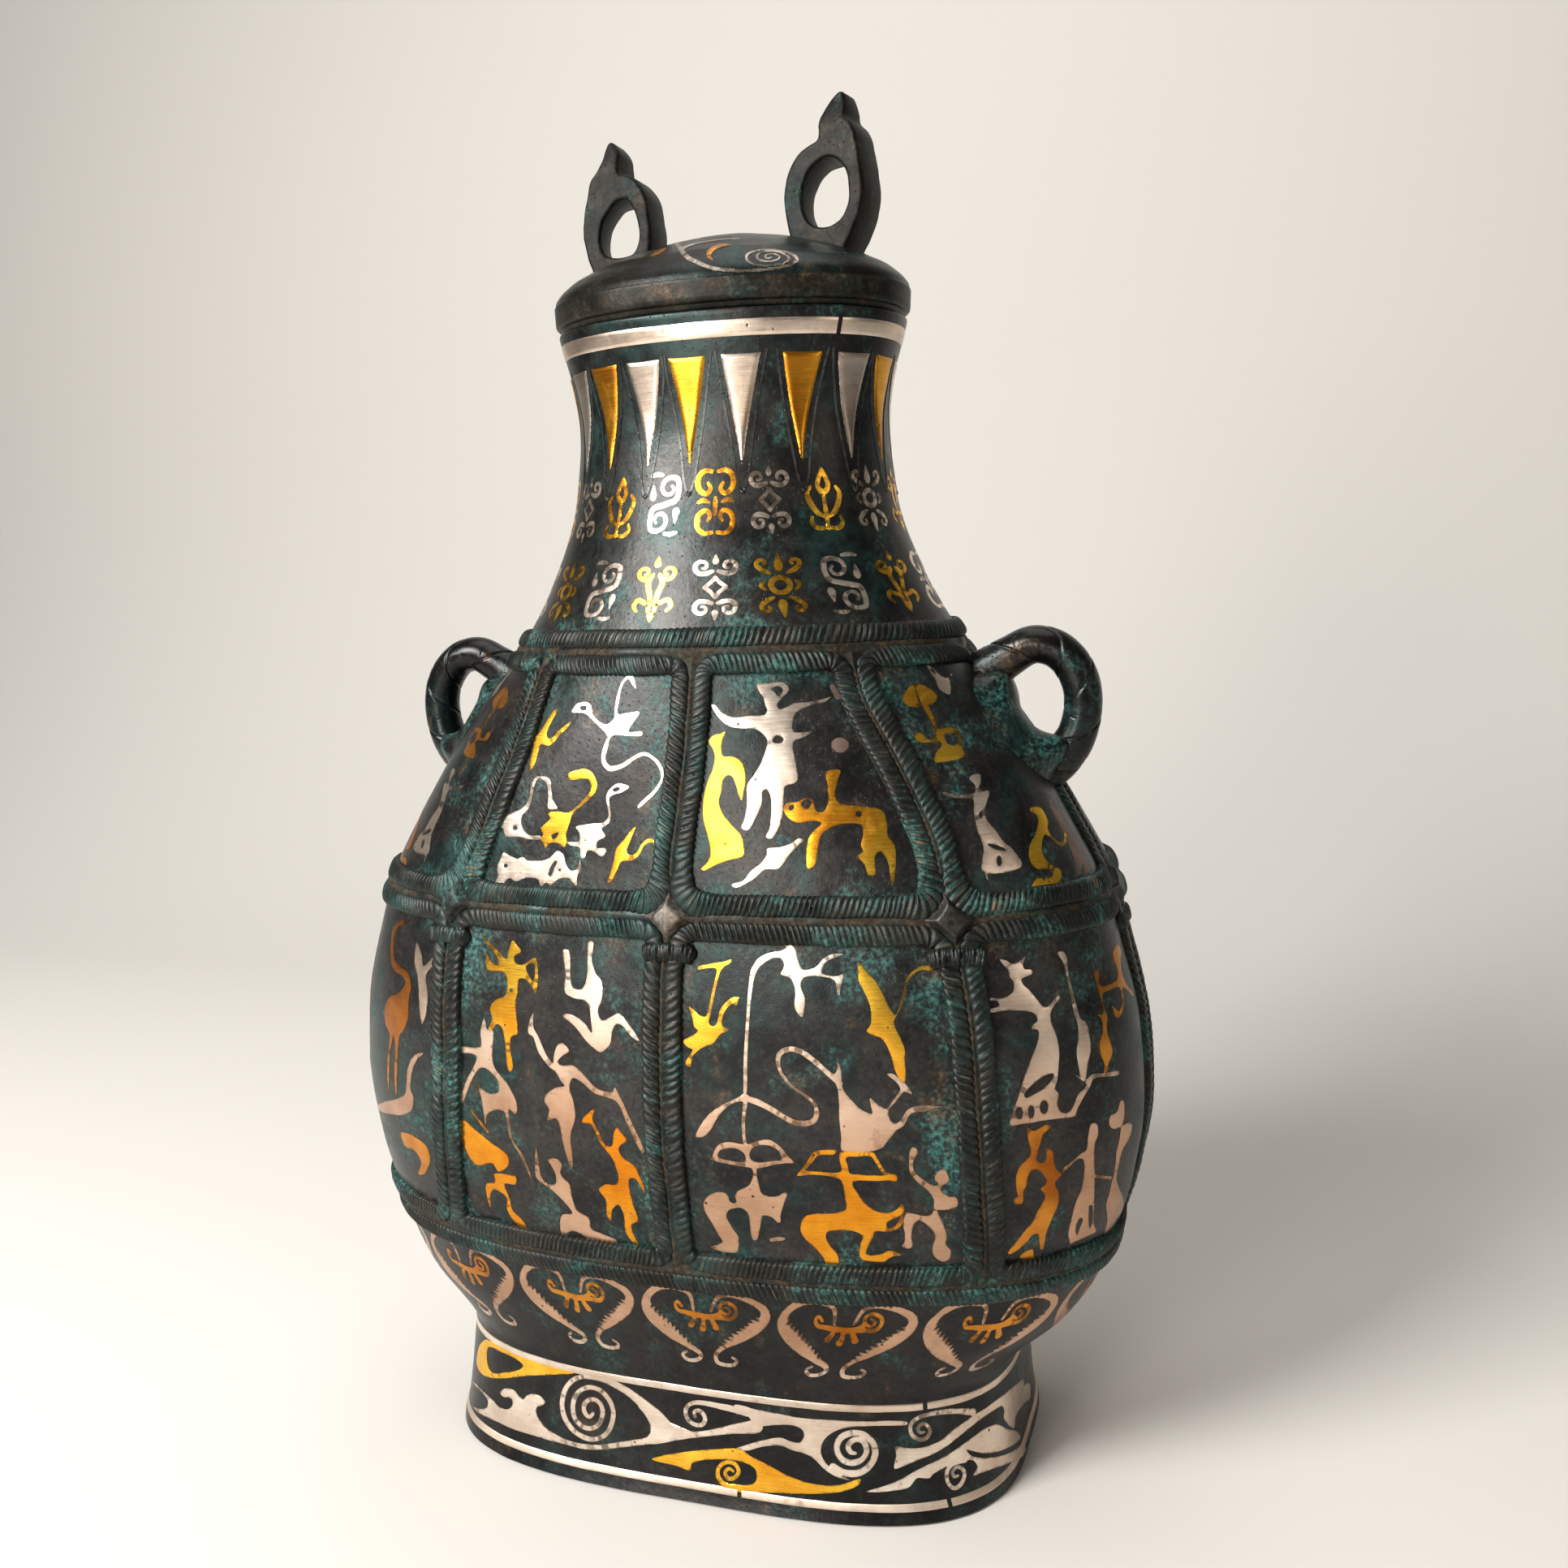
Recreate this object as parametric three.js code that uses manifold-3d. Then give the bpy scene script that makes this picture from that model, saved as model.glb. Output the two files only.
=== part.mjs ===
// Lidded ritual wine jar of cast bronze: flattened pear-shaped body on an oblong
// foot ring, domed lid with two openwork flame finials, two fixed loop handles,
// corded strap relief, and inlaid silver and gold strips and points.
// Units are millimetres, +Z is up, +X is the long side, the front is -Y.
// The origin is under the middle of the belly, on the plane that the foot stands on.

import * as THREE from 'three';
import { mergeVertices } from 'three/addons/utils/BufferGeometryUtils.js';
import Module from 'manifold-3d';

const wasm = await Module();
wasm.setup();

// ---------------------------------------------------------------- dimensions
const RIM_Z = 381.5;          // top of the mouth rim
const WALL = 4.5;             // wall of the body
const FOOT_WALL = 6.0;        // wall of the foot ring
const UNDER_Z = 44.0;         // underside plate inside the foot ring
const FLOOR_Z = 49.5;         // lowest point of the inner floor
const LEAN = 0.0165;          // sideways lean of the casting, mm per mm of height
const LEAN_Z = 130.0;         // height that the lean turns about
const FOOT_SHIFT = -1.3;      // sideways set of the foot ring under the belly
const STRAP_H = 2.6;          // strap relief
const STRAP_W = 5.6;          // half width of a strap at its top
const STRAP_F = 6.5;          // half width of a strap at its foot
const BANDS = [84.0, 198.0, 278.0];            // heights of the level straps
const SEAT_GAP = 0.35;        // gap between touching pieces
const INLAY_T = 0.9;          // thickness of an inlaid strip
const INLAY_SINK = 0.05;      // strip face below the bronze face
const MOUTH_BAND = [372.9, 377.9];
const FOOT_LINE_LOW = [3.9, 6.5];
const FOOT_LINE_TOP = [35.0, 37.6];
const TONGUE_Z = 368.0;       // lower edge of the lid tongue
const LID_SEAT_Z = RIM_Z + 0.3;
const LID_EDGE_Z = 383.4;     // outer lower edge of the lid
const LID_TOP_Z = 411.4;
const FINIAL_T = 15.5;        // thickness of a finial plate
const HANDLE_SECTION = 10;    // sides of the handle bar
const POINT_TOP_Z = 368.4;    // upper edge of the pointed inlays on the neck
const POINT_TIP_Z = 331.5;    // lower tip of the pointed inlays

// half length (a), half depth (b) and squareness (n) of the section by height
const A_Z = [0, 3, 6, 30, 36.4, 40, 44, 50, 58, 70, 84, 105, 130, 155, 180, 198, 220, 245, 262, 278, 300, 325, 350, 362, 373, 378, 381.5];
const A_V = [103.8, 103.8, 102.8, 101.0, 100.6, 101.0, 104.0, 110.5, 119.5, 127, 132.5, 138.5, 141.5, 139.7, 133.8, 128.5, 117.5, 103, 91.1, 78.1, 64.8, 55.6, 52.9, 54.2, 57.0, 58.4, 59.2];
const B_Z = [0, 6, 36.4, 44, 84, 105, 130, 155, 198, 240, 278, 300, 325, 350, 373, 381.5];
const B_V = [66.3, 64.2, 60.4, 61.5, 71.0, 74.5, 76.5, 75.8, 70.2, 63.8, 55.5, 48.5, 40.8, 37.8, 40.2, 41.6];
const N_Z = [0, 36.4, 60, 84, 198, 240, 278, 325, 373];
const N_V = [3.3, 3.0, 2.7, 2.5, 2.6, 2.3, 2.0, 2.1, 2.2];
// distance of the corner straps from the middle of the front, along X
const XC_Z = [84, 198, 278];
const XC_V = [88.5, 82.9, 50.5];

// ---------------------------------------------------------------- helpers
// monotone cubic through a table
function table(xs, ys) {
  const n = xs.length, h = [], d = [], m = new Array(n).fill(0);
  for (let i = 0; i < n - 1; i++) { h.push(xs[i + 1] - xs[i]); d.push((ys[i + 1] - ys[i]) / h[i]); }
  for (let i = 1; i < n - 1; i++) {
    if (d[i - 1] * d[i] > 0) {
      const w1 = 2 * h[i] + h[i - 1], w2 = h[i] + 2 * h[i - 1];
      m[i] = (w1 + w2) / (w1 / d[i - 1] + w2 / d[i]);
    }
  }
  const edge = (h0, h1, d0, d1) => {
    let e = ((2 * h0 + h1) * d0 - h0 * d1) / (h0 + h1);
    if (e * d0 <= 0) e = 0;
    else if (d0 * d1 <= 0 && Math.abs(e) > 3 * Math.abs(d0)) e = 3 * d0;
    return e;
  };
  if (n > 2) {
    m[0] = edge(h[0], h[1], d[0], d[1]);
    m[n - 1] = edge(h[n - 2], h[n - 3], d[n - 2], d[n - 3]);
  } else m[0] = m[1] = d[0];
  return (x) => {
    if (x <= xs[0]) return ys[0];
    if (x >= xs[n - 1]) return ys[n - 1];
    let i = 0;
    while (x > xs[i + 1]) i++;
    const t = (x - xs[i]) / h[i], t2 = t * t, t3 = t2 * t;
    return (2 * t3 - 3 * t2 + 1) * ys[i] + (t3 - 2 * t2 + t) * h[i] * m[i] + (-2 * t3 + 3 * t2) * ys[i + 1] + (t3 - t2) * h[i] * m[i + 1];
  };
}
const fA = table(A_Z, A_V), fB = table(B_Z, B_V), fN = table(N_Z, N_V), fXC = table(XC_Z, XC_V);

// quarter of a section as a fine polyline: front middle (0,-b) to the end (a,0)
const quarterCache = new Map();
function quarter(z) {
  const key = z.toFixed(3);
  if (quarterCache.has(key)) return quarterCache.get(key);
  const a = fA(z), b = fB(z), n = fN(z), K = 240, x = [], y = [], s = [0];
  for (let i = 0; i <= K; i++) {
    const t = (Math.PI / 2) * (i / K);
    x.push(a * Math.pow(Math.sin(t), 2 / n));
    y.push(-b * Math.pow(Math.cos(t), 2 / n));
    if (i) s.push(s[i - 1] + Math.hypot(x[i] - x[i - 1], y[i] - y[i - 1]));
  }
  const q = { a, b, n, x, y, s, L: s[K], K };
  quarterCache.set(key, q);
  return q;
}
function lookup(q, s) {
  let lo = 0, hi = q.K;
  while (hi - lo > 1) { const m = (lo + hi) >> 1; if (q.s[m] <= s) lo = m; else hi = m; }
  const t = (s - q.s[lo]) / Math.max(1e-9, q.s[hi] - q.s[lo]);
  return [q.x[lo] + t * (q.x[hi] - q.x[lo]), q.y[lo] + t * (q.y[hi] - q.y[lo])];
}
function arcOfX(q, x) {
  let i = 0;
  while (i < q.K && q.x[i + 1] < x) i++;
  const t = (x - q.x[i]) / Math.max(1e-9, q.x[i + 1] - q.x[i]);
  return q.s[i] + t * (q.s[i + 1] - q.s[i]);
}
// point at signed arc length s from the front middle (s runs right round), moved out by off
function onRing(z, s, off = 0) {
  const q = quarter(z), P = 4 * q.L;
  let v = ((s % P) + P) % P, sx = 1, sy = 1;
  if (v > 2 * q.L) { v = P - v; sx = -1; }
  if (v > q.L) { v = 2 * q.L - v; sy = -1; }
  const [x, y] = lookup(q, v);
  let nx = Math.pow(Math.abs(x) / q.a, q.n - 1) / q.a, ny = -Math.pow(Math.abs(y) / q.b, q.n - 1) / q.b;
  const l = Math.hypot(nx, ny);
  nx /= l; ny /= l;
  return [sx * (x + off * nx), sy * (y + off * ny), z];
}
const smooth = (t) => { const c = Math.min(1, Math.max(0, t)); return c * c * (3 - 2 * c); };
const lean = (p) => [p[0] + LEAN * (p[2] - LEAN_Z) + FOOT_SHIFT * (1 - smooth((p[2] - 36) / 60)), p[1], p[2]];

// columns of a quarter, as arc lengths at height z, and their strap flags
function quarterColumns(z) {
  const q = quarter(z);
  const zr = Math.min(Math.max(z, XC_Z[0]), XC_Z[2]);
  const qr = quarter(zr);
  const sc = (arcOfX(qr, fXC(zr)) / qr.L) * q.L;
  const c = [[0, 1], [STRAP_W, 1], [STRAP_F, 0]];
  const f0 = STRAP_F, f1 = sc - STRAP_F;
  for (let i = 1; i < 3; i++) c.push([f0 + ((f1 - f0) * i) / 3, 0]);
  c.push([sc - STRAP_F, 0], [sc - STRAP_W, 1], [sc, 1], [sc + STRAP_W, 1], [sc + STRAP_F, 0]);
  const e0 = sc + STRAP_F;
  for (let i = 1; i < 4; i++) c.push([e0 + ((q.L - e0) * i) / 4, 0]);
  c.push([q.L, 0]);
  return { q, c };
}
// all columns round the section
function columns(z) {
  const { q, c } = quarterColumns(z), out = [];
  const m = c.length;
  for (let i = 0; i < m - 1; i++) out.push(c[i]);
  for (let i = m - 1; i > 0; i--) out.push([2 * q.L - c[i][0], c[i][1]]);
  for (let i = 0; i < m - 1; i++) out.push([2 * q.L + c[i][0], c[i][1]]);
  for (let i = m - 1; i > 0; i--) out.push([4 * q.L - c[i][0], c[i][1]]);
  return out;
}
const COLS = columns(100).length;

// one ring of points; strap > 0 raises strap columns by that much, flat raises every column
function ring(z, { off = 0, strap = 0, flat = 0 } = {}) {
  return columns(z).map(([s, k]) => onRing(z, s, off + flat + (k ? strap : 0)));
}
// plain superellipse ring at any size
function ovalRing(z, a, b, n, m) {
  const out = [];
  for (let i = 0; i < m; i++) {
    const t = (2 * Math.PI * i) / m - Math.PI / 2, c = Math.cos(t), s = Math.sin(t);
    out.push([a * Math.sign(c) * Math.pow(Math.abs(c), 2 / n), b * Math.sign(s) * Math.pow(Math.abs(s), 2 / n), z]);
  }
  return out;
}
function geometryOf(points, tris) {
  const g = new THREE.BufferGeometry();
  g.setAttribute('position', new THREE.Float32BufferAttribute(points.flat(), 3));
  g.setIndex(tris.flat());
  return g;
}
// closed loft through rings of equal length, counter-clockwise seen from above, rising
function loft(rings, leaning = true) {
  const m = rings[0].length, pts = [], tris = [];
  rings.forEach((r) => r.forEach((p) => pts.push(leaning ? lean(p) : p)));
  const centre = (r) => r.reduce((s, p) => [s[0] + p[0] / m, s[1] + p[1] / m, s[2] + p[2] / m], [0, 0, 0]);
  for (let k = 0; k < rings.length - 1; k++) {
    for (let i = 0; i < m; i++) {
      const j = (i + 1) % m, a = k * m + i, b = k * m + j, c = (k + 1) * m + j, d = (k + 1) * m + i;
      tris.push([a, b, c], [a, c, d]);
    }
  }
  const lo = pts.length; pts.push(leaning ? lean(centre(rings[0])) : centre(rings[0]));
  const hi = pts.length; pts.push(leaning ? lean(centre(rings[rings.length - 1])) : centre(rings[rings.length - 1]));
  const t0 = (rings.length - 1) * m;
  for (let i = 0; i < m; i++) {
    const j = (i + 1) % m;
    tris.push([lo, j, i], [hi, t0 + i, t0 + j]);
  }
  return geometryOf(pts, tris);
}
function solid(geometry) {
  const g = geometry.clone();
  for (const k of Object.keys(g.attributes)) if (k !== 'position') g.deleteAttribute(k);
  const w = mergeVertices(g, 1e-4);
  const index = [];
  const src = w.index.array;
  for (let i = 0; i < src.length; i += 3) {
    if (src[i] !== src[i + 1] && src[i + 1] !== src[i + 2] && src[i] !== src[i + 2]) index.push(src[i], src[i + 1], src[i + 2]);
  }
  return new wasm.Manifold(new wasm.Mesh({ numProp: 3, vertProperties: new Float32Array(w.attributes.position.array), triVerts: new Uint32Array(index) }));
}
function fromSolid(m) {
  const r = m.getMesh(), g = new THREE.BufferGeometry(), p = new Float32Array((r.vertProperties.length / r.numProp) * 3);
  for (let i = 0; i < p.length / 3; i++) for (let k = 0; k < 3; k++) p[3 * i + k] = r.vertProperties[i * r.numProp + k];
  g.setAttribute('position', new THREE.BufferAttribute(p, 3));
  g.setIndex(new THREE.BufferAttribute(new Uint32Array(r.triVerts), 1));
  return g;
}

// ---------------------------------------------------------------- materials
const bronze = () => new THREE.MeshStandardMaterial({ color: 0x2b2f2b, roughness: 0.45, metalness: 0.8 });
const bronzeDark = () => new THREE.MeshStandardMaterial({ color: 0x1d1f1d, roughness: 0.35, metalness: 0.8 });
const silver = () => new THREE.MeshStandardMaterial({ color: 0xb9a99a, roughness: 0.35, metalness: 1.0 });
const gold = () => new THREE.MeshStandardMaterial({ color: 0xc8932b, roughness: 0.35, metalness: 1.0 });

const root = new THREE.Group();
function add(name, geometry, material) {
  const g = geometry.clone();
  g.computeVertexNormals();
  const mesh = new THREE.Mesh(g, material);
  mesh.name = name;
  root.add(mesh);
  return mesh;
}

// ---------------------------------------------------------------- body
// rows of the outer face: [height, outward offset, strap relief, level relief]
const G = INLAY_SINK + INLAY_T + SEAT_GAP;
function outerRows(extra) {
  const rows = [], H = STRAP_H;
  const put = (z, off = 0, strap = 0, flat = 0) => rows.push(ring(z, { off: off + extra, strap, flat }));
  const groove = (z0, z1) => {
    const lo = z0 - SEAT_GAP, hi = z1 + SEAT_GAP, d = extra > 0 ? 0 : -G;
    put(lo); put(lo, d); put(hi, d); put(hi);
  };
  put(0);
  groove(...FOOT_LINE_LOW);
  put(20);
  groove(...FOOT_LINE_TOP);
  put(41); put(45); put(50); put(58); put(68);
  for (let k = 0; k < 3; k++) {
    const z = BANDS[k], below = k > 0 ? H : 0, above = k < 2 ? H : 0;
    put(z - STRAP_F, 0, below); put(z - STRAP_W, 0, 0, H); put(z + STRAP_W, 0, 0, H); put(z + STRAP_F, 0, above);
    if (k === 0) { put(105, 0, H); put(130, 0, H); put(155, 0, H); put(175, 0, H); }
    if (k === 1) { put(220, 0, H); put(245, 0, H); put(260, 0, H); }
  }
  put(300); put(317); put(338); put(356);
  groove(...MOUTH_BAND);
  put(RIM_Z);
  return rows;
}
let body = solid(loft(outerRows(0)));
const bodyClear = solid(loft(outerRows(SEAT_GAP)));

const cavity = solid(loft([
  ring(FLOOR_Z, { off: -22 }), ring(52, { off: -12 }), ring(58, { off: -7 }), ring(72, { off: -WALL }),
  ring(100, { off: -WALL }), ring(130, { off: -WALL }), ring(162, { off: -WALL }), ring(205, { off: -WALL }),
  ring(255, { off: -WALL }), ring(285, { off: -WALL }), ring(315, { off: -WALL }),
  ring(350, { off: -WALL }), ring(RIM_Z, { off: -WALL }),
  ring(RIM_Z, { off: -WALL }).map((p) => [p[0], p[1], RIM_Z + 3]),
]));
const footHollow = solid(loft([
  ring(0, { off: -FOOT_WALL }).map((p) => [p[0], p[1], -3]), ring(0, { off: -FOOT_WALL }), ring(36, { off: -FOOT_WALL }), ring(UNDER_Z, { off: -13 }),
]));
body = body.subtract(cavity).subtract(footHollow);

// four-pointed bosses where the straps cross on the middle band
function boss(s, z, wx, wz, h) {
  const at = (ds, dz, off) => lean(onRing(z + dz, s + ds, off));
  const c = [at(-wx, 0, 0.4), at(0, -wz, 0.4), at(wx, 0, 0.4), at(0, wz, 0.4)];
  const back = [at(-wx, 0, -2.5), at(0, -wz, -2.5), at(wx, 0, -2.5), at(0, wz, -2.5)];
  const pts = [...c, ...back, at(0, 0, h), at(0, 0, -2.6)];
  const tris = [];
  for (let i = 0; i < 4; i++) {
    const j = (i + 1) % 4;
    tris.push([i, j, 8], [j, i, i + 4], [j, i + 4, j + 4], [i + 4, 9, j + 4]);
  }
  return solid(geometryOf(pts, tris));
}
{
  const q = quarter(BANDS[1]), sc = arcOfX(q, fXC(BANDS[1]));
  for (const s of [0, sc, 2 * q.L - sc, 2 * q.L, 2 * q.L + sc, 4 * q.L - sc]) body = body.add(boss(s, BANDS[1], 10, 10, STRAP_H + 4.6));
}

// ---------------------------------------------------------------- pointed inlays on the neck
// middle of each point as arc length at the level POINT_TOP_Z, silver and gold in turn
const POINT_S = [-48.5, -32.9, -16.2, -0.7, 16.8, 36.2, 53.9, 69.6];
{
  const P = 4 * quarter(POINT_TOP_Z).L, gap = P - 48.5 - 69.6;
  for (let i = 1; i <= 10; i++) POINT_S.push(69.6 + (gap * i) / 11);
}
const POINT_HALF = 6.6;       // half width at the top
function pointShape(k) {
  // half width of a point at fraction k of the way down
  return POINT_HALF * Math.pow(1 - k, 1.15) + 0.25;
}
function pointPatch(s0, inner, outer, grow) {
  const rows = 4, L0 = quarter(POINT_TOP_Z).L, pts = [], tris = [];
  const nrow = rows + 1;
  for (let side = 0; side < 2; side++) {
    const off = side ? outer : inner;
    for (let r = 0; r <= rows; r++) {
      const k = r / rows;
      let z = POINT_TOP_Z + (POINT_TIP_Z - POINT_TOP_Z) * k;
      if (r === 0) z += grow;
      if (r === rows) z -= grow * 1.6;
      const s = (s0 / L0) * quarter(z).L, w = pointShape(k) + grow;
      for (let c = -1; c <= 1; c++) pts.push(lean(onRing(z, s + c * w, off)));
    }
  }
  const id = (side, r, c) => side * nrow * 3 + r * 3 + c;
  for (let r = 0; r < rows; r++) {
    for (let c = 0; c < 2; c++) {
      tris.push([id(1, r, c), id(1, r + 1, c), id(1, r + 1, c + 1)], [id(1, r, c), id(1, r + 1, c + 1), id(1, r, c + 1)]);
      tris.push([id(0, r, c), id(0, r + 1, c + 1), id(0, r + 1, c)], [id(0, r, c), id(0, r, c + 1), id(0, r + 1, c + 1)]);
    }
    tris.push([id(0, r, 0), id(0, r + 1, 0), id(1, r + 1, 0)], [id(0, r, 0), id(1, r + 1, 0), id(1, r, 0)]);
    tris.push([id(0, r, 2), id(1, r + 1, 2), id(0, r + 1, 2)], [id(0, r, 2), id(1, r, 2), id(1, r + 1, 2)]);
  }
  for (let c = 0; c < 2; c++) {
    tris.push([id(0, 0, c), id(1, 0, c), id(1, 0, c + 1)], [id(0, 0, c), id(1, 0, c + 1), id(0, 0, c + 1)]);
    tris.push([id(0, rows, c), id(1, rows, c + 1), id(1, rows, c)], [id(0, rows, c), id(0, rows, c + 1), id(1, rows, c + 1)]);
  }
  return geometryOf(pts, tris);
}
const points = [];
POINT_S.forEach((s) => {
  body = body.subtract(solid(pointPatch(s, -1.6, 2.0, SEAT_GAP)));
  points.push(pointPatch(s, -1.6 + SEAT_GAP, -0.35, 0));
});
add('vessel_body', fromSolid(body), bronze());

// ---------------------------------------------------------------- flush strips
// a strip between columns i0 and i1 (fractions allowed at the ends) in a band of heights
function strip(zs, c0, c1) {
  const row = (z, off) => {
    const cols = columns(z), P = 4 * quarter(z).L;
    const raw = (k) => { const m = ((k % COLS) + COLS) % COLS; return onRing(z, cols[m][0], off); };
    const at = (v) => {
      const k = Math.floor(v), t = v - k, p = raw(k), r = raw(k + 1);
      return [p[0] + t * (r[0] - p[0]), p[1] + t * (r[1] - p[1]), z];
    };
    const out = [at(c0)];
    for (let k = Math.floor(c0) + 1; k < c1; k++) out.push(at(k));
    out.push(at(c1));
    return out;
  };
  const inner = -(INLAY_SINK + INLAY_T), outer = -INLAY_SINK;
  const loops = [row(zs[0], inner), row(zs[0], outer), row(zs[1], outer), row(zs[1], inner)];
  const m = loops[0].length, pts = [], tris = [];
  loops.forEach((l) => l.forEach((p) => pts.push(lean(p))));
  for (let k = 0; k < 4; k++) {
    const n = (k + 1) % 4;
    for (let i = 0; i < m - 1; i++) tris.push([k * m + i, k * m + i + 1, n * m + i + 1], [k * m + i, n * m + i + 1, n * m + i]);
  }
  tris.push([0, m, 2 * m], [0, 2 * m, 3 * m]);
  const e = m - 1;
  tris.push([e, 2 * m + e, m + e], [e, 3 * m + e, 2 * m + e]);
  return geometryOf(pts, tris);
}
const J = 0.02;               // half of the butt gap, as part of a column
const cut = (name, zs, joints, mat) => joints.forEach((j, i) => {
  const a = joints[i], b = i + 1 < joints.length ? joints[i + 1] : joints[0] + COLS;
  add(`${name}_${i + 1}`, strip(zs, a + J, b - J), mat());
});
cut('mouth_band_silver', MOUTH_BAND, [9.1, 35.1], silver);
cut('foot_line_lower_silver', FOOT_LINE_LOW, [2.6, 9.3, 33.3], silver);
cut('foot_line_upper_silver', FOOT_LINE_TOP, [8.5, 34.5], silver);

points.forEach((g, i) => add(`neck_point_${i % 2 ? 'gold' : 'silver'}_${String(i + 1).padStart(2, '0')}`, g, i % 2 ? gold() : silver()));

// ---------------------------------------------------------------- lid
const LID_ROWS = [
  [LID_EDGE_Z, 59.4, 41.9], [384.3, 60.2, 42.6], [390.4, 60.5, 42.8], [393.6, 58.9, 41.5], [397.4, 54.4, 38.0],
  [401.2, 46.8, 32.4], [404.8, 36.4, 24.8], [408.2, 24.6, 16.6], [410.6, 12.4, 8.3],
];
const LID_N = 2.15, LID_M = 44;
function lidOuter(extra) {
  const rows = LID_ROWS.map(([z, a, b]) => ovalRing(z, a + extra, b + extra, LID_N, LID_M));
  rows.push(ovalRing(LID_TOP_Z + extra, 2.2, 1.5, 2, LID_M));
  return rows;
}
{
  const seat = (z, d) => ovalRing(z, fA(RIM_Z) + d, fB(RIM_Z) + d, fN(RIM_Z), LID_M);
  const tongue = (z, d) => ovalRing(z, fA(TONGUE_Z) - WALL - 1.1 + d, fB(TONGUE_Z) - WALL - 1.1 + d, fN(TONGUE_Z), LID_M);
  let lid = solid(loft([...lidOuter(0)]));
  lid = lid.add(solid(loft([seat(LID_SEAT_Z, -1.6), seat(LID_EDGE_Z + 0.8, -1.0)])));
  lid = lid.add(solid(loft([tongue(TONGUE_Z, 0), tongue(LID_EDGE_Z + 1, 0)])));
  lid = lid.subtract(solid(loft([
    tongue(TONGUE_Z - 3, -2.8), tongue(386, -2.8), ovalRing(393, 45, 28.5, LID_N, LID_M),
    ovalRing(399, 35, 22, LID_N, LID_M), ovalRing(403.6, 21, 13.4, LID_N, LID_M), ovalRing(406.4, 8, 5, LID_N, LID_M),
  ])));
  add('lid', fromSolid(lid), bronze());
}
const lidClear = solid(loft(lidOuter(SEAT_GAP)));

// ---------------------------------------------------------------- finials
// outline and hole in the plane of the plate: p along the plate, z up
const FINIAL_L = {
  x: -37.5, turn: 0,
  outline: [[-8.6, 398], [-9.2, 403], [-10.9, 408], [-12, 416.5], [-11.4, 423], [-10, 428], [-8.9, 432], [-6.5, 434.9], [-4.7, 438.3], [-3.9, 441.8], [-3.0, 444.0], [-1.6, 444.6], [0.2, 443], [1.6, 440.4], [1.7, 437], [2.1, 433.8], [4.9, 433], [7.4, 431.2], [10, 428], [11.5, 424], [12.2, 419.5], [12.6, 414.5], [12.2, 409], [11.2, 403], [10.6, 397]],
  hole: [[4, 424.9], [0.6, 424.4], [-1.6, 422.4], [-3.8, 419.6], [-5.1, 416], [-5.4, 411.8], [-4.2, 408.6], [-1.4, 407.2], [2.5, 407], [6, 408], [7.8, 411], [8.1, 415], [7, 420.2], [5.7, 423]],
};
const FINIAL_R = {
  x: 35.0, turn: 10 * Math.PI / 180,
  outline: [[-8.0, 399], [-10.2, 404], [-11.8, 408.5], [-12.9, 415], [-13.4, 420], [-12.7, 424.7], [-11.4, 428.2], [-9.3, 431.5], [-6.9, 433.6], [-4, 434.9], [-1.3, 436], [-0.6, 438], [-0.9, 440.2], [0, 442.8], [3, 447.4], [4.6, 449.6], [5.8, 450], [6.6, 448.6], [7, 445.2], [8.2, 442.2], [10.4, 439.8], [12, 436.6], [12.9, 432.5], [14.2, 426.6], [14.8, 420], [14, 413.2], [11.4, 407], [8.6, 402.5], [7, 398]],
  hole: [[1.7, 430], [-2.7, 428], [-5.7, 423.8], [-6.6, 418.8], [-5.6, 413.6], [-2.2, 410.4], [2.5, 409.6], [6.8, 411.4], [9.3, 416], [9.3, 421.5], [8.3, 426], [5.3, 429.2]],
};
function finial({ x, turn, outline, hole }) {
  const shape = new THREE.Shape(outline.map(([p, z]) => new THREE.Vector2(p, z)));
  shape.holes.push(new THREE.Path(hole.map(([p, z]) => new THREE.Vector2(p, z))));
  const g = new THREE.ExtrudeGeometry(shape, { depth: FINIAL_T, bevelEnabled: false, steps: 1 });
  g.translate(0, 0, -FINIAL_T / 2);
  g.rotateX(Math.PI / 2);
  g.rotateZ(-turn);
  g.translate(x, 0, 0);
  const p = g.attributes.position;
  for (let i = 0; i < p.count; i++) p.setX(i, p.getX(i) + LEAN * (p.getZ(i) - LEAN_Z));
  return fromSolid(solid(g).subtract(lidClear));
}
add('lid_finial_left', finial(FINIAL_L), bronze());
add('lid_finial_right', finial(FINIAL_R), bronze());

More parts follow.
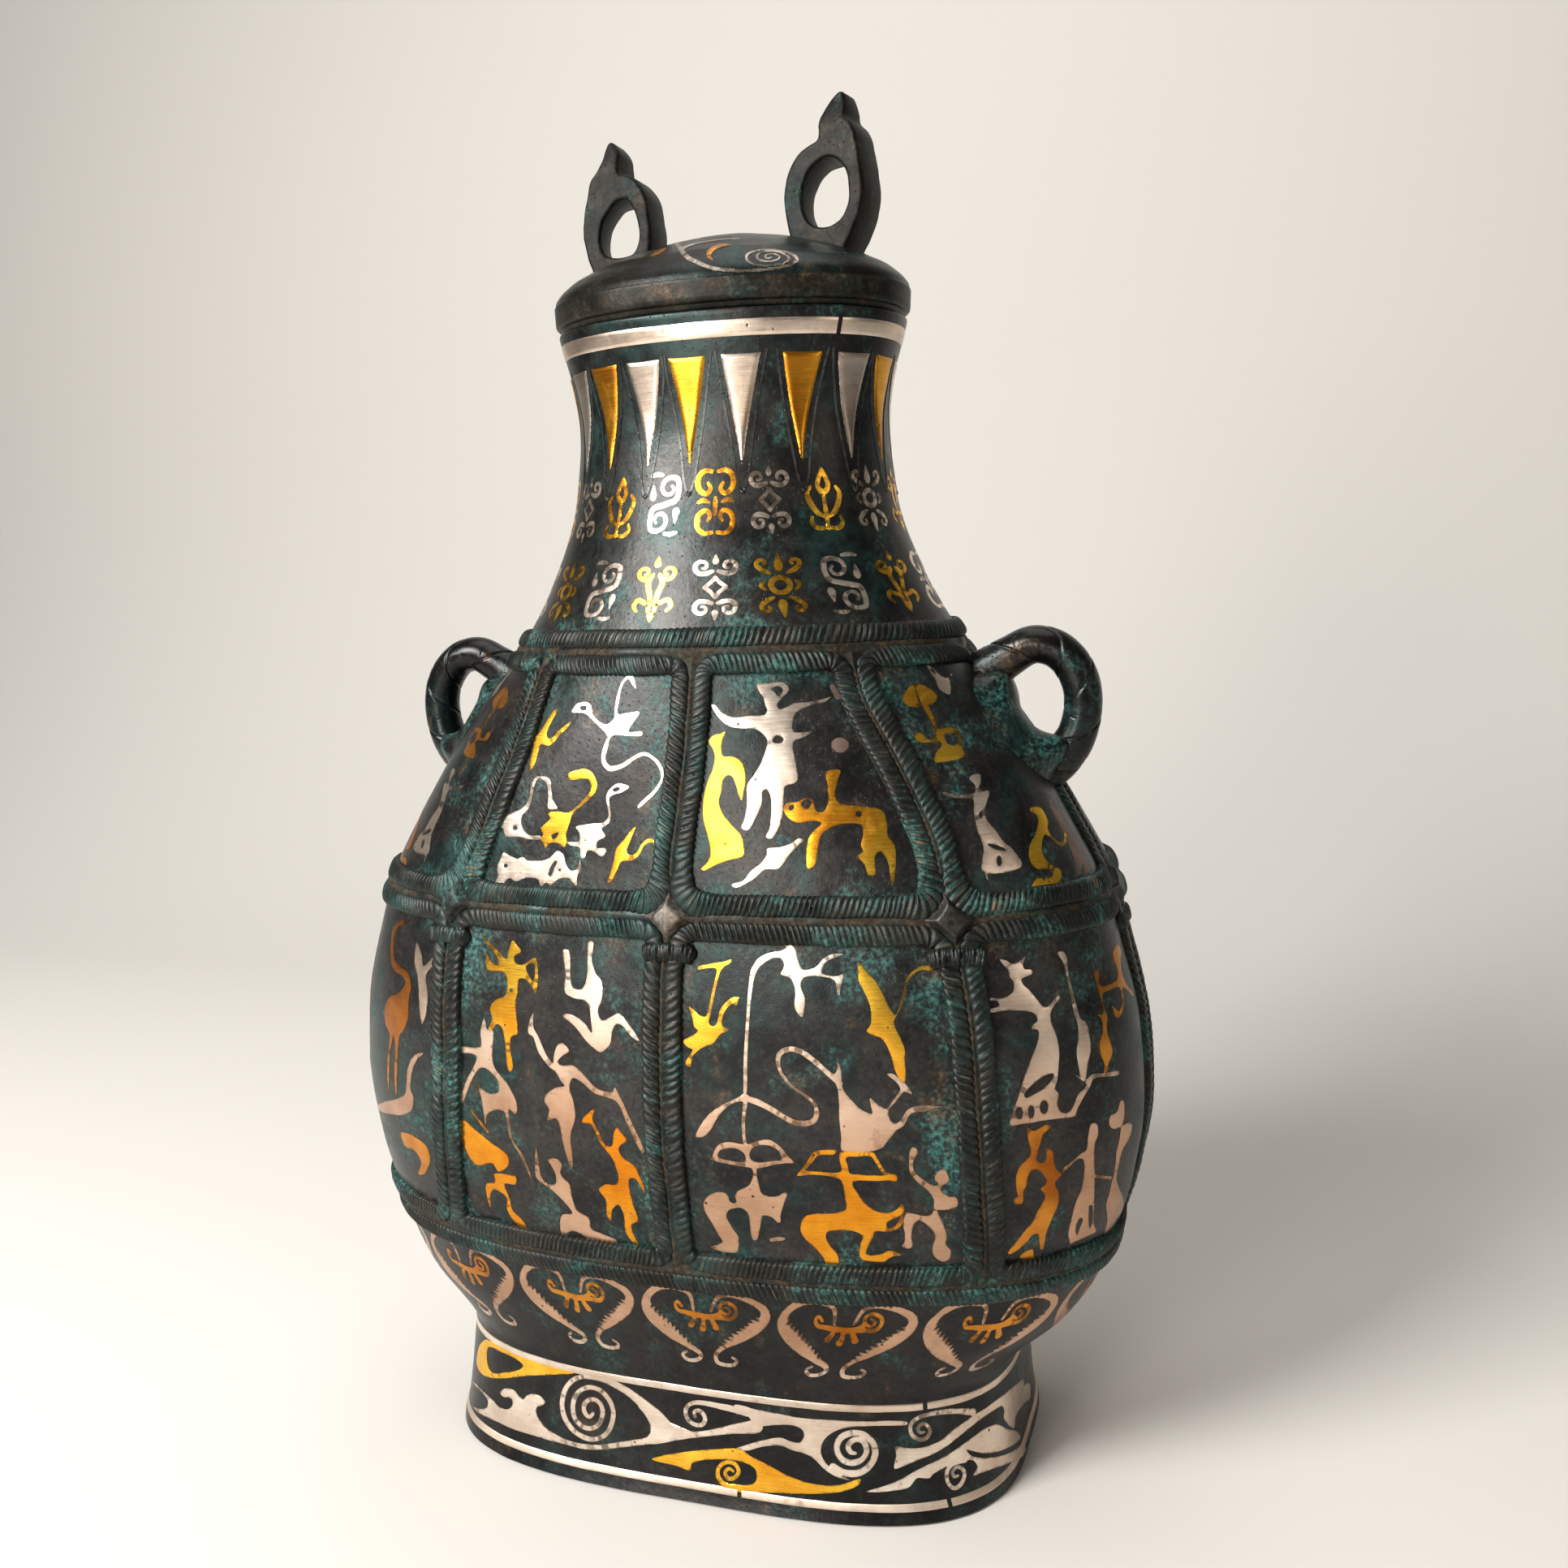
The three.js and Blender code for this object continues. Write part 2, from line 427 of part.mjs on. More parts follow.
// ---------------------------------------------------------------- handles
// middle line of the loop in the plane of the ends: distance from the axis, height, half
// thickness in the plane, half thickness across it
const LOOP = [
  [78, 262.5, 7.2, 7.4], [86, 267.2, 6.9, 7.2], [93.4, 272.0, 6.4, 7.0], [100.6, 275.5, 6.2, 6.8], [107.6, 274.3, 6.2, 6.8],
  [113.2, 269.3, 6.2, 6.8], [116.5, 261.8, 6.2, 6.8], [116.7, 253.2, 6.2, 6.8], [114.2, 244.8, 6.5, 7.0],
  [109.2, 238.6, 7.4, 7.4], [102.6, 234.6, 8.6, 8.2], [94, 232.6, 9.4, 8.8],
];
function handle(side) {
  const rings = [], m = HANDLE_SECTION;
  for (let i = 0; i < LOOP.length; i++) {
    const [x, z, r, w] = LOOP[i];
    const a = LOOP[Math.max(0, i - 1)], b = LOOP[Math.min(LOOP.length - 1, i + 1)];
    let tx = b[0] - a[0], tz = b[1] - a[1];
    const l = Math.hypot(tx, tz); tx /= l; tz /= l;
    const row = [];
    for (let k = 0; k < m; k++) {
      const t = (2 * Math.PI * (k + 0.5)) / m, u = r * Math.cos(t), v = w * Math.sin(t);
      row.push([side * (x - tz * u), v, z + tx * u]);
    }
    rings.push(row);
  }
  const g = loft(rings);
  return fromSolid(solid(side > 0 ? flip(g) : g).subtract(bodyClear));
}
function flip(g) {
  const h = g.clone(), a = h.index.array;
  for (let i = 0; i < a.length; i += 3) { const t = a[i]; a[i] = a[i + 1]; a[i + 1] = t; }
  return h;
}
add('loop_handle_right', handle(1), bronzeDark());
add('loop_handle_left', handle(-1), bronzeDark());

export default root;
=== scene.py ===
# Lidded ritual wine jar of cast bronze with corded straps and silver and gold inlay.
# Lengths in the tables are millimetres in the jar's own frame, turned into metres when the
# meshes are made. s is the arc length round a level section, from the middle of the front.
import bpy
import math
import numpy as np
from mathutils import Vector, Matrix
from mathutils.geometry import delaunay_2d_cdt


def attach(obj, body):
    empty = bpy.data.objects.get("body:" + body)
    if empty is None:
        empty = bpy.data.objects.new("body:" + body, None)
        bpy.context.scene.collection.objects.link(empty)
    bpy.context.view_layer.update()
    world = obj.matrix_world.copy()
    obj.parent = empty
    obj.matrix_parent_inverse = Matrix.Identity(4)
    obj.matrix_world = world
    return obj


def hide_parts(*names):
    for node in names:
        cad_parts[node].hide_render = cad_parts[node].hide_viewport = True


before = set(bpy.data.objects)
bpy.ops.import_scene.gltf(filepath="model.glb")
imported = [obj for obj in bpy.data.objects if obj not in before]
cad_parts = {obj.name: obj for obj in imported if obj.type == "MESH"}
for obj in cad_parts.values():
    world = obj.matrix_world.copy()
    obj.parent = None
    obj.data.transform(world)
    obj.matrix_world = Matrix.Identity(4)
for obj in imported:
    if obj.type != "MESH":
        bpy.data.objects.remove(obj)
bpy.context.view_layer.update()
CAD_NODES = sorted(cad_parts)

# ------------------------------------------------------------------ shape tables
A_Z = [0, 3, 6, 30, 36.4, 40, 44, 50, 58, 70, 84, 105, 130, 155, 180, 198, 220, 245, 262, 278, 300, 325, 350, 362, 373, 378, 381.5]
A_V = [103.8, 103.8, 102.8, 101.0, 100.6, 101.0, 104.0, 110.5, 119.5, 127, 132.5, 138.5, 141.5, 139.7, 133.8, 128.5, 117.5, 103, 91.1, 78.1, 64.8, 55.6, 52.9, 54.2, 57.0, 58.4, 59.2]
B_Z = [0, 6, 36.4, 44, 84, 105, 130, 155, 198, 240, 278, 300, 325, 350, 373, 381.5]
B_V = [66.3, 64.2, 60.4, 61.5, 71.0, 74.5, 76.5, 75.8, 70.2, 63.8, 55.5, 48.5, 40.8, 37.8, 40.2, 41.6]
N_Z = [0, 36.4, 60, 84, 198, 240, 278, 325, 373]
N_V = [3.3, 3.0, 2.7, 2.5, 2.6, 2.3, 2.0, 2.1, 2.2]
XC_Z = [84, 198, 278]
XC_V = [88.5, 82.9, 50.5]
BANDS = [84.0, 198.0, 278.0]
RIM_Z = 381.5
WALL = 4.5
FOOT_WALL = 6.0


def pchip(xs, ys):
    xs = np.asarray(xs, float)
    ys = np.asarray(ys, float)
    h = np.diff(xs)
    d = np.diff(ys) / h
    n = len(xs)
    m = np.zeros(n)
    for i in range(1, n - 1):
        if d[i - 1] * d[i] > 0:
            w1, w2 = 2 * h[i] + h[i - 1], h[i] + 2 * h[i - 1]
            m[i] = (w1 + w2) / (w1 / d[i - 1] + w2 / d[i])

    def edge(h0, h1, d0, d1):
        e = ((2 * h0 + h1) * d0 - h0 * d1) / (h0 + h1)
        if e * d0 <= 0:
            e = 0.0
        elif d0 * d1 <= 0 and abs(e) > 3 * abs(d0):
            e = 3 * d0
        return e

    if n > 2:
        m[0] = edge(h[0], h[1], d[0], d[1])
        m[-1] = edge(h[-1], h[-2], d[-1], d[-2])

    def f(x):
        x = np.clip(np.asarray(x, float), xs[0], xs[-1])
        i = np.clip(np.searchsorted(xs, x, side="right") - 1, 0, n - 2)
        t = (x - xs[i]) / h[i]
        t2, t3 = t * t, t * t * t
        return (2 * t3 - 3 * t2 + 1) * ys[i] + (t3 - 2 * t2 + t) * h[i] * m[i] + (-2 * t3 + 3 * t2) * ys[i + 1] + (t3 - t2) * h[i] * m[i + 1]

    return f


fA, fB, fN, fXC = pchip(A_Z, A_V), pchip(B_Z, B_V), pchip(N_Z, N_V), pchip(XC_Z, XC_V)


def smooth(t):
    c = np.clip(t, 0.0, 1.0)
    return c * c * (3 - 2 * c)


def shift(z):
    return 0.0165 * (z - 130.0) - 1.3 * (1 - smooth((z - 36.0) / 60.0))


# quarter sections resampled at even steps of arc length
ZG = np.arange(0.0, 382.01, 0.5)
KQ = 240
_th = np.linspace(0, math.pi / 2, 900)
QX = np.zeros((len(ZG), KQ + 1))
QY = np.zeros((len(ZG), KQ + 1))
QL = np.zeros(len(ZG))
SC = np.zeros(len(ZG))
for _i, _z in enumerate(ZG):
    _zz = min(_z, RIM_Z)
    _a, _b, _n = float(fA(_zz)), float(fB(_zz)), float(fN(_zz))
    _x, _y = _a * np.sin(_th) ** (2 / _n), -_b * np.cos(_th) ** (2 / _n)
    _s = np.concatenate([[0], np.cumsum(np.hypot(np.diff(_x), np.diff(_y)))])
    QL[_i] = _s[-1]
    _f = np.linspace(0, _s[-1], KQ + 1)
    QX[_i] = np.interp(_f, _s, _x)
    QY[_i] = np.interp(_f, _s, _y)
    _zr = min(max(_z, 84.0), 278.0)
    if 84.0 <= _z <= 278.0:
        SC[_i] = np.interp(float(fXC(_z)), _x, _s) / _s[-1]
SC[ZG < 84.0] = SC[np.searchsorted(ZG, 84.0)]
SC[ZG > 278.0] = SC[np.searchsorted(ZG, 278.0)]


def Lq(z):
    """Arc length of a quarter of the section at height z."""
    return np.interp(z, ZG, QL)


def corner_s(z):
    """Arc length from the middle of the front to the corner strap."""
    return np.interp(z, ZG, SC) * Lq(z)


def base(s, z):
    """Point on the plain outer surface, leaned, for arc length s and height z."""
    s = np.asarray(s, float)
    z = np.asarray(z, float)
    zi = np.clip(z / 0.5, 0, len(ZG) - 1.001)
    i0 = zi.astype(int)
    tz = zi - i0
    L = Lq(z)
    P = 4 * L
    v = np.mod(s, P)
    sx = np.where(v > 2 * L, -1.0, 1.0)
    v = np.where(v > 2 * L, P - v, v)
    sy = np.where(v > L, -1.0, 1.0)
    v = np.where(v > L, 2 * L - v, v)
    fi = np.clip(v / L * KQ, 0, KQ - 1e-6)
    j = fi.astype(int)
    tj = fi - j

    def lerp(Q):
        a = Q[i0, j] * (1 - tj) + Q[i0, j + 1] * tj
        b = Q[i0 + 1, j] * (1 - tj) + Q[i0 + 1, j + 1] * tj
        return a * (1 - tz) + b * tz

    x, y = sx * lerp(QX), sy * lerp(QY)
    return np.stack([x + shift(z), y, z], -1)


def normal(s, z):
    s = np.asarray(s, float)
    z = np.asarray(z, float)
    d = 0.8
    ts = base(s + d, z) - base(s - d, z)
    z0, z1 = np.clip(z - d, 0, RIM_Z), np.clip(z + d, 0, RIM_Z)
    L = Lq(z)
    tz = base(s / L * Lq(z1), z1) - base(s / L * Lq(z0), z0)
    n = np.cross(ts, tz)
    return n / np.maximum(1e-9, np.linalg.norm(n, axis=-1, keepdims=True))


# ------------------------------------------------------------------ seeded noise
def _hash(ix, iy, iz, seed):
    h = (ix.astype(np.int64) * 374761393 + iy.astype(np.int64) * 668265263 + iz.astype(np.int64) * 1274126177 + seed * 974711) & 0xFFFFFFFF
    h = ((h ^ (h >> 13)) * 1274126177) & 0xFFFFFFFF
    h = (h ^ (h >> 16)) & 0xFFFFFFFF
    return h.astype(np.float64) / 4294967295.0


def vnoise(p, size, seed=1):
    q = np.asarray(p, float) / size
    i = np.floor(q).astype(np.int64)
    f = q - i
    f = f * f * (3 - 2 * f)
    out = 0.0
    for dx in (0, 1):
        for dy in (0, 1):
            for dz in (0, 1):
                w = (f[..., 0] if dx else 1 - f[..., 0]) * (f[..., 1] if dy else 1 - f[..., 1]) * (f[..., 2] if dz else 1 - f[..., 2])
                out = out + w * _hash(i[..., 0] + dx, i[..., 1] + dy, i[..., 2] + dz, seed)
    return out


def fbm(p, size, octaves=3, seed=1):
    v, a, t = 0.0, 0.5, 0.0
    for o in range(octaves):
        v = v + a * vnoise(p, size / 2 ** o, seed + 17 * o)
        t += a
        a *= 0.55
    return v / t


def wear(p):
    """How far the cast surface lies under its plain form, in millimetres."""
    x, y, z = p[..., 0], p[..., 1], p[..., 2]
    seat = 2.75 * np.exp(-((np.abs(y) - 1.0) / 15.0) ** 2) * smooth((z - 76) / 14) * smooth((284 - z) / 12) * smooth((np.abs(x) - 55) / 15)
    return 0.42 * fbm(p, 24.0, 3, 5) + 0.12 * fbm(p, 5.0, 2, 9) + seat


def at(s, z, off=0.0):
    """Point at a height off above the worn surface."""
    p = base(s, z)
    n = normal(s, z)
    return p + n * (np.asarray(off) - wear(p))[..., None]


# ------------------------------------------------------------------ mesh helpers
def make(name, verts, faces, mat, body, slot=None, replaces=(), attrs=None, angle=None, smooth_shade=True):
    me = bpy.data.meshes.new(name)
    v = np.asarray(verts, float) / 1000.0
    me.from_pydata(v.tolist(), [], [list(map(int, f)) for f in faces])
    me.validate()
    for key, val in (attrs or {}).items():
        val = np.asarray(val, float)
        if len(me.vertices) != len(val):
            continue
        if val.ndim == 1:
            a = me.attributes.new(key, "FLOAT", "POINT")
            a.data.foreach_set("value", val.astype(np.float32))
        else:
            a = me.attributes.new(key, "FLOAT_VECTOR", "POINT")
            a.data.foreach_set("vector", val.astype(np.float32).ravel())
    if smooth_shade:
        me.shade_smooth()
        if angle:
            me.set_sharp_from_angle(angle=math.radians(angle))
    me.update()
    ob = bpy.data.objects.new(name, me)
    bpy.context.scene.collection.objects.link(ob)
    ob.data.materials.append(mat)
    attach(ob, body)
    if replaces:
        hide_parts(*replaces)
    return ob


def grid_faces(rows, cols, closed=True, flip=False, start=0):
    i = np.arange(rows - 1)[:, None]
    j = np.arange(cols if closed else cols - 1)[None, :]
    a = start + i * cols + j
    b = start + i * cols + (j + 1) % cols
    c = start + (i + 1) * cols + (j + 1) % cols
    d = start + (i + 1) * cols + j
    q = np.stack([a, b, c, d], -1).reshape(-1, 4)
    return q[:, ::-1] if flip else q


def catmull(pts, closed=True, step=0.7, ch=None):
    """Smooth curve through the points, resampled at even steps; extra channels follow."""
    p = np.asarray(pts, float)
    n = len(p)
    if closed:
        q = np.vstack([p[-1], p, p[0], p[1]])
        segs = n
    else:
        q = np.vstack([2 * p[0] - p[1], p, 2 * p[-1] - p[-2]])
        segs = n - 1
    out = []
    for k in range(segs):
        p0, p1, p2, p3 = q[k], q[k + 1], q[k + 2], q[k + 3]
        d = np.linalg.norm((p2 - p1)[:2])
        m = max(1, int(math.ceil(d / step)))
        d01, d23 = np.linalg.norm((p1 - p0)[:2]), np.linalg.norm((p3 - p2)[:2])
        t1 = (p2 - p0) / max(1e-6, d01 + d) * d * (1.0 if d01 > 0 else 0.0)
        t2 = (p3 - p1) / max(1e-6, d23 + d) * d
        for i in range(m):
            t = i / m
            out.append((2 * t ** 3 - 3 * t ** 2 + 1) * p1 + (t ** 3 - 2 * t ** 2 + t) * t1 + (-2 * t ** 3 + 3 * t ** 2) * p2 + (t ** 3 - t ** 2) * t2)
    if not closed:
        out.append(p[-1])
    return np.array(out)


def stroke_poly(pts, step=0.6):
    """Outline of a brush-like stroke: pts are (x, y, width)."""
    c = catmull(pts, closed=False, step=step)
    xy, w = c[:, :2], np.maximum(0.25, c[:, 2]) / 2
    t = np.gradient(xy, axis=0)
    t /= np.maximum(1e-9, np.linalg.norm(t, axis=1, keepdims=True))
    nrm = np.stack([-t[:, 1], t[:, 0]], -1)
    left, right = xy + nrm * w[:, None], xy - nrm * w[:, None]
    cap1 = [xy[-1] + w[-1] * (math.cos(a) * nrm[-1] + math.sin(a) * t[-1]) for a in (0.6, 1.2, 1.9, 2.5)]
    cap0 = [xy[0] + w[0] * (-math.cos(a) * nrm[0] - math.sin(a) * t[0]) for a in (0.6, 1.2, 1.9, 2.5)]
    return np.vstack([left, cap1, right[::-1], cap0])


def winding(px, py, poly):
    """Winding number of many points in one polygon."""
    x0, y0 = poly[:, 0], poly[:, 1]
    x1, y1 = np.roll(x0, -1), np.roll(y0, -1)
    wn = np.zeros(len(px), int)
    for a0, b0, a1, b1 in zip(x0, y0, x1, y1):
        up = (b0 <= py) & (b1 > py)
        dn = (b0 > py) & (b1 <= py)
        if up.any() or dn.any():
            side = (a1 - a0) * (py - b0) - (px - a0) * (b1 - b0)
            wn += (up & (side > 0)).astype(int) - (dn & (side < 0)).astype(int)
    return wn


def seg_dist(p, poly):
    """Distance of many points to a closed polyline."""
    a = poly
    b = np.roll(poly, -1, axis=0)
    best = np.full(len(p), 1e9)
    for k in range(len(a)):
        d = b[k] - a[k]
        l2 = max(1e-12, float(d @ d))
        t = np.clip(((p - a[k]) @ d) / l2, 0, 1)
        best = np.minimum(best, np.linalg.norm(p - (a[k] + t[:, None] * d), axis=1))
    return best


def triangulate(shapes, grid, clear=0.45):
    """Union of shapes, each (outer, holes), as points, triangles and the rim edges."""
    lo = np.min([o.min(0) for o, _ in shapes], 0)
    hi = np.max([o.max(0) for o, _ in shapes], 0)
    verts, edges = [], []
    for o, hs in shapes:
        for ring in [o] + hs:
            k = len(verts)
            verts += [Vector((float(x), float(y))) for x, y in ring]
            edges += [(k + i, k + (i + 1) % len(ring)) for i in range(len(ring))]
    gx = np.arange(lo[0] + grid / 2, hi[0], grid)
    gy = np.arange(lo[1] + grid / 2, hi[1], grid * 0.866)
    if len(gx) and len(gy):
        X, Y = np.meshgrid(gx, gy)
        X = X + (np.arange(len(gy)) % 2)[:, None] * grid / 2
        G = np.stack([X.ravel(), Y.ravel()], -1)
        inside = np.zeros(len(G), bool)
        near = np.full(len(G), 1e9)
        for o, hs in shapes:
            bb = (G[:, 0] > o[:, 0].min() - 1) & (G[:, 0] < o[:, 0].max() + 1) & (G[:, 1] > o[:, 1].min() - 1) & (G[:, 1] < o[:, 1].max() + 1)
            if not bb.any():
                continue
            g = G[bb]
            ins = winding(g[:, 0], g[:, 1], o) != 0
            for h in hs:
                ins &= winding(g[:, 0], g[:, 1], h) == 0
            dd = seg_dist(g, o)
            for h in hs:
                dd = np.minimum(dd, seg_dist(g, h))
            inside[bb] |= ins
            near[bb] = np.minimum(near[bb], dd)
        keep = inside & (near > clear)
        verts += [Vector((float(x), float(y))) for x, y in G[keep]]
    vo, eo, fo, _, _, _ = delaunay_2d_cdt(verts, edges, [], 0, 1e-5)
    V = np.array([[v.x, v.y] for v in vo])
    F = np.array([list(f) for f in fo if len(f) == 3], int)
    C = V[F].mean(1)
    ok = np.zeros(len(F), bool)
    for o, hs in shapes:
        ins = winding(C[:, 0], C[:, 1], o) != 0
        for h in hs:
            ins &= winding(C[:, 0], C[:, 1], h) == 0
        ok |= ins
    a = V[F]
    area = (a[:, 1, 0] - a[:, 0, 0]) * (a[:, 2, 1] - a[:, 0, 1]) - (a[:, 2, 0] - a[:, 0, 0]) * (a[:, 1, 1] - a[:, 0, 1])
    ok &= np.abs(area) > 1e-7
    F, area = F[ok], area[ok]
    F[area < 0] = F[area < 0][:, ::-1]
    used, inv = np.unique(F, return_inverse=True)
    V, F = V[used], inv.reshape(-1, 3)
    E = np.vstack([F[:, [0, 1]], F[:, [1, 2]], F[:, [2, 0]]])
    key = E[:, 0].astype(np.int64) * (len(V) + 1) + E[:, 1]
    rev = E[:, 1].astype(np.int64) * (len(V) + 1) + E[:, 0]
    rim = E[~np.isin(key, rev)]
    return V, F, rim


def shapes_of(entries, xf=None, step=0.7):
    out = []
    for kind, pts, holes in entries:
        if kind == "p":
            o = catmull(pts, True, step)
            hs = [catmull(h, True, step) for h in holes]
        elif kind == "r":
            o, hs = np.array(pts, float), [np.array(h, float) for h in holes]
        else:
            o, hs = stroke_poly(pts, step), []
        if xf:
            o = xf(o)
            hs = [xf(h) for h in hs]
        out.append((o, hs))
    return out


def plate(name, shapes, mat, body, slot, place, top=0.14, low=-0.45, grid=1.3, profile=None, replaces=(), bevel=0.55, angle=50):
    """Closed thin plate following a surface: place(x, y, off) gives its points."""
    V, F, rim = triangulate(shapes, grid)
    n = len(V)
    isrim = np.zeros(n, bool)
    isrim[np.unique(rim)] = True
    if profile is None:
        h = np.where(isrim, top * bevel, top)
    else:
        d = np.full(n, 1e9)
        for r0, r1 in rim:
            e = V[r1] - V[r0]
            l2 = max(1e-12, float(e @ e))
            t = np.clip(((V - V[r0]) @ e) / l2, 0, 1)
            d = np.minimum(d, np.linalg.norm(V - (V[r0] + t[:, None] * e), axis=1))
        h = profile(d, V)
    up = place(V[:, 0], V[:, 1], h)
    dn = place(V[:, 0], V[:, 1], np.full(n, low))
    faces = [tuple(f) for f in F] + [tuple(n + f[::-1]) for f in F]
    for a, b in rim:
        faces.append((b, a, n + a, n + b))
    sz = np.stack([V[:, 0], V[:, 1], np.zeros(n)], -1)
    return make(name, np.vstack([up, dn]), faces, mat, body, slot, replaces,
                {"sz": np.vstack([sz, sz]), "rim": np.concatenate([isrim.astype(float)] * 2)}, angle=angle)


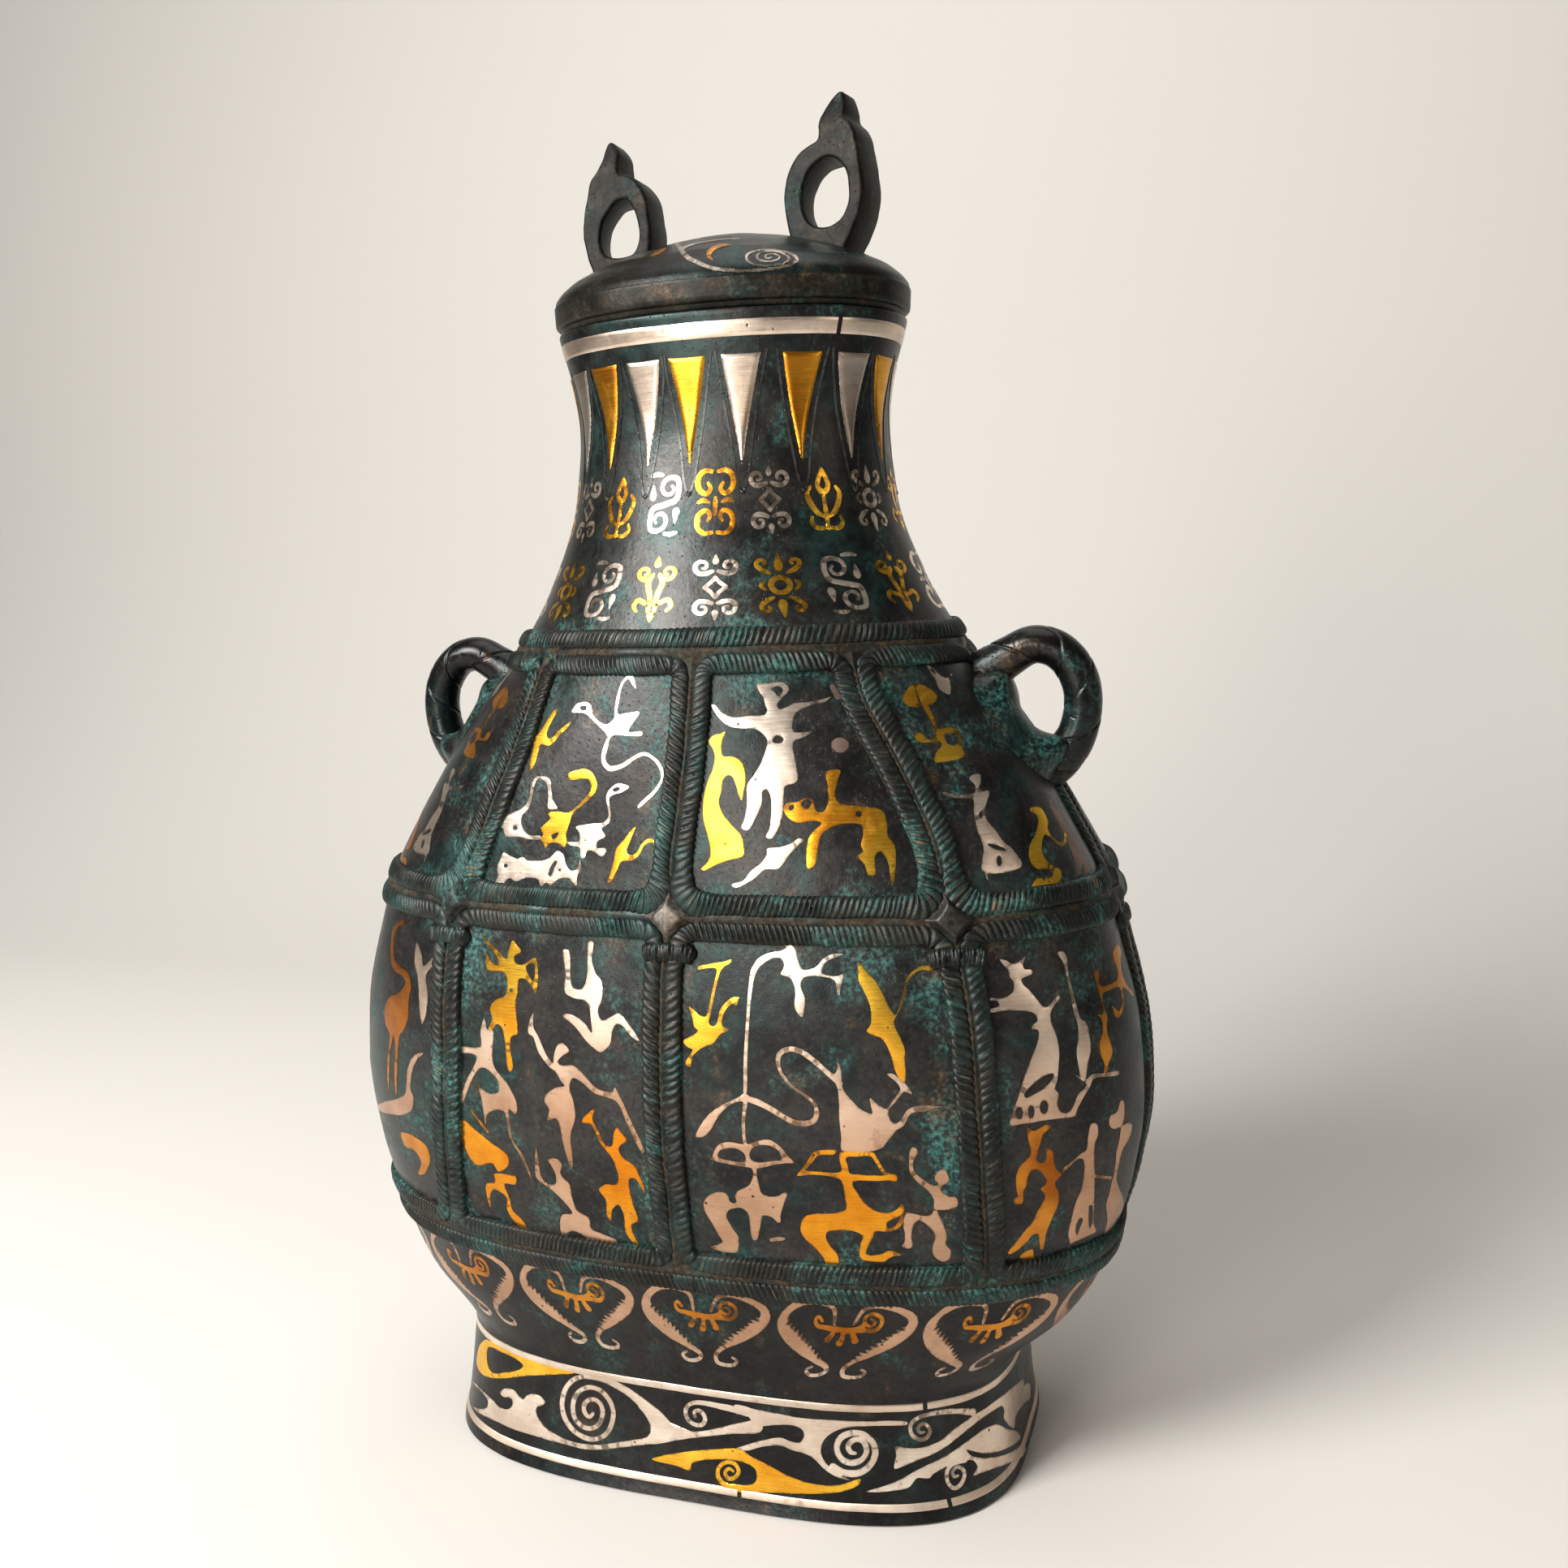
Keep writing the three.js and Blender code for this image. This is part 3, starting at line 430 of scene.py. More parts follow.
# ------------------------------------------------------------------ inlay outlines, arc length and height in millimetres
FIGS = {
    'ulf_s': [
        ('p',[(-36.9,259.7),(-35.5,262.0),(-33.4,262.8),(-31.0,262.8),(-29.4,261.8),(-28.7,259.6),(-26.8,257.7),(-24.3,256.3),(-22.8,256.1),(-21.0,257.1),(-20.1,258.5),(-20.2,261.2),(-19.8,265.0),(-18.7,268.7),(-17.1,270.6),(-15.8,272.2),(-14.4,270.6),(-13.2,267.2),(-14.5,268.2),(-16.1,270.1),(-17.6,269.1),(-18.5,266.9),(-19.0,263.7),(-19.1,259.4),(-15.3,259.7),(-11.5,259.9),(-13.3,256.9),(-14.6,255.0),(-14.9,253.9),(-10.1,254.0),(-10.2,252.8),(-14.8,252.7),(-19.9,252.8),(-21.3,251.8),(-21.9,248.7),(-22.5,245.6),(-21.1,243.7),(-18.6,243.6),(-15.7,244.7),(-12.3,246.8),(-8.9,247.8),(-6.1,246.7),(-3.5,244.5),(-2.4,242.1),(-2.6,239.0),(-4.5,235.8),(-7.5,233.0),(-10.2,230.8),(-10.7,231.2),(-8.9,233.2),(-5.6,236.1),(-3.3,239.3),(-3.2,241.7),(-4.9,244.5),(-7.4,246.4),(-9.5,246.7),(-12.3,245.4),(-16.4,242.8),(-21.0,241.9),(-23.3,243.6),(-24.0,245.6),(-23.7,248.6),(-22.5,252.1),(-23.3,253.7),(-26.6,256.2),(-30.0,258.6),(-32.1,259.5)],[[(-33.7,261.4),(-31.2,261.7),(-31.0,260.5),(-33.1,260.4)]]),
        ('p',[(-62.3,223.9),(-58.4,227.1),(-54.4,228.7),(-51.5,230.6),(-50.5,233.2),(-50.0,237.1),(-48.7,239.2),(-46.6,239.6),(-42.9,238.8),(-41.8,234.9),(-41.0,232.3),(-39.2,229.9),(-42.7,229.8),(-42.9,233.5),(-43.9,237.3),(-46.1,238.8),(-47.8,238.6),(-48.9,236.5),(-49.4,232.7),(-50.5,229.4),(-52.8,227.0),(-53.0,224.8),(-51.9,222.6),(-49.3,221.1),(-45.1,221.1),(-44.7,220.1),(-49.2,219.9),(-54.2,220.3),(-59.4,220.3),(-60.4,222.5),(-61.8,223.0)],[[(-54.4,223.1),(-54.6,222.6),(-55.3,222.3),(-56.0,222.5),(-56.4,223.0),(-56.2,223.6),(-55.5,223.8),(-54.7,223.6)]]),
        ('p',[(-13.7,237.2),(-15.4,238.0),(-17.9,238.1),(-20.3,236.5),(-21.5,234.2),(-20.8,230.5),(-20.5,228.0),(-22.0,226.2),(-26.4,225.6),(-31.9,224.5),(-30.6,222.6),(-30.4,220.1),(-35.0,219.6),(-33.5,218.7),(-30.4,218.2),(-29.6,215.0),(-28.3,215.1),(-27.5,217.3),(-25.3,217.2),(-22.4,215.6),(-20.7,217.6),(-21.0,218.3),(-24.2,218.4),(-24.0,220.3),(-21.3,222.0),(-22.7,224.2),(-20.2,226.1),(-19.7,228.6),(-20.1,231.1),(-20.4,233.7),(-18.8,234.8),(-16.0,235.6)],[[(-19.5,236.2),(-17.5,237.2),(-16.8,236.4),(-18.5,235.6)]]),
        ('p',[(-59.4,215.1),(-56.9,214.4),(-53.5,213.6),(-51.5,214.3),(-49.4,213.3),(-43.1,213.7),(-40.1,215.3),(-38.3,216.7),(-35.9,215.5),(-35.1,212.9),(-33.1,211.0),(-30.9,211.5),(-30.0,214.3),(-29.6,211.9),(-30.8,208.7),(-30.9,206.4),(-32.3,207.3),(-33.8,208.5),(-37.5,208.0),(-40.4,205.9),(-42.0,206.7),(-43.9,205.6),(-45.1,207.6),(-49.9,207.7),(-53.8,206.4),(-56.3,207.3),(-59.5,204.8),(-62.1,205.2),(-61.0,207.6),(-61.6,210.1),(-60.6,212.8)],[[(-57.2,211.2),(-57.4,210.7),(-58.0,210.4),(-58.7,210.6),(-58.9,211.1),(-58.7,211.5),(-58.1,211.8),(-57.5,211.6)],[(-41.3,209.2),(-40.8,211.2),(-39.1,213.6),(-38.2,213.4),(-39.3,211.0),(-40.4,208.7)],[(-36.7,210.9),(-36.8,210.6),(-37.2,210.4),(-37.6,210.6),(-37.7,210.9),(-37.6,211.2),(-37.2,211.3),(-36.8,211.2)]]),
    ],
    'ulf_g': [
        ('p',[(-43.0,260.7),(-44.8,259.9),(-47.2,256.6),(-49.2,253.4),(-51.5,251.0),(-51.3,247.9),(-51.8,243.4),(-51.2,241.1),(-50.0,242.8),(-48.8,246.7),(-48.0,249.3),(-44.8,249.1),(-42.5,250.4),(-40.7,252.6),(-38.0,254.6),(-36.7,256.7),(-39.1,255.3),(-41.3,253.9),(-43.2,252.0),(-45.2,251.3),(-46.2,252.8),(-45.2,255.8),(-43.2,259.3)],[]),
        ('p',[(-35.8,240.8),(-32.6,241.9),(-30.0,242.4),(-27.6,241.7),(-25.8,239.8),(-25.0,237.9),(-25.5,235.4),(-27.1,233.6),(-29.6,231.5),(-32.2,229.5),(-33.6,227.9),(-34.2,225.7),(-34.9,223.8),(-35.5,221.3),(-35.0,220.3),(-35.7,218.0),(-37.6,218.9),(-40.0,219.4),(-41.8,218.7),(-43.0,217.5),(-43.6,218.9),(-45.0,220.1),(-44.0,221.7),(-45.0,223.4),(-43.1,225.3),(-41.6,226.6),(-42.5,228.3),(-39.0,228.9),(-34.8,228.8),(-31.9,230.8),(-29.0,233.5),(-27.2,235.7),(-27.1,237.5),(-28.3,239.1),(-30.9,239.4),(-33.9,238.8),(-35.5,239.2)],[[(-40.9,221.5),(-38.2,222.4),(-38.9,221.0),(-40.2,220.3)]]),
        ('p',[(-11.0,225.0),(-12.4,224.1),(-14.7,221.2),(-17.5,218.0),(-18.0,214.9),(-19.3,210.4),(-20.0,207.9),(-19.0,207.9),(-16.9,211.7),(-15.5,214.3),(-11.7,214.9),(-9.4,216.7),(-8.1,219.3),(-6.0,220.5),(-3.3,220.0),(-4.7,221.3),(-6.7,221.6),(-8.8,219.8),(-10.4,217.3),(-12.5,216.4),(-13.8,217.6),(-12.9,220.1),(-11.7,223.2)],[]),
    ],
    'urf_s': [
        ('p',[(26.1,268.0),(29.6,268.1),(33.3,268.4),(35.2,267.5),(36.0,266.0),(34.5,264.2),(32.8,262.1),(33.2,260.6),(35.1,260.8),(37.5,262.0),(42.4,262.3),(47.4,263.2),(48.9,263.7),(47.4,262.3),(43.7,261.5),(40.1,260.2),(38.3,258.6),(37.7,254.8),(38.4,253.6),(41.2,253.5),(43.9,253.7),(41.9,252.3),(38.5,250.8),(38.3,248.7),(39.6,243.9),(40.2,239.7),(39.2,238.6),(36.7,237.9),(36.2,236.1),(36.3,231.3),(35.7,227.0),(34.6,224.6),(33.0,222.3),(31.3,222.8),(32.3,225.2),(32.7,230.1),(32.3,234.9),(30.8,237.0),(29.6,236.1),(29.5,232.5),(27.4,227.6),(25.5,224.8),(23.6,225.5),(24.5,228.2),(25.1,233.1),(24.9,238.0),(26.8,241.0),(28.9,244.7),(30.2,248.9),(30.4,251.3),(28.7,253.4),(26.1,254.8),(22.2,254.9),(18.3,255.7),(15.3,257.8),(12.1,261.9),(13.2,262.1),(16.2,259.4),(19.5,258.2),(24.6,258.6),(29.0,258.8),(29.8,260.0),(29.1,261.6),(28.5,263.7),(26.9,265.9)],[[(30.4,266.4),(32.4,267.3),(33.9,266.6),(34.1,265.4),(33.0,264.2),(31.6,265.5)],[(31.8,251.2),(33.1,252.7),(35.2,251.8),(34.8,250.6),(32.6,250.5)]]),
        ('p',[(21.0,208.5),(24.8,209.8),(26.7,212.3),(30.4,215.5),(31.8,217.6),(31.9,219.4),(36.0,219.9),(39.1,221.0),(41.5,222.5),(42.8,221.9),(41.0,220.1),(38.6,217.4),(35.6,213.7),(31.1,213.1),(27.7,210.2),(22.3,207.6)],[]),
    ],
    'urf_g': [
        ('p',[(17.1,254.0),(16.3,251.5),(16.1,249.0),(16.9,246.8),(20.2,246.5),(22.8,244.9),(23.9,242.2),(24.2,238.6),(23.8,236.1),(23.3,233.6),(22.3,235.5),(21.5,238.0),(20.1,240.7),(18.5,241.1),(17.2,239.8),(16.7,236.1),(16.0,233.0),(17.7,229.3),(20.7,226.0),(23.4,223.3),(24.4,220.3),(24.3,217.2),(20.1,215.9),(15.5,214.2),(12.3,212.5),(11.2,212.9),(13.2,215.1),(14.1,217.6),(13.3,221.9),(11.4,228.0),(11.2,234.2),(12.3,239.1),(13.8,242.8),(14.3,246.5),(13.5,249.0),(12.1,251.1),(13.6,252.9),(15.8,253.4)],[]),
        ('p',[(36.4,231.3),(37.3,232.8),(40.4,233.1),(42.9,234.2),(45.0,233.9),(45.8,231.2),(46.8,230.1),(48.6,230.3),(49.7,232.9),(49.4,237.7),(48.7,241.9),(52.9,242.1),(52.2,238.9),(51.7,235.3),(52.8,232.9),(55.3,232.0),(59.6,231.5),(64.5,230.8),(66.7,229.3),(67.7,226.1),(67.9,223.1),(69.8,220.7),(70.6,217.1),(70.5,212.4),(70.0,208.3),(69.4,209.5),(68.5,214.8),(66.0,218.4),(64.5,216.9),(64.7,211.9),(62.6,211.6),(61.2,214.9),(59.3,217.3),(60.8,218.5),(60.1,220.3),(60.6,223.8),(59.8,226.2),(55.5,226.6),(51.3,225.7),(48.3,223.7),(47.5,220.4),(46.5,214.7),(44.4,213.7),(43.9,218.0),(44.3,222.2),(45.8,224.6),(47.9,226.7),(46.3,227.6),(40.7,227.1),(37.5,228.9)],[[(37.9,231.5),(39.2,232.4),(39.6,231.3),(38.3,230.6)],[(41.6,232.7),(43.2,233.9),(44.7,233.0),(43.9,231.2),(42.4,231.5)],[(60.0,229.3),(59.8,228.8),(59.4,228.6),(58.8,228.6),(58.3,228.9),(58.1,229.4),(58.2,229.8),(58.7,230.1),(59.3,230.1),(59.8,229.8)]]),
    ],
    'urf_c': [
        ('p',[(55.1,249.3),(55.0,248.5),(54.4,247.8),(53.6,247.3),(52.6,247.2),(51.5,247.4),(50.6,247.9),(50.0,248.6),(49.8,249.5),(49.9,250.3),(50.4,251.0),(51.3,251.5),(52.3,251.6),(53.3,251.4),(54.2,250.9),(54.9,250.2)],[]),
        ('p',[(48.2,266.8),(49.1,267.4),(50.7,265.5),(51.9,263.1),(50.7,262.6),(49.3,264.8)],[]),
    ],
    'ue_g': [
        ('p',[(71.1,261.8),(72.1,264.1),(75.3,266.3),(79.5,265.2),(83.0,262.7),(82.9,261.1),(81.0,259.6),(79.9,259.6),(81.6,256.5),(82.8,252.9),(86.8,252.9),(90.0,251.8),(91.0,248.7),(91.0,246.4),(91.9,244.7),(89.1,243.6),(83.7,243.1),(81.6,243.5),(82.0,245.8),(84.1,248.0),(83.1,249.0),(79.0,249.0),(76.4,249.4),(75.1,251.0),(76.1,252.1),(77.4,252.0),(79.0,250.1),(81.4,250.0),(82.1,251.7),(80.8,254.7),(78.5,258.5),(77.5,259.9),(76.1,259.3),(73.0,260.0)],[[(85.2,250.9),(88.8,251.1),(90.1,249.4),(88.6,247.6),(85.8,248.5)],[(75.4,265.5),(75.8,264.0),(76.8,261.9),(77.4,260.2),(76.8,260.5),(75.9,262.9)]]),
        ('p',[(114.8,227.3),(116.9,227.7),(119.6,227.4),(120.7,226.6),(121.8,224.8),(122.5,223.0),(121.6,221.3),(122.0,219.8),(123.6,218.2),(126.1,216.7),(128.3,216.6),(130.1,218.3),(130.1,220.2),(129.9,220.9),(131.7,219.0),(131.2,217.2),(129.3,215.6),(126.9,215.4),(124.3,216.7),(121.6,218.7),(119.9,219.4),(118.5,218.4),(117.8,216.2),(118.1,214.3),(119.5,212.2),(121.7,210.6),(124.4,209.3),(124.7,207.4),(123.4,205.9),(119.3,205.8),(114.3,205.9),(112.8,205.7),(113.8,207.3),(115.4,208.0),(118.8,207.6),(121.0,208.3),(120.5,209.6),(117.8,210.1),(114.7,210.7),(113.0,212.5),(112.5,214.9),(113.3,217.6),(115.2,219.7),(116.6,221.4),(117.8,223.6),(117.4,225.3),(115.4,226.3)],[]),
    ],
    'ue_s': [
        ('p',[(92.9,237.8),(94.0,238.9),(96.9,238.7),(96.7,236.1),(96.1,234.9),(97.2,233.9),(99.0,234.1),(99.9,233.5),(99.4,232.5),(98.2,229.8),(97.8,227.7),(98.6,225.6),(101.3,222.5),(104.0,219.0),(106.2,217.4),(108.1,215.4),(109.5,213.4),(109.7,211.9),(108.2,211.2),(105.4,210.7),(101.0,210.6),(98.3,210.6),(98.6,208.9),(98.1,209.2),(97.6,210.9),(96.5,212.1),(96.8,214.9),(97.2,217.7),(96.3,220.6),(95.2,223.0),(94.5,225.9),(94.2,228.7),(94.3,230.8),(93.8,232.1),(89.4,232.6),(85.7,233.3),(84.1,234.4),(84.9,234.6),(88.3,233.6),(93.8,233.4),(94.9,234.1),(94.7,235.8),(93.6,237.0)],[[(97.0,227.3),(96.8,226.8),(96.5,226.5),(96.1,226.5),(95.9,226.9),(95.8,227.4),(95.9,227.9),(96.2,228.2),(96.6,228.2),(96.9,227.9)],[(98.4,219.0),(100.1,218.9),(104.2,217.3),(104.5,216.6),(102.8,216.9),(99.5,218.0)],[(103.0,214.0),(102.9,213.2),(102.5,212.7),(102.1,212.6),(101.7,212.8),(101.4,213.4),(101.3,214.1),(101.4,214.8),(101.7,215.3),(102.2,215.5),(102.6,215.2),(102.9,214.7)]]),
        ('p',[(79.6,272.2),(82.3,270.6),(85.2,268.2),(87.8,267.3),(90.4,268.9),(94.8,269.6),(95.0,269.1),(91.6,267.8),(89.3,266.2),(88.2,262.4),(86.3,262.7),(83.9,264.4),(83.2,266.4),(81.4,269.4)],[]),
    ],
    'llf_g': [
        ('p',[(-67.1,188.7),(-64.4,185.8),(-59.9,182.1),(-59.2,179.9),(-61.5,179.9),(-63.0,181.1),(-64.2,183.0),(-64.1,178.1),(-61.7,177.5),(-57.1,177.5),(-55.4,173.6),(-56.3,170.2),(-60.4,168.2),(-62.3,165.5),(-61.3,162.2),(-63.0,158.3),(-62.0,158.0),(-59.3,160.8),(-57.2,159.4),(-56.1,153.5),(-55.7,147.2),(-54.8,145.5),(-53.5,147.0),(-54.3,153.7),(-53.7,157.2),(-51.2,158.7),(-52.1,167.3),(-51.3,172.4),(-51.0,176.0),(-47.9,175.8),(-44.3,172.1),(-44.8,182.8),(-49.7,180.6),(-52.5,180.8),(-53.2,182.7),(-50.6,184.6),(-52.4,186.5),(-54.0,187.8),(-55.4,185.0),(-56.2,181.7),(-59.4,183.8)],[[(-48.6,179.9),(-45.3,181.3),(-45.5,175.7)],[(-53.2,172.2),(-53.4,171.7),(-53.9,171.5),(-54.4,171.6),(-54.6,172.1),(-54.4,172.6),(-53.9,172.8),(-53.4,172.7)]]),
        ('p',[(-23.9,136.6),(-27.6,133.7),(-28.2,132.0),(-25.0,131.5),(-22.1,125.7),(-18.3,120.9),(-17.2,117.6),(-16.6,114.9),(-17.7,112.1),(-21.4,111.6),(-23.9,109.5),(-21.9,106.1),(-22.0,100.6),(-20.8,98.9),(-20.0,102.7),(-17.5,104.9),(-16.0,101.4),(-16.1,95.7),(-14.3,92.2),(-11.4,90.2),(-13.2,94.3),(-13.6,98.0),(-11.1,100.2),(-12.1,104.7),(-13.0,109.9),(-13.0,114.4),(-10.8,114.7),(-8.0,110.1),(-8.6,114.1),(-10.9,119.1),(-14.3,121.4),(-15.9,123.8),(-15.3,125.6),(-12.8,127.7),(-14.7,129.9),(-16.1,131.5),(-17.4,128.8),(-18.0,125.3),(-20.3,125.1),(-22.4,129.2),(-24.5,133.2)],[]),
        ('p',[(-76.1,126.3),(-77.4,120.5),(-72.0,110.8),(-64.4,112.6),(-62.1,110.2),(-58.0,112.8),(-57.5,116.6),(-62.5,119.5),(-67.6,122.2)],[]),
        ('p',[(-63.9,109.0),(-55.3,109.5),(-55.7,106.6),(-60.0,105.9),(-58.7,100.4),(-58.2,96.6),(-54.5,93.5),(-52.6,89.4),(-57.0,91.0),(-60.4,96.2),(-60.1,101.1),(-64.7,103.1),(-66.8,100.9),(-67.7,95.8),(-68.6,99.4),(-68.0,104.4),(-64.3,106.0)],[]),
        ('s',[(-71.3,130.2,0.72),(-68.1,127.0,0.92),(-65.0,123.8,1.0)],[]),
    ],
    'llf_s': [
        ('p',[(-35.0,186.1),(-33.1,186.2),(-32.4,184.2),(-31.9,177.1),(-30.9,174.8),(-28.1,174.5),(-26.4,177.4),(-26.2,185.4),(-26.3,189.0),(-25.0,189.7),(-24.3,188.7),(-24.8,183.9),(-23.3,180.0),(-21.0,177.0),(-20.8,172.2),(-22.1,168.1),(-20.7,165.4),(-18.0,166.4),(-15.0,167.8),(-12.3,165.6),(-7.9,159.9),(-10.5,160.9),(-13.5,163.9),(-15.7,164.5),(-17.1,162.1),(-18.0,157.9),(-21.2,155.2),(-23.4,156.3),(-26.5,158.8),(-30.1,162.7),(-34.4,165.6),(-33.0,166.5),(-29.3,165.6),(-26.1,163.4),(-24.2,161.1),(-24.3,163.9),(-25.2,169.5),(-26.6,171.0),(-30.3,171.5),(-33.6,172.9),(-34.1,175.3),(-33.8,178.6)],[]),
        ('p',[(-64.5,162.3),(-63.5,158.6),(-60.9,158.2),(-61.5,150.3),(-60.7,146.1),(-56.7,142.3),(-53.8,138.4),(-52.2,134.3),(-53.1,131.6),(-55.6,133.0),(-55.4,127.8),(-54.8,122.6),(-51.3,117.6),(-48.4,108.3),(-52.6,117.5),(-56.1,123.8),(-57.2,131.5),(-60.0,132.1),(-64.7,129.9),(-65.5,126.3),(-66.6,134.1),(-67.4,138.3),(-62.7,137.2),(-59.4,138.5),(-60.3,142.8),(-64.9,145.6),(-67.7,144.4),(-71.2,139.5),(-75.1,131.8),(-77.5,130.5),(-72.9,140.1),(-69.8,144.9),(-68.1,148.7),(-70.2,149.6),(-77.1,149.1),(-77.9,151.1),(-66.8,152.2),(-65.9,154.1),(-66.2,157.5)],[]),
        ('p',[(-45.3,165.5),(-46.7,162.9),(-47.2,159.1),(-45.3,158.0),(-43.5,153.2),(-39.7,148.9),(-37.4,147.4),(-35.6,144.7),(-34.3,143.2),(-37.1,142.4),(-41.0,139.9),(-41.9,137.3),(-40.2,134.9),(-40.9,131.1),(-37.9,132.2),(-36.6,130.2),(-35.6,124.2),(-33.5,115.6),(-32.5,117.5),(-32.6,127.2),(-30.7,133.4),(-31.2,138.4),(-32.4,142.5),(-31.4,146.0),(-28.7,145.4),(-23.2,141.7),(-16.1,139.9),(-12.8,133.5),(-7.9,123.8),(-7.0,124.7),(-11.0,133.7),(-15.2,142.4),(-16.5,144.4),(-17.4,142.7),(-23.2,143.8),(-28.6,148.8),(-31.3,150.2),(-35.0,149.8),(-36.4,150.9),(-34.9,152.8),(-32.2,154.7),(-34.4,157.0),(-36.3,156.4),(-37.8,152.9),(-38.3,150.3),(-40.6,152.6),(-43.4,158.2),(-45.3,161.3)],[]),
        ('p',[(-46.0,121.1),(-47.1,110.8),(-44.4,108.5),(-40.7,106.3),(-37.2,103.1),(-34.7,99.7),(-38.7,98.2),(-40.0,93.1),(-39.2,88.4),(-37.7,91.6),(-35.2,92.9),(-31.9,92.0),(-29.3,90.0),(-23.7,89.9),(-20.0,90.0),(-19.7,91.9),(-25.1,93.6),(-28.2,95.0),(-28.7,98.7),(-32.7,100.9),(-34.1,105.4),(-34.5,109.9),(-37.6,113.2),(-36.7,116.9),(-38.9,118.4),(-41.9,117.6),(-41.1,116.3),(-39.5,112.9),(-39.8,109.6),(-42.4,108.8),(-45.1,111.1),(-45.5,116.6)],[]),
    ],
    'le2_g': [
        ('p',[(-107.3,188.7),(-105.3,187.6),(-111.7,185.3),(-113.3,180.4),(-111.3,174.8),(-105.7,173.0),(-101.3,171.6),(-99.5,167.3),(-100.6,163.1),(-101.0,156.7),(-104.1,151.7),(-106.3,150.1),(-108.5,139.7),(-110.6,126.5),(-111.3,133.3),(-109.8,145.2),(-110.7,148.9),(-113.5,141.5),(-116.5,127.6),(-116.3,137.9),(-113.7,148.6),(-116.9,151.6),(-117.1,157.8),(-113.1,161.9),(-106.4,164.8),(-103.0,168.6),(-105.9,170.3),(-111.9,171.4),(-114.5,173.9),(-116.6,181.2),(-114.8,185.6)],[]),
        ('p',[(-111.2,113.4),(-102.8,114.5),(-95.7,112.6),(-94.5,108.0),(-98.3,101.7),(-103.4,99.6),(-100.2,105.3),(-103.3,108.8),(-109.8,108.8)],[]),
    ],
    'le2_s': [
        ('p',[(-97.7,182.6),(-94.6,179.3),(-93.3,175.5),(-89.6,178.1),(-85.4,181.5),(-84.5,180.6),(-88.2,176.2),(-91.7,172.5),(-90.5,166.6),(-91.2,159.7),(-93.3,156.1),(-94.6,161.9),(-96.0,171.1),(-98.4,176.1)],[]),
        ('p',[(-92.9,146.2),(-96.5,143.3),(-99.6,138.2),(-101.0,132.2),(-99.4,129.7),(-101.6,124.5),(-107.9,121.1),(-119.3,118.3),(-138.1,114.8),(-122.5,122.0),(-110.6,126.5),(-104.7,129.6),(-103.3,133.7),(-101.9,139.4),(-97.8,144.7)],[]),
    ],
    'lrf_g': [
        ('p',[(11.0,183.6),(14.6,184.5),(17.3,185.1),(19.3,185.4),(21.6,186.2),(21.4,185.3),(19.4,184.0),(18.3,182.6),(17.8,181.2),(16.6,175.7),(15.4,169.2),(14.9,167.2),(15.5,166.1),(16.8,166.1),(17.8,167.6),(18.3,170.4),(19.6,172.6),(21.3,174.3),(23.1,175.1),(24.6,174.9),(24.1,174.4),(24.1,173.3),(23.6,172.6),(22.8,173.0),(21.8,172.7),(20.5,171.4),(19.6,169.7),(19.1,167.4),(19.7,165.8),(21.5,165.3),(18.6,163.4),(16.3,160.7),(13.5,159.4),(11.7,158.3),(9.6,156.0),(9.1,153.0),(7.7,153.3),(7.4,154.4),(8.4,156.0),(9.8,158.3),(8.4,158.9),(7.0,159.9),(6.8,161.0),(8.4,162.0),(10.9,163.6),(11.3,164.4),(10.3,165.2),(9.7,167.4),(8.9,170.0),(8.4,171.4),(10.0,170.5),(12.0,169.0),(13.8,168.7),(14.5,169.8),(15.3,173.8),(16.5,179.6),(17.1,182.4),(16.6,183.3),(14.6,183.4),(11.2,182.7)],[]),
        ('p',[(60.4,186.5),(61.9,185.1),(63.7,183.1),(66.2,180.3),(68.1,177.2),(69.6,174.1),(70.9,172.0),(72.1,171.0),(73.4,174.8),(74.2,178.6),(75.0,181.7),(76.3,183.4),(78.7,185.0),(81.1,185.3),(82.9,184.6),(81.9,183.9),(79.1,184.0),(76.7,182.7),(75.3,180.6),(74.7,177.2),(73.7,173.7),(72.1,170.6),(71.5,169.2),(72.2,166.8),(73.7,164.0),(74.9,160.8),(75.0,157.3),(75.2,153.0),(74.7,150.7),(73.1,152.6),(72.0,155.1),(71.0,158.7),(69.5,162.2),(67.7,164.3),(65.3,165.2),(63.5,166.3),(64.7,168.2),(64.8,171.3),(64.0,174.8),(62.1,178.6),(60.8,181.0),(60.5,183.8)],[]),
        ('p',[(42.3,120.8),(43.9,123.2),(45.8,126.0),(47.3,128.4),(49.2,129.5),(54.6,129.7),(53.9,128.3),(50.6,128.0),(48.8,127.7),(47.3,125.7),(45.5,123.7),(45.0,122.7),(49.0,122.5),(54.1,122.4),(55.9,123.1),(55.7,125.4),(55.3,127.3),(56.0,129.2),(61.4,129.4),(65.7,129.3),(66.7,127.6),(68.4,124.6),(69.4,123.1),(72.3,122.2),(72.4,120.3),(69.7,120.4),(64.7,120.1),(61.2,120.2),(59.0,119.7),(56.5,119.6),(54.7,120.7),(50.4,121.4),(46.0,121.4)],[[(57.4,127.4),(61.4,127.9),(64.9,128.0),(66.3,126.1),(68.0,123.1),(68.7,122.1),(64.8,122.0),(60.5,122.1),(58.4,122.4),(57.9,124.7)]]),
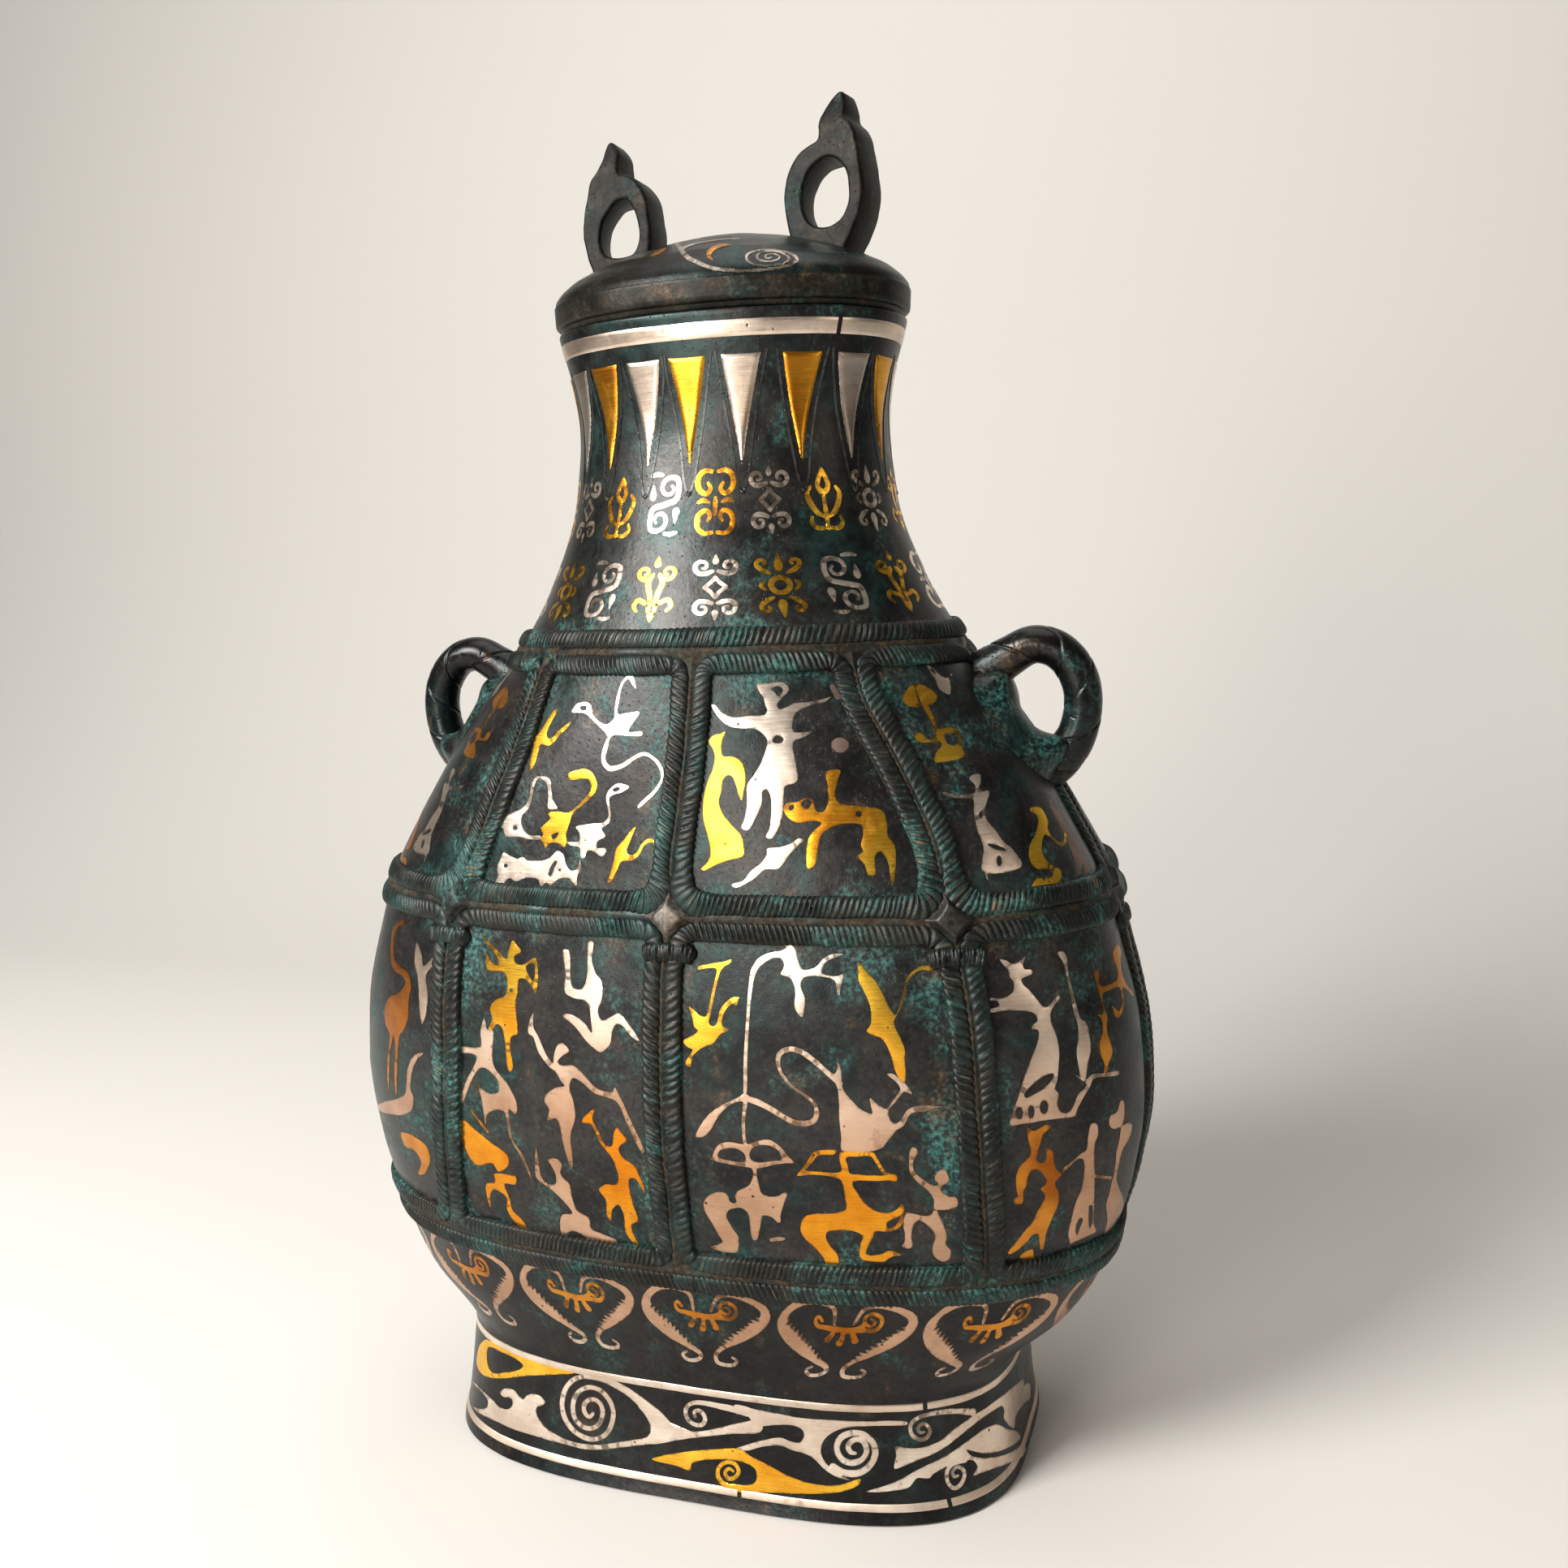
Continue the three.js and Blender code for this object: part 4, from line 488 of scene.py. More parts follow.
        ('p',[(56.0,120.8),(56.4,117.3),(56.6,114.5),(56.9,111.7),(56.5,110.1),(54.2,109.2),(50.6,108.7),(46.9,108.3),(44.3,107.4),(42.9,105.7),(42.4,102.8),(43.1,100.4),(45.2,98.0),(47.3,95.7),(49.0,93.2),(49.9,90.7),(53.3,91.0),(53.7,92.7),(53.1,95.2),(51.1,98.0),(50.2,100.4),(50.6,102.3),(53.2,103.1),(56.9,103.4),(59.8,102.8),(61.5,101.4),(60.6,98.5),(60.1,95.6),(60.6,93.5),(62.5,92.9),(67.2,92.6),(69.4,94.2),(71.3,95.0),(72.9,95.1),(71.3,96.3),(69.2,96.7),(66.6,95.4),(63.7,94.9),(62.3,95.7),(62.8,97.8),(64.3,100.7),(65.5,103.2),(68.4,103.3),(70.9,103.7),(73.5,105.8),(74.0,109.0),(73.2,108.2),(71.4,105.2),(69.2,104.5),(68.9,106.1),(70.4,107.3),(73.6,109.0),(74.4,111.0),(73.7,112.6),(72.3,111.0),(70.1,109.7),(67.2,109.7),(64.8,110.8),(62.3,113.1),(60.7,115.9),(59.3,118.2),(58.8,120.9)],[]),
    ],
    'lrf_s': [
        ('p',[(38.4,191.0),(40.4,190.9),(41.5,189.8),(42.1,187.6),(42.9,185.5),(43.8,184.0),(46.2,184.1),(48.1,185.0),(49.5,186.7),(50.8,187.9),(52.9,188.7),(55.9,188.8),(54.0,187.8),(51.9,187.0),(50.3,185.6),(49.6,183.7),(49.9,182.8),(54.2,182.2),(56.1,182.9),(56.0,181.3),(55.5,179.2),(55.1,176.5),(54.4,178.1),(53.7,180.9),(51.7,181.8),(47.4,182.2),(44.6,181.7),(43.5,180.4),(43.6,178.6),(44.9,175.7),(44.8,173.3),(44.1,170.0),(43.0,170.8),(41.9,172.5),(41.7,174.3),(41.9,176.8),(41.3,179.5),(39.8,181.6),(37.2,182.4),(38.0,184.1),(38.2,185.4),(37.6,186.6),(36.7,187.2),(34.5,187.0),(32.3,185.8),(30.3,183.9),(29.2,181.6),(28.6,178.4),(28.1,173.7),(27.7,165.9),(27.3,157.2),(26.9,145.4),(26.1,145.3),(26.0,148.3),(26.1,154.2),(26.4,160.8),(26.8,168.0),(27.1,174.4),(27.4,179.0),(27.8,182.9),(28.6,184.7),(30.0,186.7),(32.2,188.1),(34.8,188.9),(37.3,189.4),(38.8,190.3)],[]),
        ('s',[(26.1,144.4,1.8),(29.8,143.5,1.93),(33.2,142.2,1.79),(37.6,139.8,1.7),(41.3,138.0,1.71),(44.9,137.6,1.7),(47.7,138.6,1.64),(48.7,140.9,1.6),(47.9,144.0,1.08),(45.0,146.4,0.92),(41.4,148.8,0.86),(38.4,152.0,0.94),(37.0,155.2,1.24),(37.1,158.1,1.46),(38.8,159.8,1.57),(41.4,160.3,1.6),(44.3,159.5,1.61),(47.9,157.1,1.64),(51.5,154.0,1.56),(54.0,152.0,1.77),(55.7,150.4,1.84)],[]),
        ('p',[(54.7,149.7),(53.5,151.9),(52.2,153.1),(54.4,153.5),(55.0,155.6),(54.7,157.0),(55.4,156.7),(56.0,154.1),(56.2,152.0),(56.5,149.4),(57.6,147.3),(59.4,145.2),(61.5,143.0),(64.0,141.6),(65.4,141.3),(65.0,143.8),(64.7,146.2),(66.1,145.0),(67.9,143.7),(69.6,143.0),(71.4,145.4),(72.8,147.2),(73.7,148.8),(73.5,149.7),(72.4,151.2),(70.8,152.5),(69.8,153.5),(71.2,153.7),(73.5,152.1),(75.6,150.1),(77.1,147.4),(74.9,148.3),(73.8,147.1),(72.4,145.3),(70.8,143.4),(70.1,141.7),(70.5,140.1),(71.4,138.8),(72.6,138.6),(73.8,139.4),(74.7,141.0),(75.9,142.7),(78.0,143.7),(81.2,143.9),(86.0,143.5),(83.3,142.9),(81.2,142.1),(78.4,142.0),(76.4,141.1),(75.5,139.4),(74.5,137.6),(72.4,136.3),(71.4,134.8),(69.6,132.5),(68.5,131.0),(66.0,129.9),(62.1,129.0),(56.2,129.6),(56.1,133.7),(55.6,138.8),(55.4,143.9),(55.2,147.9)],[]),
        ('p',[(26.1,145.9),(25.0,144.9),(22.7,143.6),(18.8,141.5),(15.3,138.9),(12.6,135.7),(10.9,132.9),(10.3,130.9),(12.4,130.9),(14.0,132.0),(15.6,134.1),(16.8,136.4),(18.8,139.2),(21.9,142.1),(24.9,143.2),(26.6,143.0),(27.8,144.0),(27.5,145.3)],[]),
        ('s',[(26.7,143.9,1.4),(25.9,137.9,1.1),(25.9,132.6,1.02),(26.4,129.6,1.14)],[]),
        ('p',[(15.3,124.4),(16.6,127.7),(18.2,129.3),(21.7,130.2),(25.8,129.7),(27.7,130.1),(30.8,131.3),(33.8,131.8),(35.6,131.1),(37.5,129.7),(39.6,127.2),(41.5,125.0),(38.8,124.6),(35.0,123.8),(32.0,122.8),(29.4,122.2),(26.7,122.3),(22.2,122.7),(17.6,123.3),(15.1,124.0)],[[(17.3,125.4),(18.1,127.0),(20.1,128.0),(23.1,128.2),(25.8,126.9),(26.2,124.6),(24.5,123.9),(20.7,124.1),(17.6,124.7)],[(27.7,127.4),(28.9,129.1),(31.5,130.0),(34.5,129.8),(36.7,128.5),(37.7,126.3),(37.3,125.5),(33.6,124.8),(30.6,124.2),(28.3,124.8),(27.5,126.3)]]),
        ('p',[(27.9,123.0),(28.5,120.5),(27.4,117.2),(26.4,116.0),(23.2,114.1),(22.2,112.3),(22.6,110.4),(21.4,109.8),(20.3,110.5),(20.0,112.1),(18.9,113.1),(16.6,113.2),(14.2,112.1),(12.2,110.1),(11.5,107.6),(12.5,104.8),(14.2,101.7),(15.9,98.1),(16.9,96.1),(15.2,94.6),(12.7,93.7),(14.2,92.8),(18.1,92.2),(21.5,92.8),(22.3,95.5),(22.3,98.4),(21.1,100.4),(19.8,103.1),(18.9,105.1),(19.7,107.2),(21.7,108.2),(24.0,108.5),(25.8,107.0),(26.4,104.6),(26.5,100.1),(27.1,97.7),(28.3,97.8),(29.4,101.2),(30.1,104.6),(30.7,106.3),(32.3,106.6),(34.1,105.8),(35.5,104.4),(36.2,104.7),(36.4,107.2),(37.3,110.1),(38.9,114.2),(38.7,115.0),(37.6,114.7),(36.0,113.6),(33.8,113.2),(32.3,113.3),(30.7,114.3),(30.2,116.7),(29.6,119.8),(29.5,123.1)],[]),
        ('p',[(32.5,98.6),(35.2,99.5),(37.5,99.3),(37.0,98.6),(34.4,97.9),(32.5,97.8)],[]),
        ('p',[(77.3,131.1),(76.4,129.6),(76.2,126.6),(76.3,123.6),(77.5,121.3),(79.6,118.9),(81.7,116.9),(83.0,114.9),(83.3,112.5),(82.5,109.3),(80.7,108.6),(77.2,109.4),(75.1,109.8),(74.2,108.2),(73.9,105.4),(74.3,102.5),(74.0,99.7),(73.2,98.4),(74.3,97.6),(75.7,97.6),(76.5,98.8),(76.1,101.3),(76.7,104.6),(78.2,107.0),(80.0,106.6),(82.4,104.1),(83.4,101.6),(82.6,98.8),(82.4,95.8),(84.1,93.2),(85.9,92.6),(87.4,93.5),(87.9,96.5),(86.5,98.7),(86.8,102.0),(86.0,105.6),(85.0,108.5),(84.3,110.5),(86.5,110.5),(90.1,111.5),(90.5,113.5),(89.8,114.9),(87.7,115.2),(85.9,116.8),(85.6,118.4),(87.0,119.2),(88.0,120.3),(87.5,122.6),(86.4,124.2),(85.0,123.5),(83.8,122.0),(83.9,120.4),(84.9,119.2),(83.8,118.7),(81.7,119.7),(79.3,121.6),(77.7,123.6),(77.3,125.9),(78.0,127.7),(78.9,129.2),(78.5,130.7)],[]),
    ],
    'le_s': [
        ('p',[(102.5,186.0),(104.6,185.5),(106.1,184.5),(108.8,185.0),(110.5,186.2),(109.8,183.8),(110.4,182.5),(112.3,182.3),(112.9,181.4),(112.3,180.7),(110.4,180.3),(109.3,179.7),(110.0,178.1),(112.0,176.3),(114.4,173.6),(116.4,171.3),(118.0,171.0),(120.0,172.6),(121.7,174.0),(122.2,173.0),(120.0,170.9),(119.1,168.9),(119.2,166.4),(120.4,163.8),(121.4,160.8),(121.9,157.1),(121.7,153.5),(121.3,149.1),(120.5,146.3),(121.8,144.6),(121.4,141.7),(122.6,138.9),(125.1,138.3),(127.2,140.4),(128.5,143.2),(130.7,144.6),(131.6,146.0),(127.6,149.3),(129.8,148.5),(131.6,147.5),(134.0,148.5),(139.0,147.8),(145.8,146.9),(145.8,145.8),(140.0,146.5),(134.4,147.1),(133.0,145.1),(130.7,142.3),(128.5,139.1),(127.5,136.8),(121.8,137.0),(116.3,137.0),(110.1,136.7),(106.4,136.7),(107.1,140.4),(108.6,144.7),(110.0,149.0),(111.5,153.3),(113.0,156.8),(114.4,159.9),(115.1,162.3),(114.9,164.6),(112.9,165.2),(113.3,166.4),(114.6,167.2),(114.0,169.1),(112.1,170.2),(108.3,170.9),(104.5,171.2),(99.7,171.0),(99.9,171.9),(102.6,172.6),(101.9,174.2),(99.7,174.5),(99.9,175.2),(102.6,174.8),(105.2,175.3),(106.8,176.6),(107.0,178.9),(105.7,180.7),(105.0,182.9),(103.8,184.3)],[[(110.7,146.0),(113.5,148.7),(117.3,150.8),(120.1,150.9),(119.7,149.4),(116.6,146.8),(113.1,145.1),(111.2,144.7)],[(110.4,140.1),(110.2,139.0),(109.6,138.4),(108.9,138.5),(108.2,139.2),(108.0,140.3),(108.2,141.4),(108.8,142.0),(109.6,141.9),(110.2,141.2)],[(114.0,140.1),(113.8,138.9),(113.3,138.2),(112.6,138.2),(112.1,139.1),(111.9,140.3),(112.0,141.5),(112.6,142.2),(113.2,142.1),(113.8,141.3)],[(118.3,141.0),(118.1,139.8),(117.4,139.2),(116.6,139.3),(115.9,140.1),(115.7,141.4),(115.9,142.6),(116.6,143.2),(117.4,143.1),(118.1,142.3)]]),
        ('p',[(121.4,186.0),(123.6,186.1),(124.9,184.1),(125.3,180.6),(126.6,175.5),(127.8,171.1),(129.5,166.0),(131.5,164.6),(132.7,161.2),(133.3,156.0),(132.1,151.8),(131.2,147.5),(129.8,147.4),(128.9,150.9),(128.0,156.2),(128.5,160.5),(128.6,164.0),(127.3,167.7),(126.1,172.8),(124.8,178.6),(123.6,182.9)],[]),
        ('p',[(133.4,133.2),(135.8,132.7),(136.2,129.1),(135.1,126.2),(135.2,119.6),(135.6,115.3),(135.7,106.6),(136.2,97.5),(137.7,94.5),(133.9,94.0),(128.0,93.4),(126.6,93.0),(126.5,94.5),(125.9,96.9),(126.7,102.1),(128.3,107.8),(130.4,112.4),(131.2,118.1),(130.6,122.4),(128.8,122.8),(125.8,120.9),(123.3,119.4),(123.7,120.9),(127.0,122.7),(130.1,124.5),(131.9,125.3),(132.4,129.1)],[[(128.6,98.9),(130.3,102.0),(131.2,100.9),(130.1,98.1),(129.2,96.0)],[(133.6,105.5),(135.1,105.1),(135.1,97.8),(134.2,96.8)]]),
        ('s',[(135.4,115.4,1.0),(142.8,112.6,1.0)],[]),
        ('p',[(146.3,137.4),(148.2,136.8),(148.5,132.1),(147.7,129.2),(150.4,129.2),(153.5,127.4),(151.6,123.1),(148.3,120.8),(146.8,116.2),(146.0,111.2),(148.0,106.9),(153.6,99.0),(154.2,94.7),(149.7,93.8),(146.8,88.0),(140.6,83.7),(138.9,85.0),(141.8,89.3),(142.8,96.9),(141.3,103.1),(142.6,107.9),(144.4,114.4),(145.0,121.0),(146.0,124.8),(146.4,128.8),(143.4,129.2),(141.1,131.0),(141.6,134.0),(144.5,134.4)],[]),
    ],
    'le_g': [
        ('p',[(136.3,178.4),(138.0,178.1),(138.2,174.2),(142.4,173.4),(147.6,173.7),(149.1,176.2),(147.4,179.4),(147.2,181.9),(152.6,182.9),(156.1,180.7),(153.2,178.1),(152.4,174.7),(155.1,170.9),(161.8,166.5),(159.9,165.9),(155.3,168.8),(150.9,170.5),(151.0,166.6),(148.5,163.6),(145.5,163.0),(143.4,166.9),(145.3,165.8),(147.2,164.6),(149.5,166.9),(149.2,170.5),(147.1,171.7),(142.8,171.6),(139.3,171.2),(139.8,166.9),(140.7,164.6),(140.4,160.4),(141.9,156.4),(142.6,153.3),(140.6,150.0),(140.0,147.6),(138.8,147.9),(139.0,150.4),(137.2,154.1),(137.0,157.5),(138.4,160.8),(137.9,164.5),(136.2,165.9),(138.8,165.7),(137.9,170.8),(136.6,175.2)],[]),
        ('p',[(111.7,135.5),(113.6,134.3),(115.9,135.0),(117.8,135.8),(119.3,134.9),(116.7,132.6),(115.9,129.6),(115.2,127.4),(114.8,124.7),(116.8,123.7),(117.9,125.5),(117.5,128.3),(119.9,127.1),(120.8,121.8),(122.0,120.0),(123.3,119.0),(122.1,117.9),(120.8,116.1),(122.1,112.9),(121.8,108.4),(120.1,104.5),(118.1,99.6),(117.0,93.6),(116.1,93.8),(115.3,99.3),(113.7,99.6),(110.9,96.5),(106.2,93.6),(105.4,94.2),(107.4,97.0),(110.9,101.3),(113.7,104.7),(115.6,108.6),(117.6,112.5),(116.0,115.2),(118.0,116.6),(117.2,119.2),(115.2,121.5),(113.3,121.7),(112.1,119.9),(111.4,116.7),(110.6,115.2),(110.2,111.1),(107.7,111.4),(107.5,113.1),(108.7,113.4),(108.3,116.3),(108.3,120.3),(109.5,123.4),(111.7,125.5),(112.9,127.3),(112.5,130.1),(112.1,131.6)],[]),
        ('p',[(109.3,92.7),(113.3,94.3),(113.9,91.9),(115.0,89.4),(117.1,87.5),(117.9,89.7),(119.7,88.1),(123.3,86.8),(122.9,85.7),(118.4,86.5),(113.4,86.4),(108.9,86.8),(110.1,88.5),(111.7,90.0),(110.1,90.8)],[]),
    ],
    'palm_s': [
        ('s',[(-2.7,68.7,0.98),(-3.8,74.9,1.49),(-8.2,76.8,2.16),(-12.3,76.6,2.4),(-15.8,75.0,2.51),(-18.6,71.6,2.55),(-19.2,67.8,3.8),(-17.1,63.9,5.1),(-13.6,60.5,5.52),(-10.1,57.3,4.27),(-7.1,55.1,3.0),(-4.6,53.4,2.37),(-2.1,51.9,1.94),(-1.2,50.1,1.46),(-3.1,48.4,1.51),(-6.0,48.1,1.46),(-7.7,49.9,1.04),(-6.3,51.3,0.94)],[]),
        ('s',[(3.3,69.1,0.89),(5.7,74.6,1.35),(9.3,76.3,1.8),(13.0,76.1,2.14),(17.2,74.7,2.34),(20.9,72.3,2.91),(21.5,69.2,3.23),(18.9,65.5,4.24),(14.2,61.3,4.16),(10.2,57.9,3.0),(6.8,55.2,1.97),(4.0,51.7,1.48),(4.4,48.8,1.64),(7.2,48.0,1.5),(10.3,48.7,1.26),(11.1,50.4,0.98),(9.7,51.3,0.95)],[]),
    ],
    'palm_g': [
        ('s',[(-6.8,69.7,1.13),(-8.0,71.5,1.22),(-8.9,69.8,1.14),(-7.9,67.7,1.57),(-5.4,67.3,1.94),(-2.8,66.9,2.24),(0.7,66.6,2.51),(4.3,67.1,2.14),(6.4,68.8,1.75)],[]),
        ('s',[(8.5,71.4,0.94),(9.8,70.2,1.02),(8.7,68.6,1.2),(6.7,69.8,1.35),(6.8,72.2,1.13),(9.1,73.3,1.51),(11.6,71.8,1.41),(11.7,69.0,1.21),(9.9,67.1,1.65),(6.8,67.0,1.9),(3.8,66.8,2.2)],[]),
        ('s',[(-2.4,66.3,1.25),(-3.5,63.7,1.79),(-4.1,62.4,2.06)],[]),
        ('s',[(0.5,66.2,1.3),(0.3,63.1,1.8),(-0.1,61.5,2.33)],[]),
        ('s',[(3.0,66.7,1.39),(3.9,64.3,2.0),(4.6,62.7,2.34)],[]),
    ],
    'foot_s': [
        ('s',[(-35.1,22.4,1.2),(-36.4,21.1,1.3),(-38.2,22.2,1.75),(-38.6,24.5,1.8),(-37.1,26.6,1.56),(-34.4,27.3,1.71),(-32.1,26.0,1.89),(-31.4,23.1,1.81),(-32.6,19.5,1.62),(-35.3,17.5,1.55),(-38.8,17.4,1.7),(-41.6,19.2,1.94),(-42.9,22.3,1.87),(-42.4,26.1,1.81),(-40.2,29.3,1.56),(-36.3,31.3,1.7),(-32.1,30.8,1.89),(-29.1,28.3,1.94),(-27.5,24.8,1.77),(-27.8,20.7,1.7),(-29.9,16.6,1.58),(-34.0,14.1,1.53),(-38.6,14.1,1.75),(-43.0,15.9,1.91),(-46.0,18.9,2.01),(-47.2,22.7,2.06),(-46.6,27.3,1.91),(-44.2,31.3,1.72),(-40.2,34.1,1.65),(-35.1,35.2,2.14),(-29.8,34.8,2.38),(-24.5,33.2,2.64),(-20.1,31.1,3.08),(-15.8,28.4,3.84),(-11.4,25.3,4.53),(-8.5,22.4,5.24)],[]),
        ('p',[(-100.9,13.2),(-92.5,15.8),(-85.1,16.1),(-79.6,15.8),(-76.5,14.9),(-73.2,15.0),(-70.6,15.8),(-69.0,17.6),(-69.4,19.2),(-71.5,19.4),(-73.5,18.8),(-75.0,19.1),(-75.5,20.0),(-73.8,21.6),(-71.2,22.5),(-68.1,22.6),(-66.1,21.5),(-64.2,20.9),(-62.4,22.7),(-59.7,23.9),(-56.6,24.0),(-54.3,22.5),(-55.6,21.0),(-57.6,20.0),(-57.9,18.3),(-56.7,16.2),(-54.4,14.4),(-50.6,13.0),(-44.8,11.9),(-38.5,11.8),(-32.4,12.6),(-26.5,14.3),(-19.2,16.5),(-15.2,17.9),(-14.0,19.2),(-12.0,21.9),(-7.8,23.9),(-2.7,23.0),(2.2,22.4),(9.2,24.4),(16.2,27.1),(22.3,29.2),(25.1,30.7),(25.1,25.7),(16.2,23.8),(5.8,21.3),(-4.8,18.4),(-14.0,15.8),(-22.7,13.5),(-32.3,11.0),(-38.4,10.2),(-44.7,10.3),(-51.2,10.2),(-58.0,10.2),(-67.1,9.8),(-77.6,9.5),(-90.2,7.9),(-94.6,7.4),(-87.2,9.9),(-83.1,12.2),(-82.7,14.4),(-86.6,15.5),(-94.8,14.7)],[]),
        ('p',[(-16.5,29.3),(-12.1,27.2),(-7.8,24.5),(-2.7,23.0),(0.9,21.2),(-4.8,18.4),(-14.0,16.0),(-13.6,19.0),(-13.9,22.3),(-15.7,25.3),(-18.3,28.0)],[]),
        ('s',[(2.2,27.4,1.17),(1.8,28.7,1.26),(3.2,29.6,1.41),(5.0,28.8,1.63),(5.7,26.9,1.6),(4.7,25.1,1.39),(2.2,24.7,1.52),(-0.3,26.0,1.56),(-1.2,28.6,1.53),(-0.3,30.8,1.35),(2.2,32.2,1.51),(6.4,32.5,1.73),(11.3,32.2,2.04),(16.2,31.9,2.35),(20.3,31.6,3.06)],[]),
        ('p',[(16.1,33.6),(23.0,32.9),(31.2,32.4),(39.3,31.9),(47.3,32.1),(54.1,32.2),(60.3,32.2),(68.0,32.4),(72.7,31.8),(72.7,30.8),(65.5,30.8),(57.7,30.5),(52.5,29.7),(48.6,27.9),(46.0,25.3),(45.1,22.1),(45.9,19.4),(48.1,17.0),(51.6,15.0),(54.6,13.4),(50.3,14.2),(46.3,16.3),(43.0,19.1),(39.5,20.5),(35.5,21.1),(31.9,22.0),(25.9,21.0),(20.4,18.9),(16.3,18.8),(21.8,21.4),(27.2,23.5),(31.9,24.6),(34.6,23.9),(38.1,23.8),(39.4,26.0),(38.8,28.1),(36.1,29.1),(31.3,28.8),(25.8,27.6),(20.3,26.0),(16.1,24.9),(14.7,25.7),(18.9,27.2),(21.6,28.9),(20.3,30.3),(16.1,30.8)],[]),
        ('s',[(56.3,21.9,1.0),(54.8,22.1,1.56),(53.9,24.1,1.77),(56.0,26.2,1.8),(58.6,25.8,1.84),(59.9,23.0,1.8),(58.7,20.2,1.77),(55.4,18.8,2.0),(52.0,19.8,2.05),(50.3,23.1,2.01),(51.5,26.5,2.05),(55.2,28.3,2.02),(59.1,27.7,2.1),(62.0,24.9,2.06),(62.6,21.5,2.12),(60.9,18.0,2.06),(57.6,15.8,2.21),(52.9,15.6,2.24),(49.2,17.1,2.42)],[]),
        ('s',[(78.3,28.0,0.82),(77.0,27.9,1.03),(76.2,29.2,1.14),(77.5,30.7,1.17),(79.3,29.9,1.13),(80.2,28.0,1.22),(79.1,26.1,1.36),(76.7,25.8,1.24),(74.3,27.6,1.25),(73.8,30.5,1.3),(75.9,32.6,1.39),(79.8,33.5,1.33),(85.3,33.4,1.61),(91.1,32.3,1.8),(95.8,30.7,2.31)],[]),
        ('p',[(69.2,24.0),(73.4,23.3),(78.6,23.3),(84.0,24.6),(88.2,27.1),(92.6,28.6),(95.8,29.7),(101.1,30.2),(110.1,30.4),(120.5,28.6),(135.8,23.0),(135.6,19.9),(116.3,26.2),(105.2,27.9),(97.5,27.1),(92.7,25.5),(86.8,22.8),(81.4,20.7),(76.1,19.3),(71.0,17.6),(68.9,17.2),(69.3,21.0)],[]),
        ('p',[(60.4,10.2),(66.0,12.0),(71.1,13.9),(76.2,16.3),(81.5,18.2),(85.5,19.3),(89.8,20.9),(95.2,22.7),(100.0,23.7),(106.6,22.9),(113.0,18.7),(125.0,11.6),(127.9,8.4),(113.0,12.4),(101.3,15.9),(93.4,19.5),(96.0,16.7),(105.4,13.1),(116.2,9.7),(131.3,4.9),(133.9,2.0),(119.5,5.7),(107.7,9.2),(99.6,10.6),(96.2,11.0),(97.8,12.9),(96.1,15.5),(92.9,16.4),(88.4,16.5),(84.3,15.6),(81.6,14.5),(80.3,13.4),(76.3,13.8),(73.8,11.3),(68.7,10.5),(63.5,10.1)],[]),
        ('s',[(90.3,12.4,0.82),(88.9,12.5,0.99),(88.2,14.1,1.21),(89.9,15.2,1.14),(92.1,13.9,1.17),(92.7,11.8,1.49),(91.3,9.5,1.63),(89.0,9.0,1.14),(86.6,11.5,1.3),(86.5,14.9,1.52),(88.7,16.7,1.75),(92.9,16.7,1.99)],[]),
        ('p',[(97.5,29.7),(103.9,29.7),(108.5,28.3),(111.7,25.0),(111.1,22.7),(120.3,15.2),(122.2,18.1),(135.1,15.4),(148.6,10.8),(149.8,14.7),(129.5,23.0),(112.9,28.1),(103.9,29.4)],[]),
    ],
    'foot_g': [
        ('p',[(-91.0,31.2),(-85.0,34.8),(-72.7,36.0),(-62.6,36.1),(-52.8,36.1),(-46.5,37.1),(-41.7,35.5),(-50.4,32.8),(-60.8,29.9),(-75.6,24.6),(-83.7,22.1),(-90.4,21.2),(-94.9,22.4),(-94.0,27.0)],[[(-84.0,32.6),(-75.0,33.8),(-68.5,33.7),(-64.6,32.6),(-66.5,30.4),(-73.6,27.3),(-80.5,24.8),(-84.1,25.9),(-85.2,29.3)]]),
        ('p',[(-12.7,11.2),(-2.1,15.0),(9.2,17.7),(18.2,19.1),(21.9,17.3),(27.5,15.5),(33.8,13.2),(39.8,11.7),(45.2,11.2),(51.8,11.8),(55.6,13.2),(58.2,13.9),(57.7,12.1),(53.1,9.9),(45.3,8.5),(32.0,7.2),(22.4,6.3),(16.8,6.0),(13.4,7.3),(15.3,7.6),(21.4,8.2),(23.9,9.8),(23.7,13.1),(21.2,14.6),(15.0,15.2),(6.5,13.9),(1.5,11.9),(1.0,9.7),(-4.8,10.4)],[]),
        ('s',[(16.0,11.7,0.81),(14.5,12.3,1.04),(13.2,10.8,1.2),(14.4,9.2,1.34),(16.6,9.8,1.28),(17.9,12.0,1.41),(16.4,14.1,1.36),(13.6,14.2,1.26),(11.1,12.3,1.34),(10.7,9.7,1.49),(12.5,7.4,1.7),(15.4,6.6,1.77),(19.6,6.4,1.82)],[]),
    ],
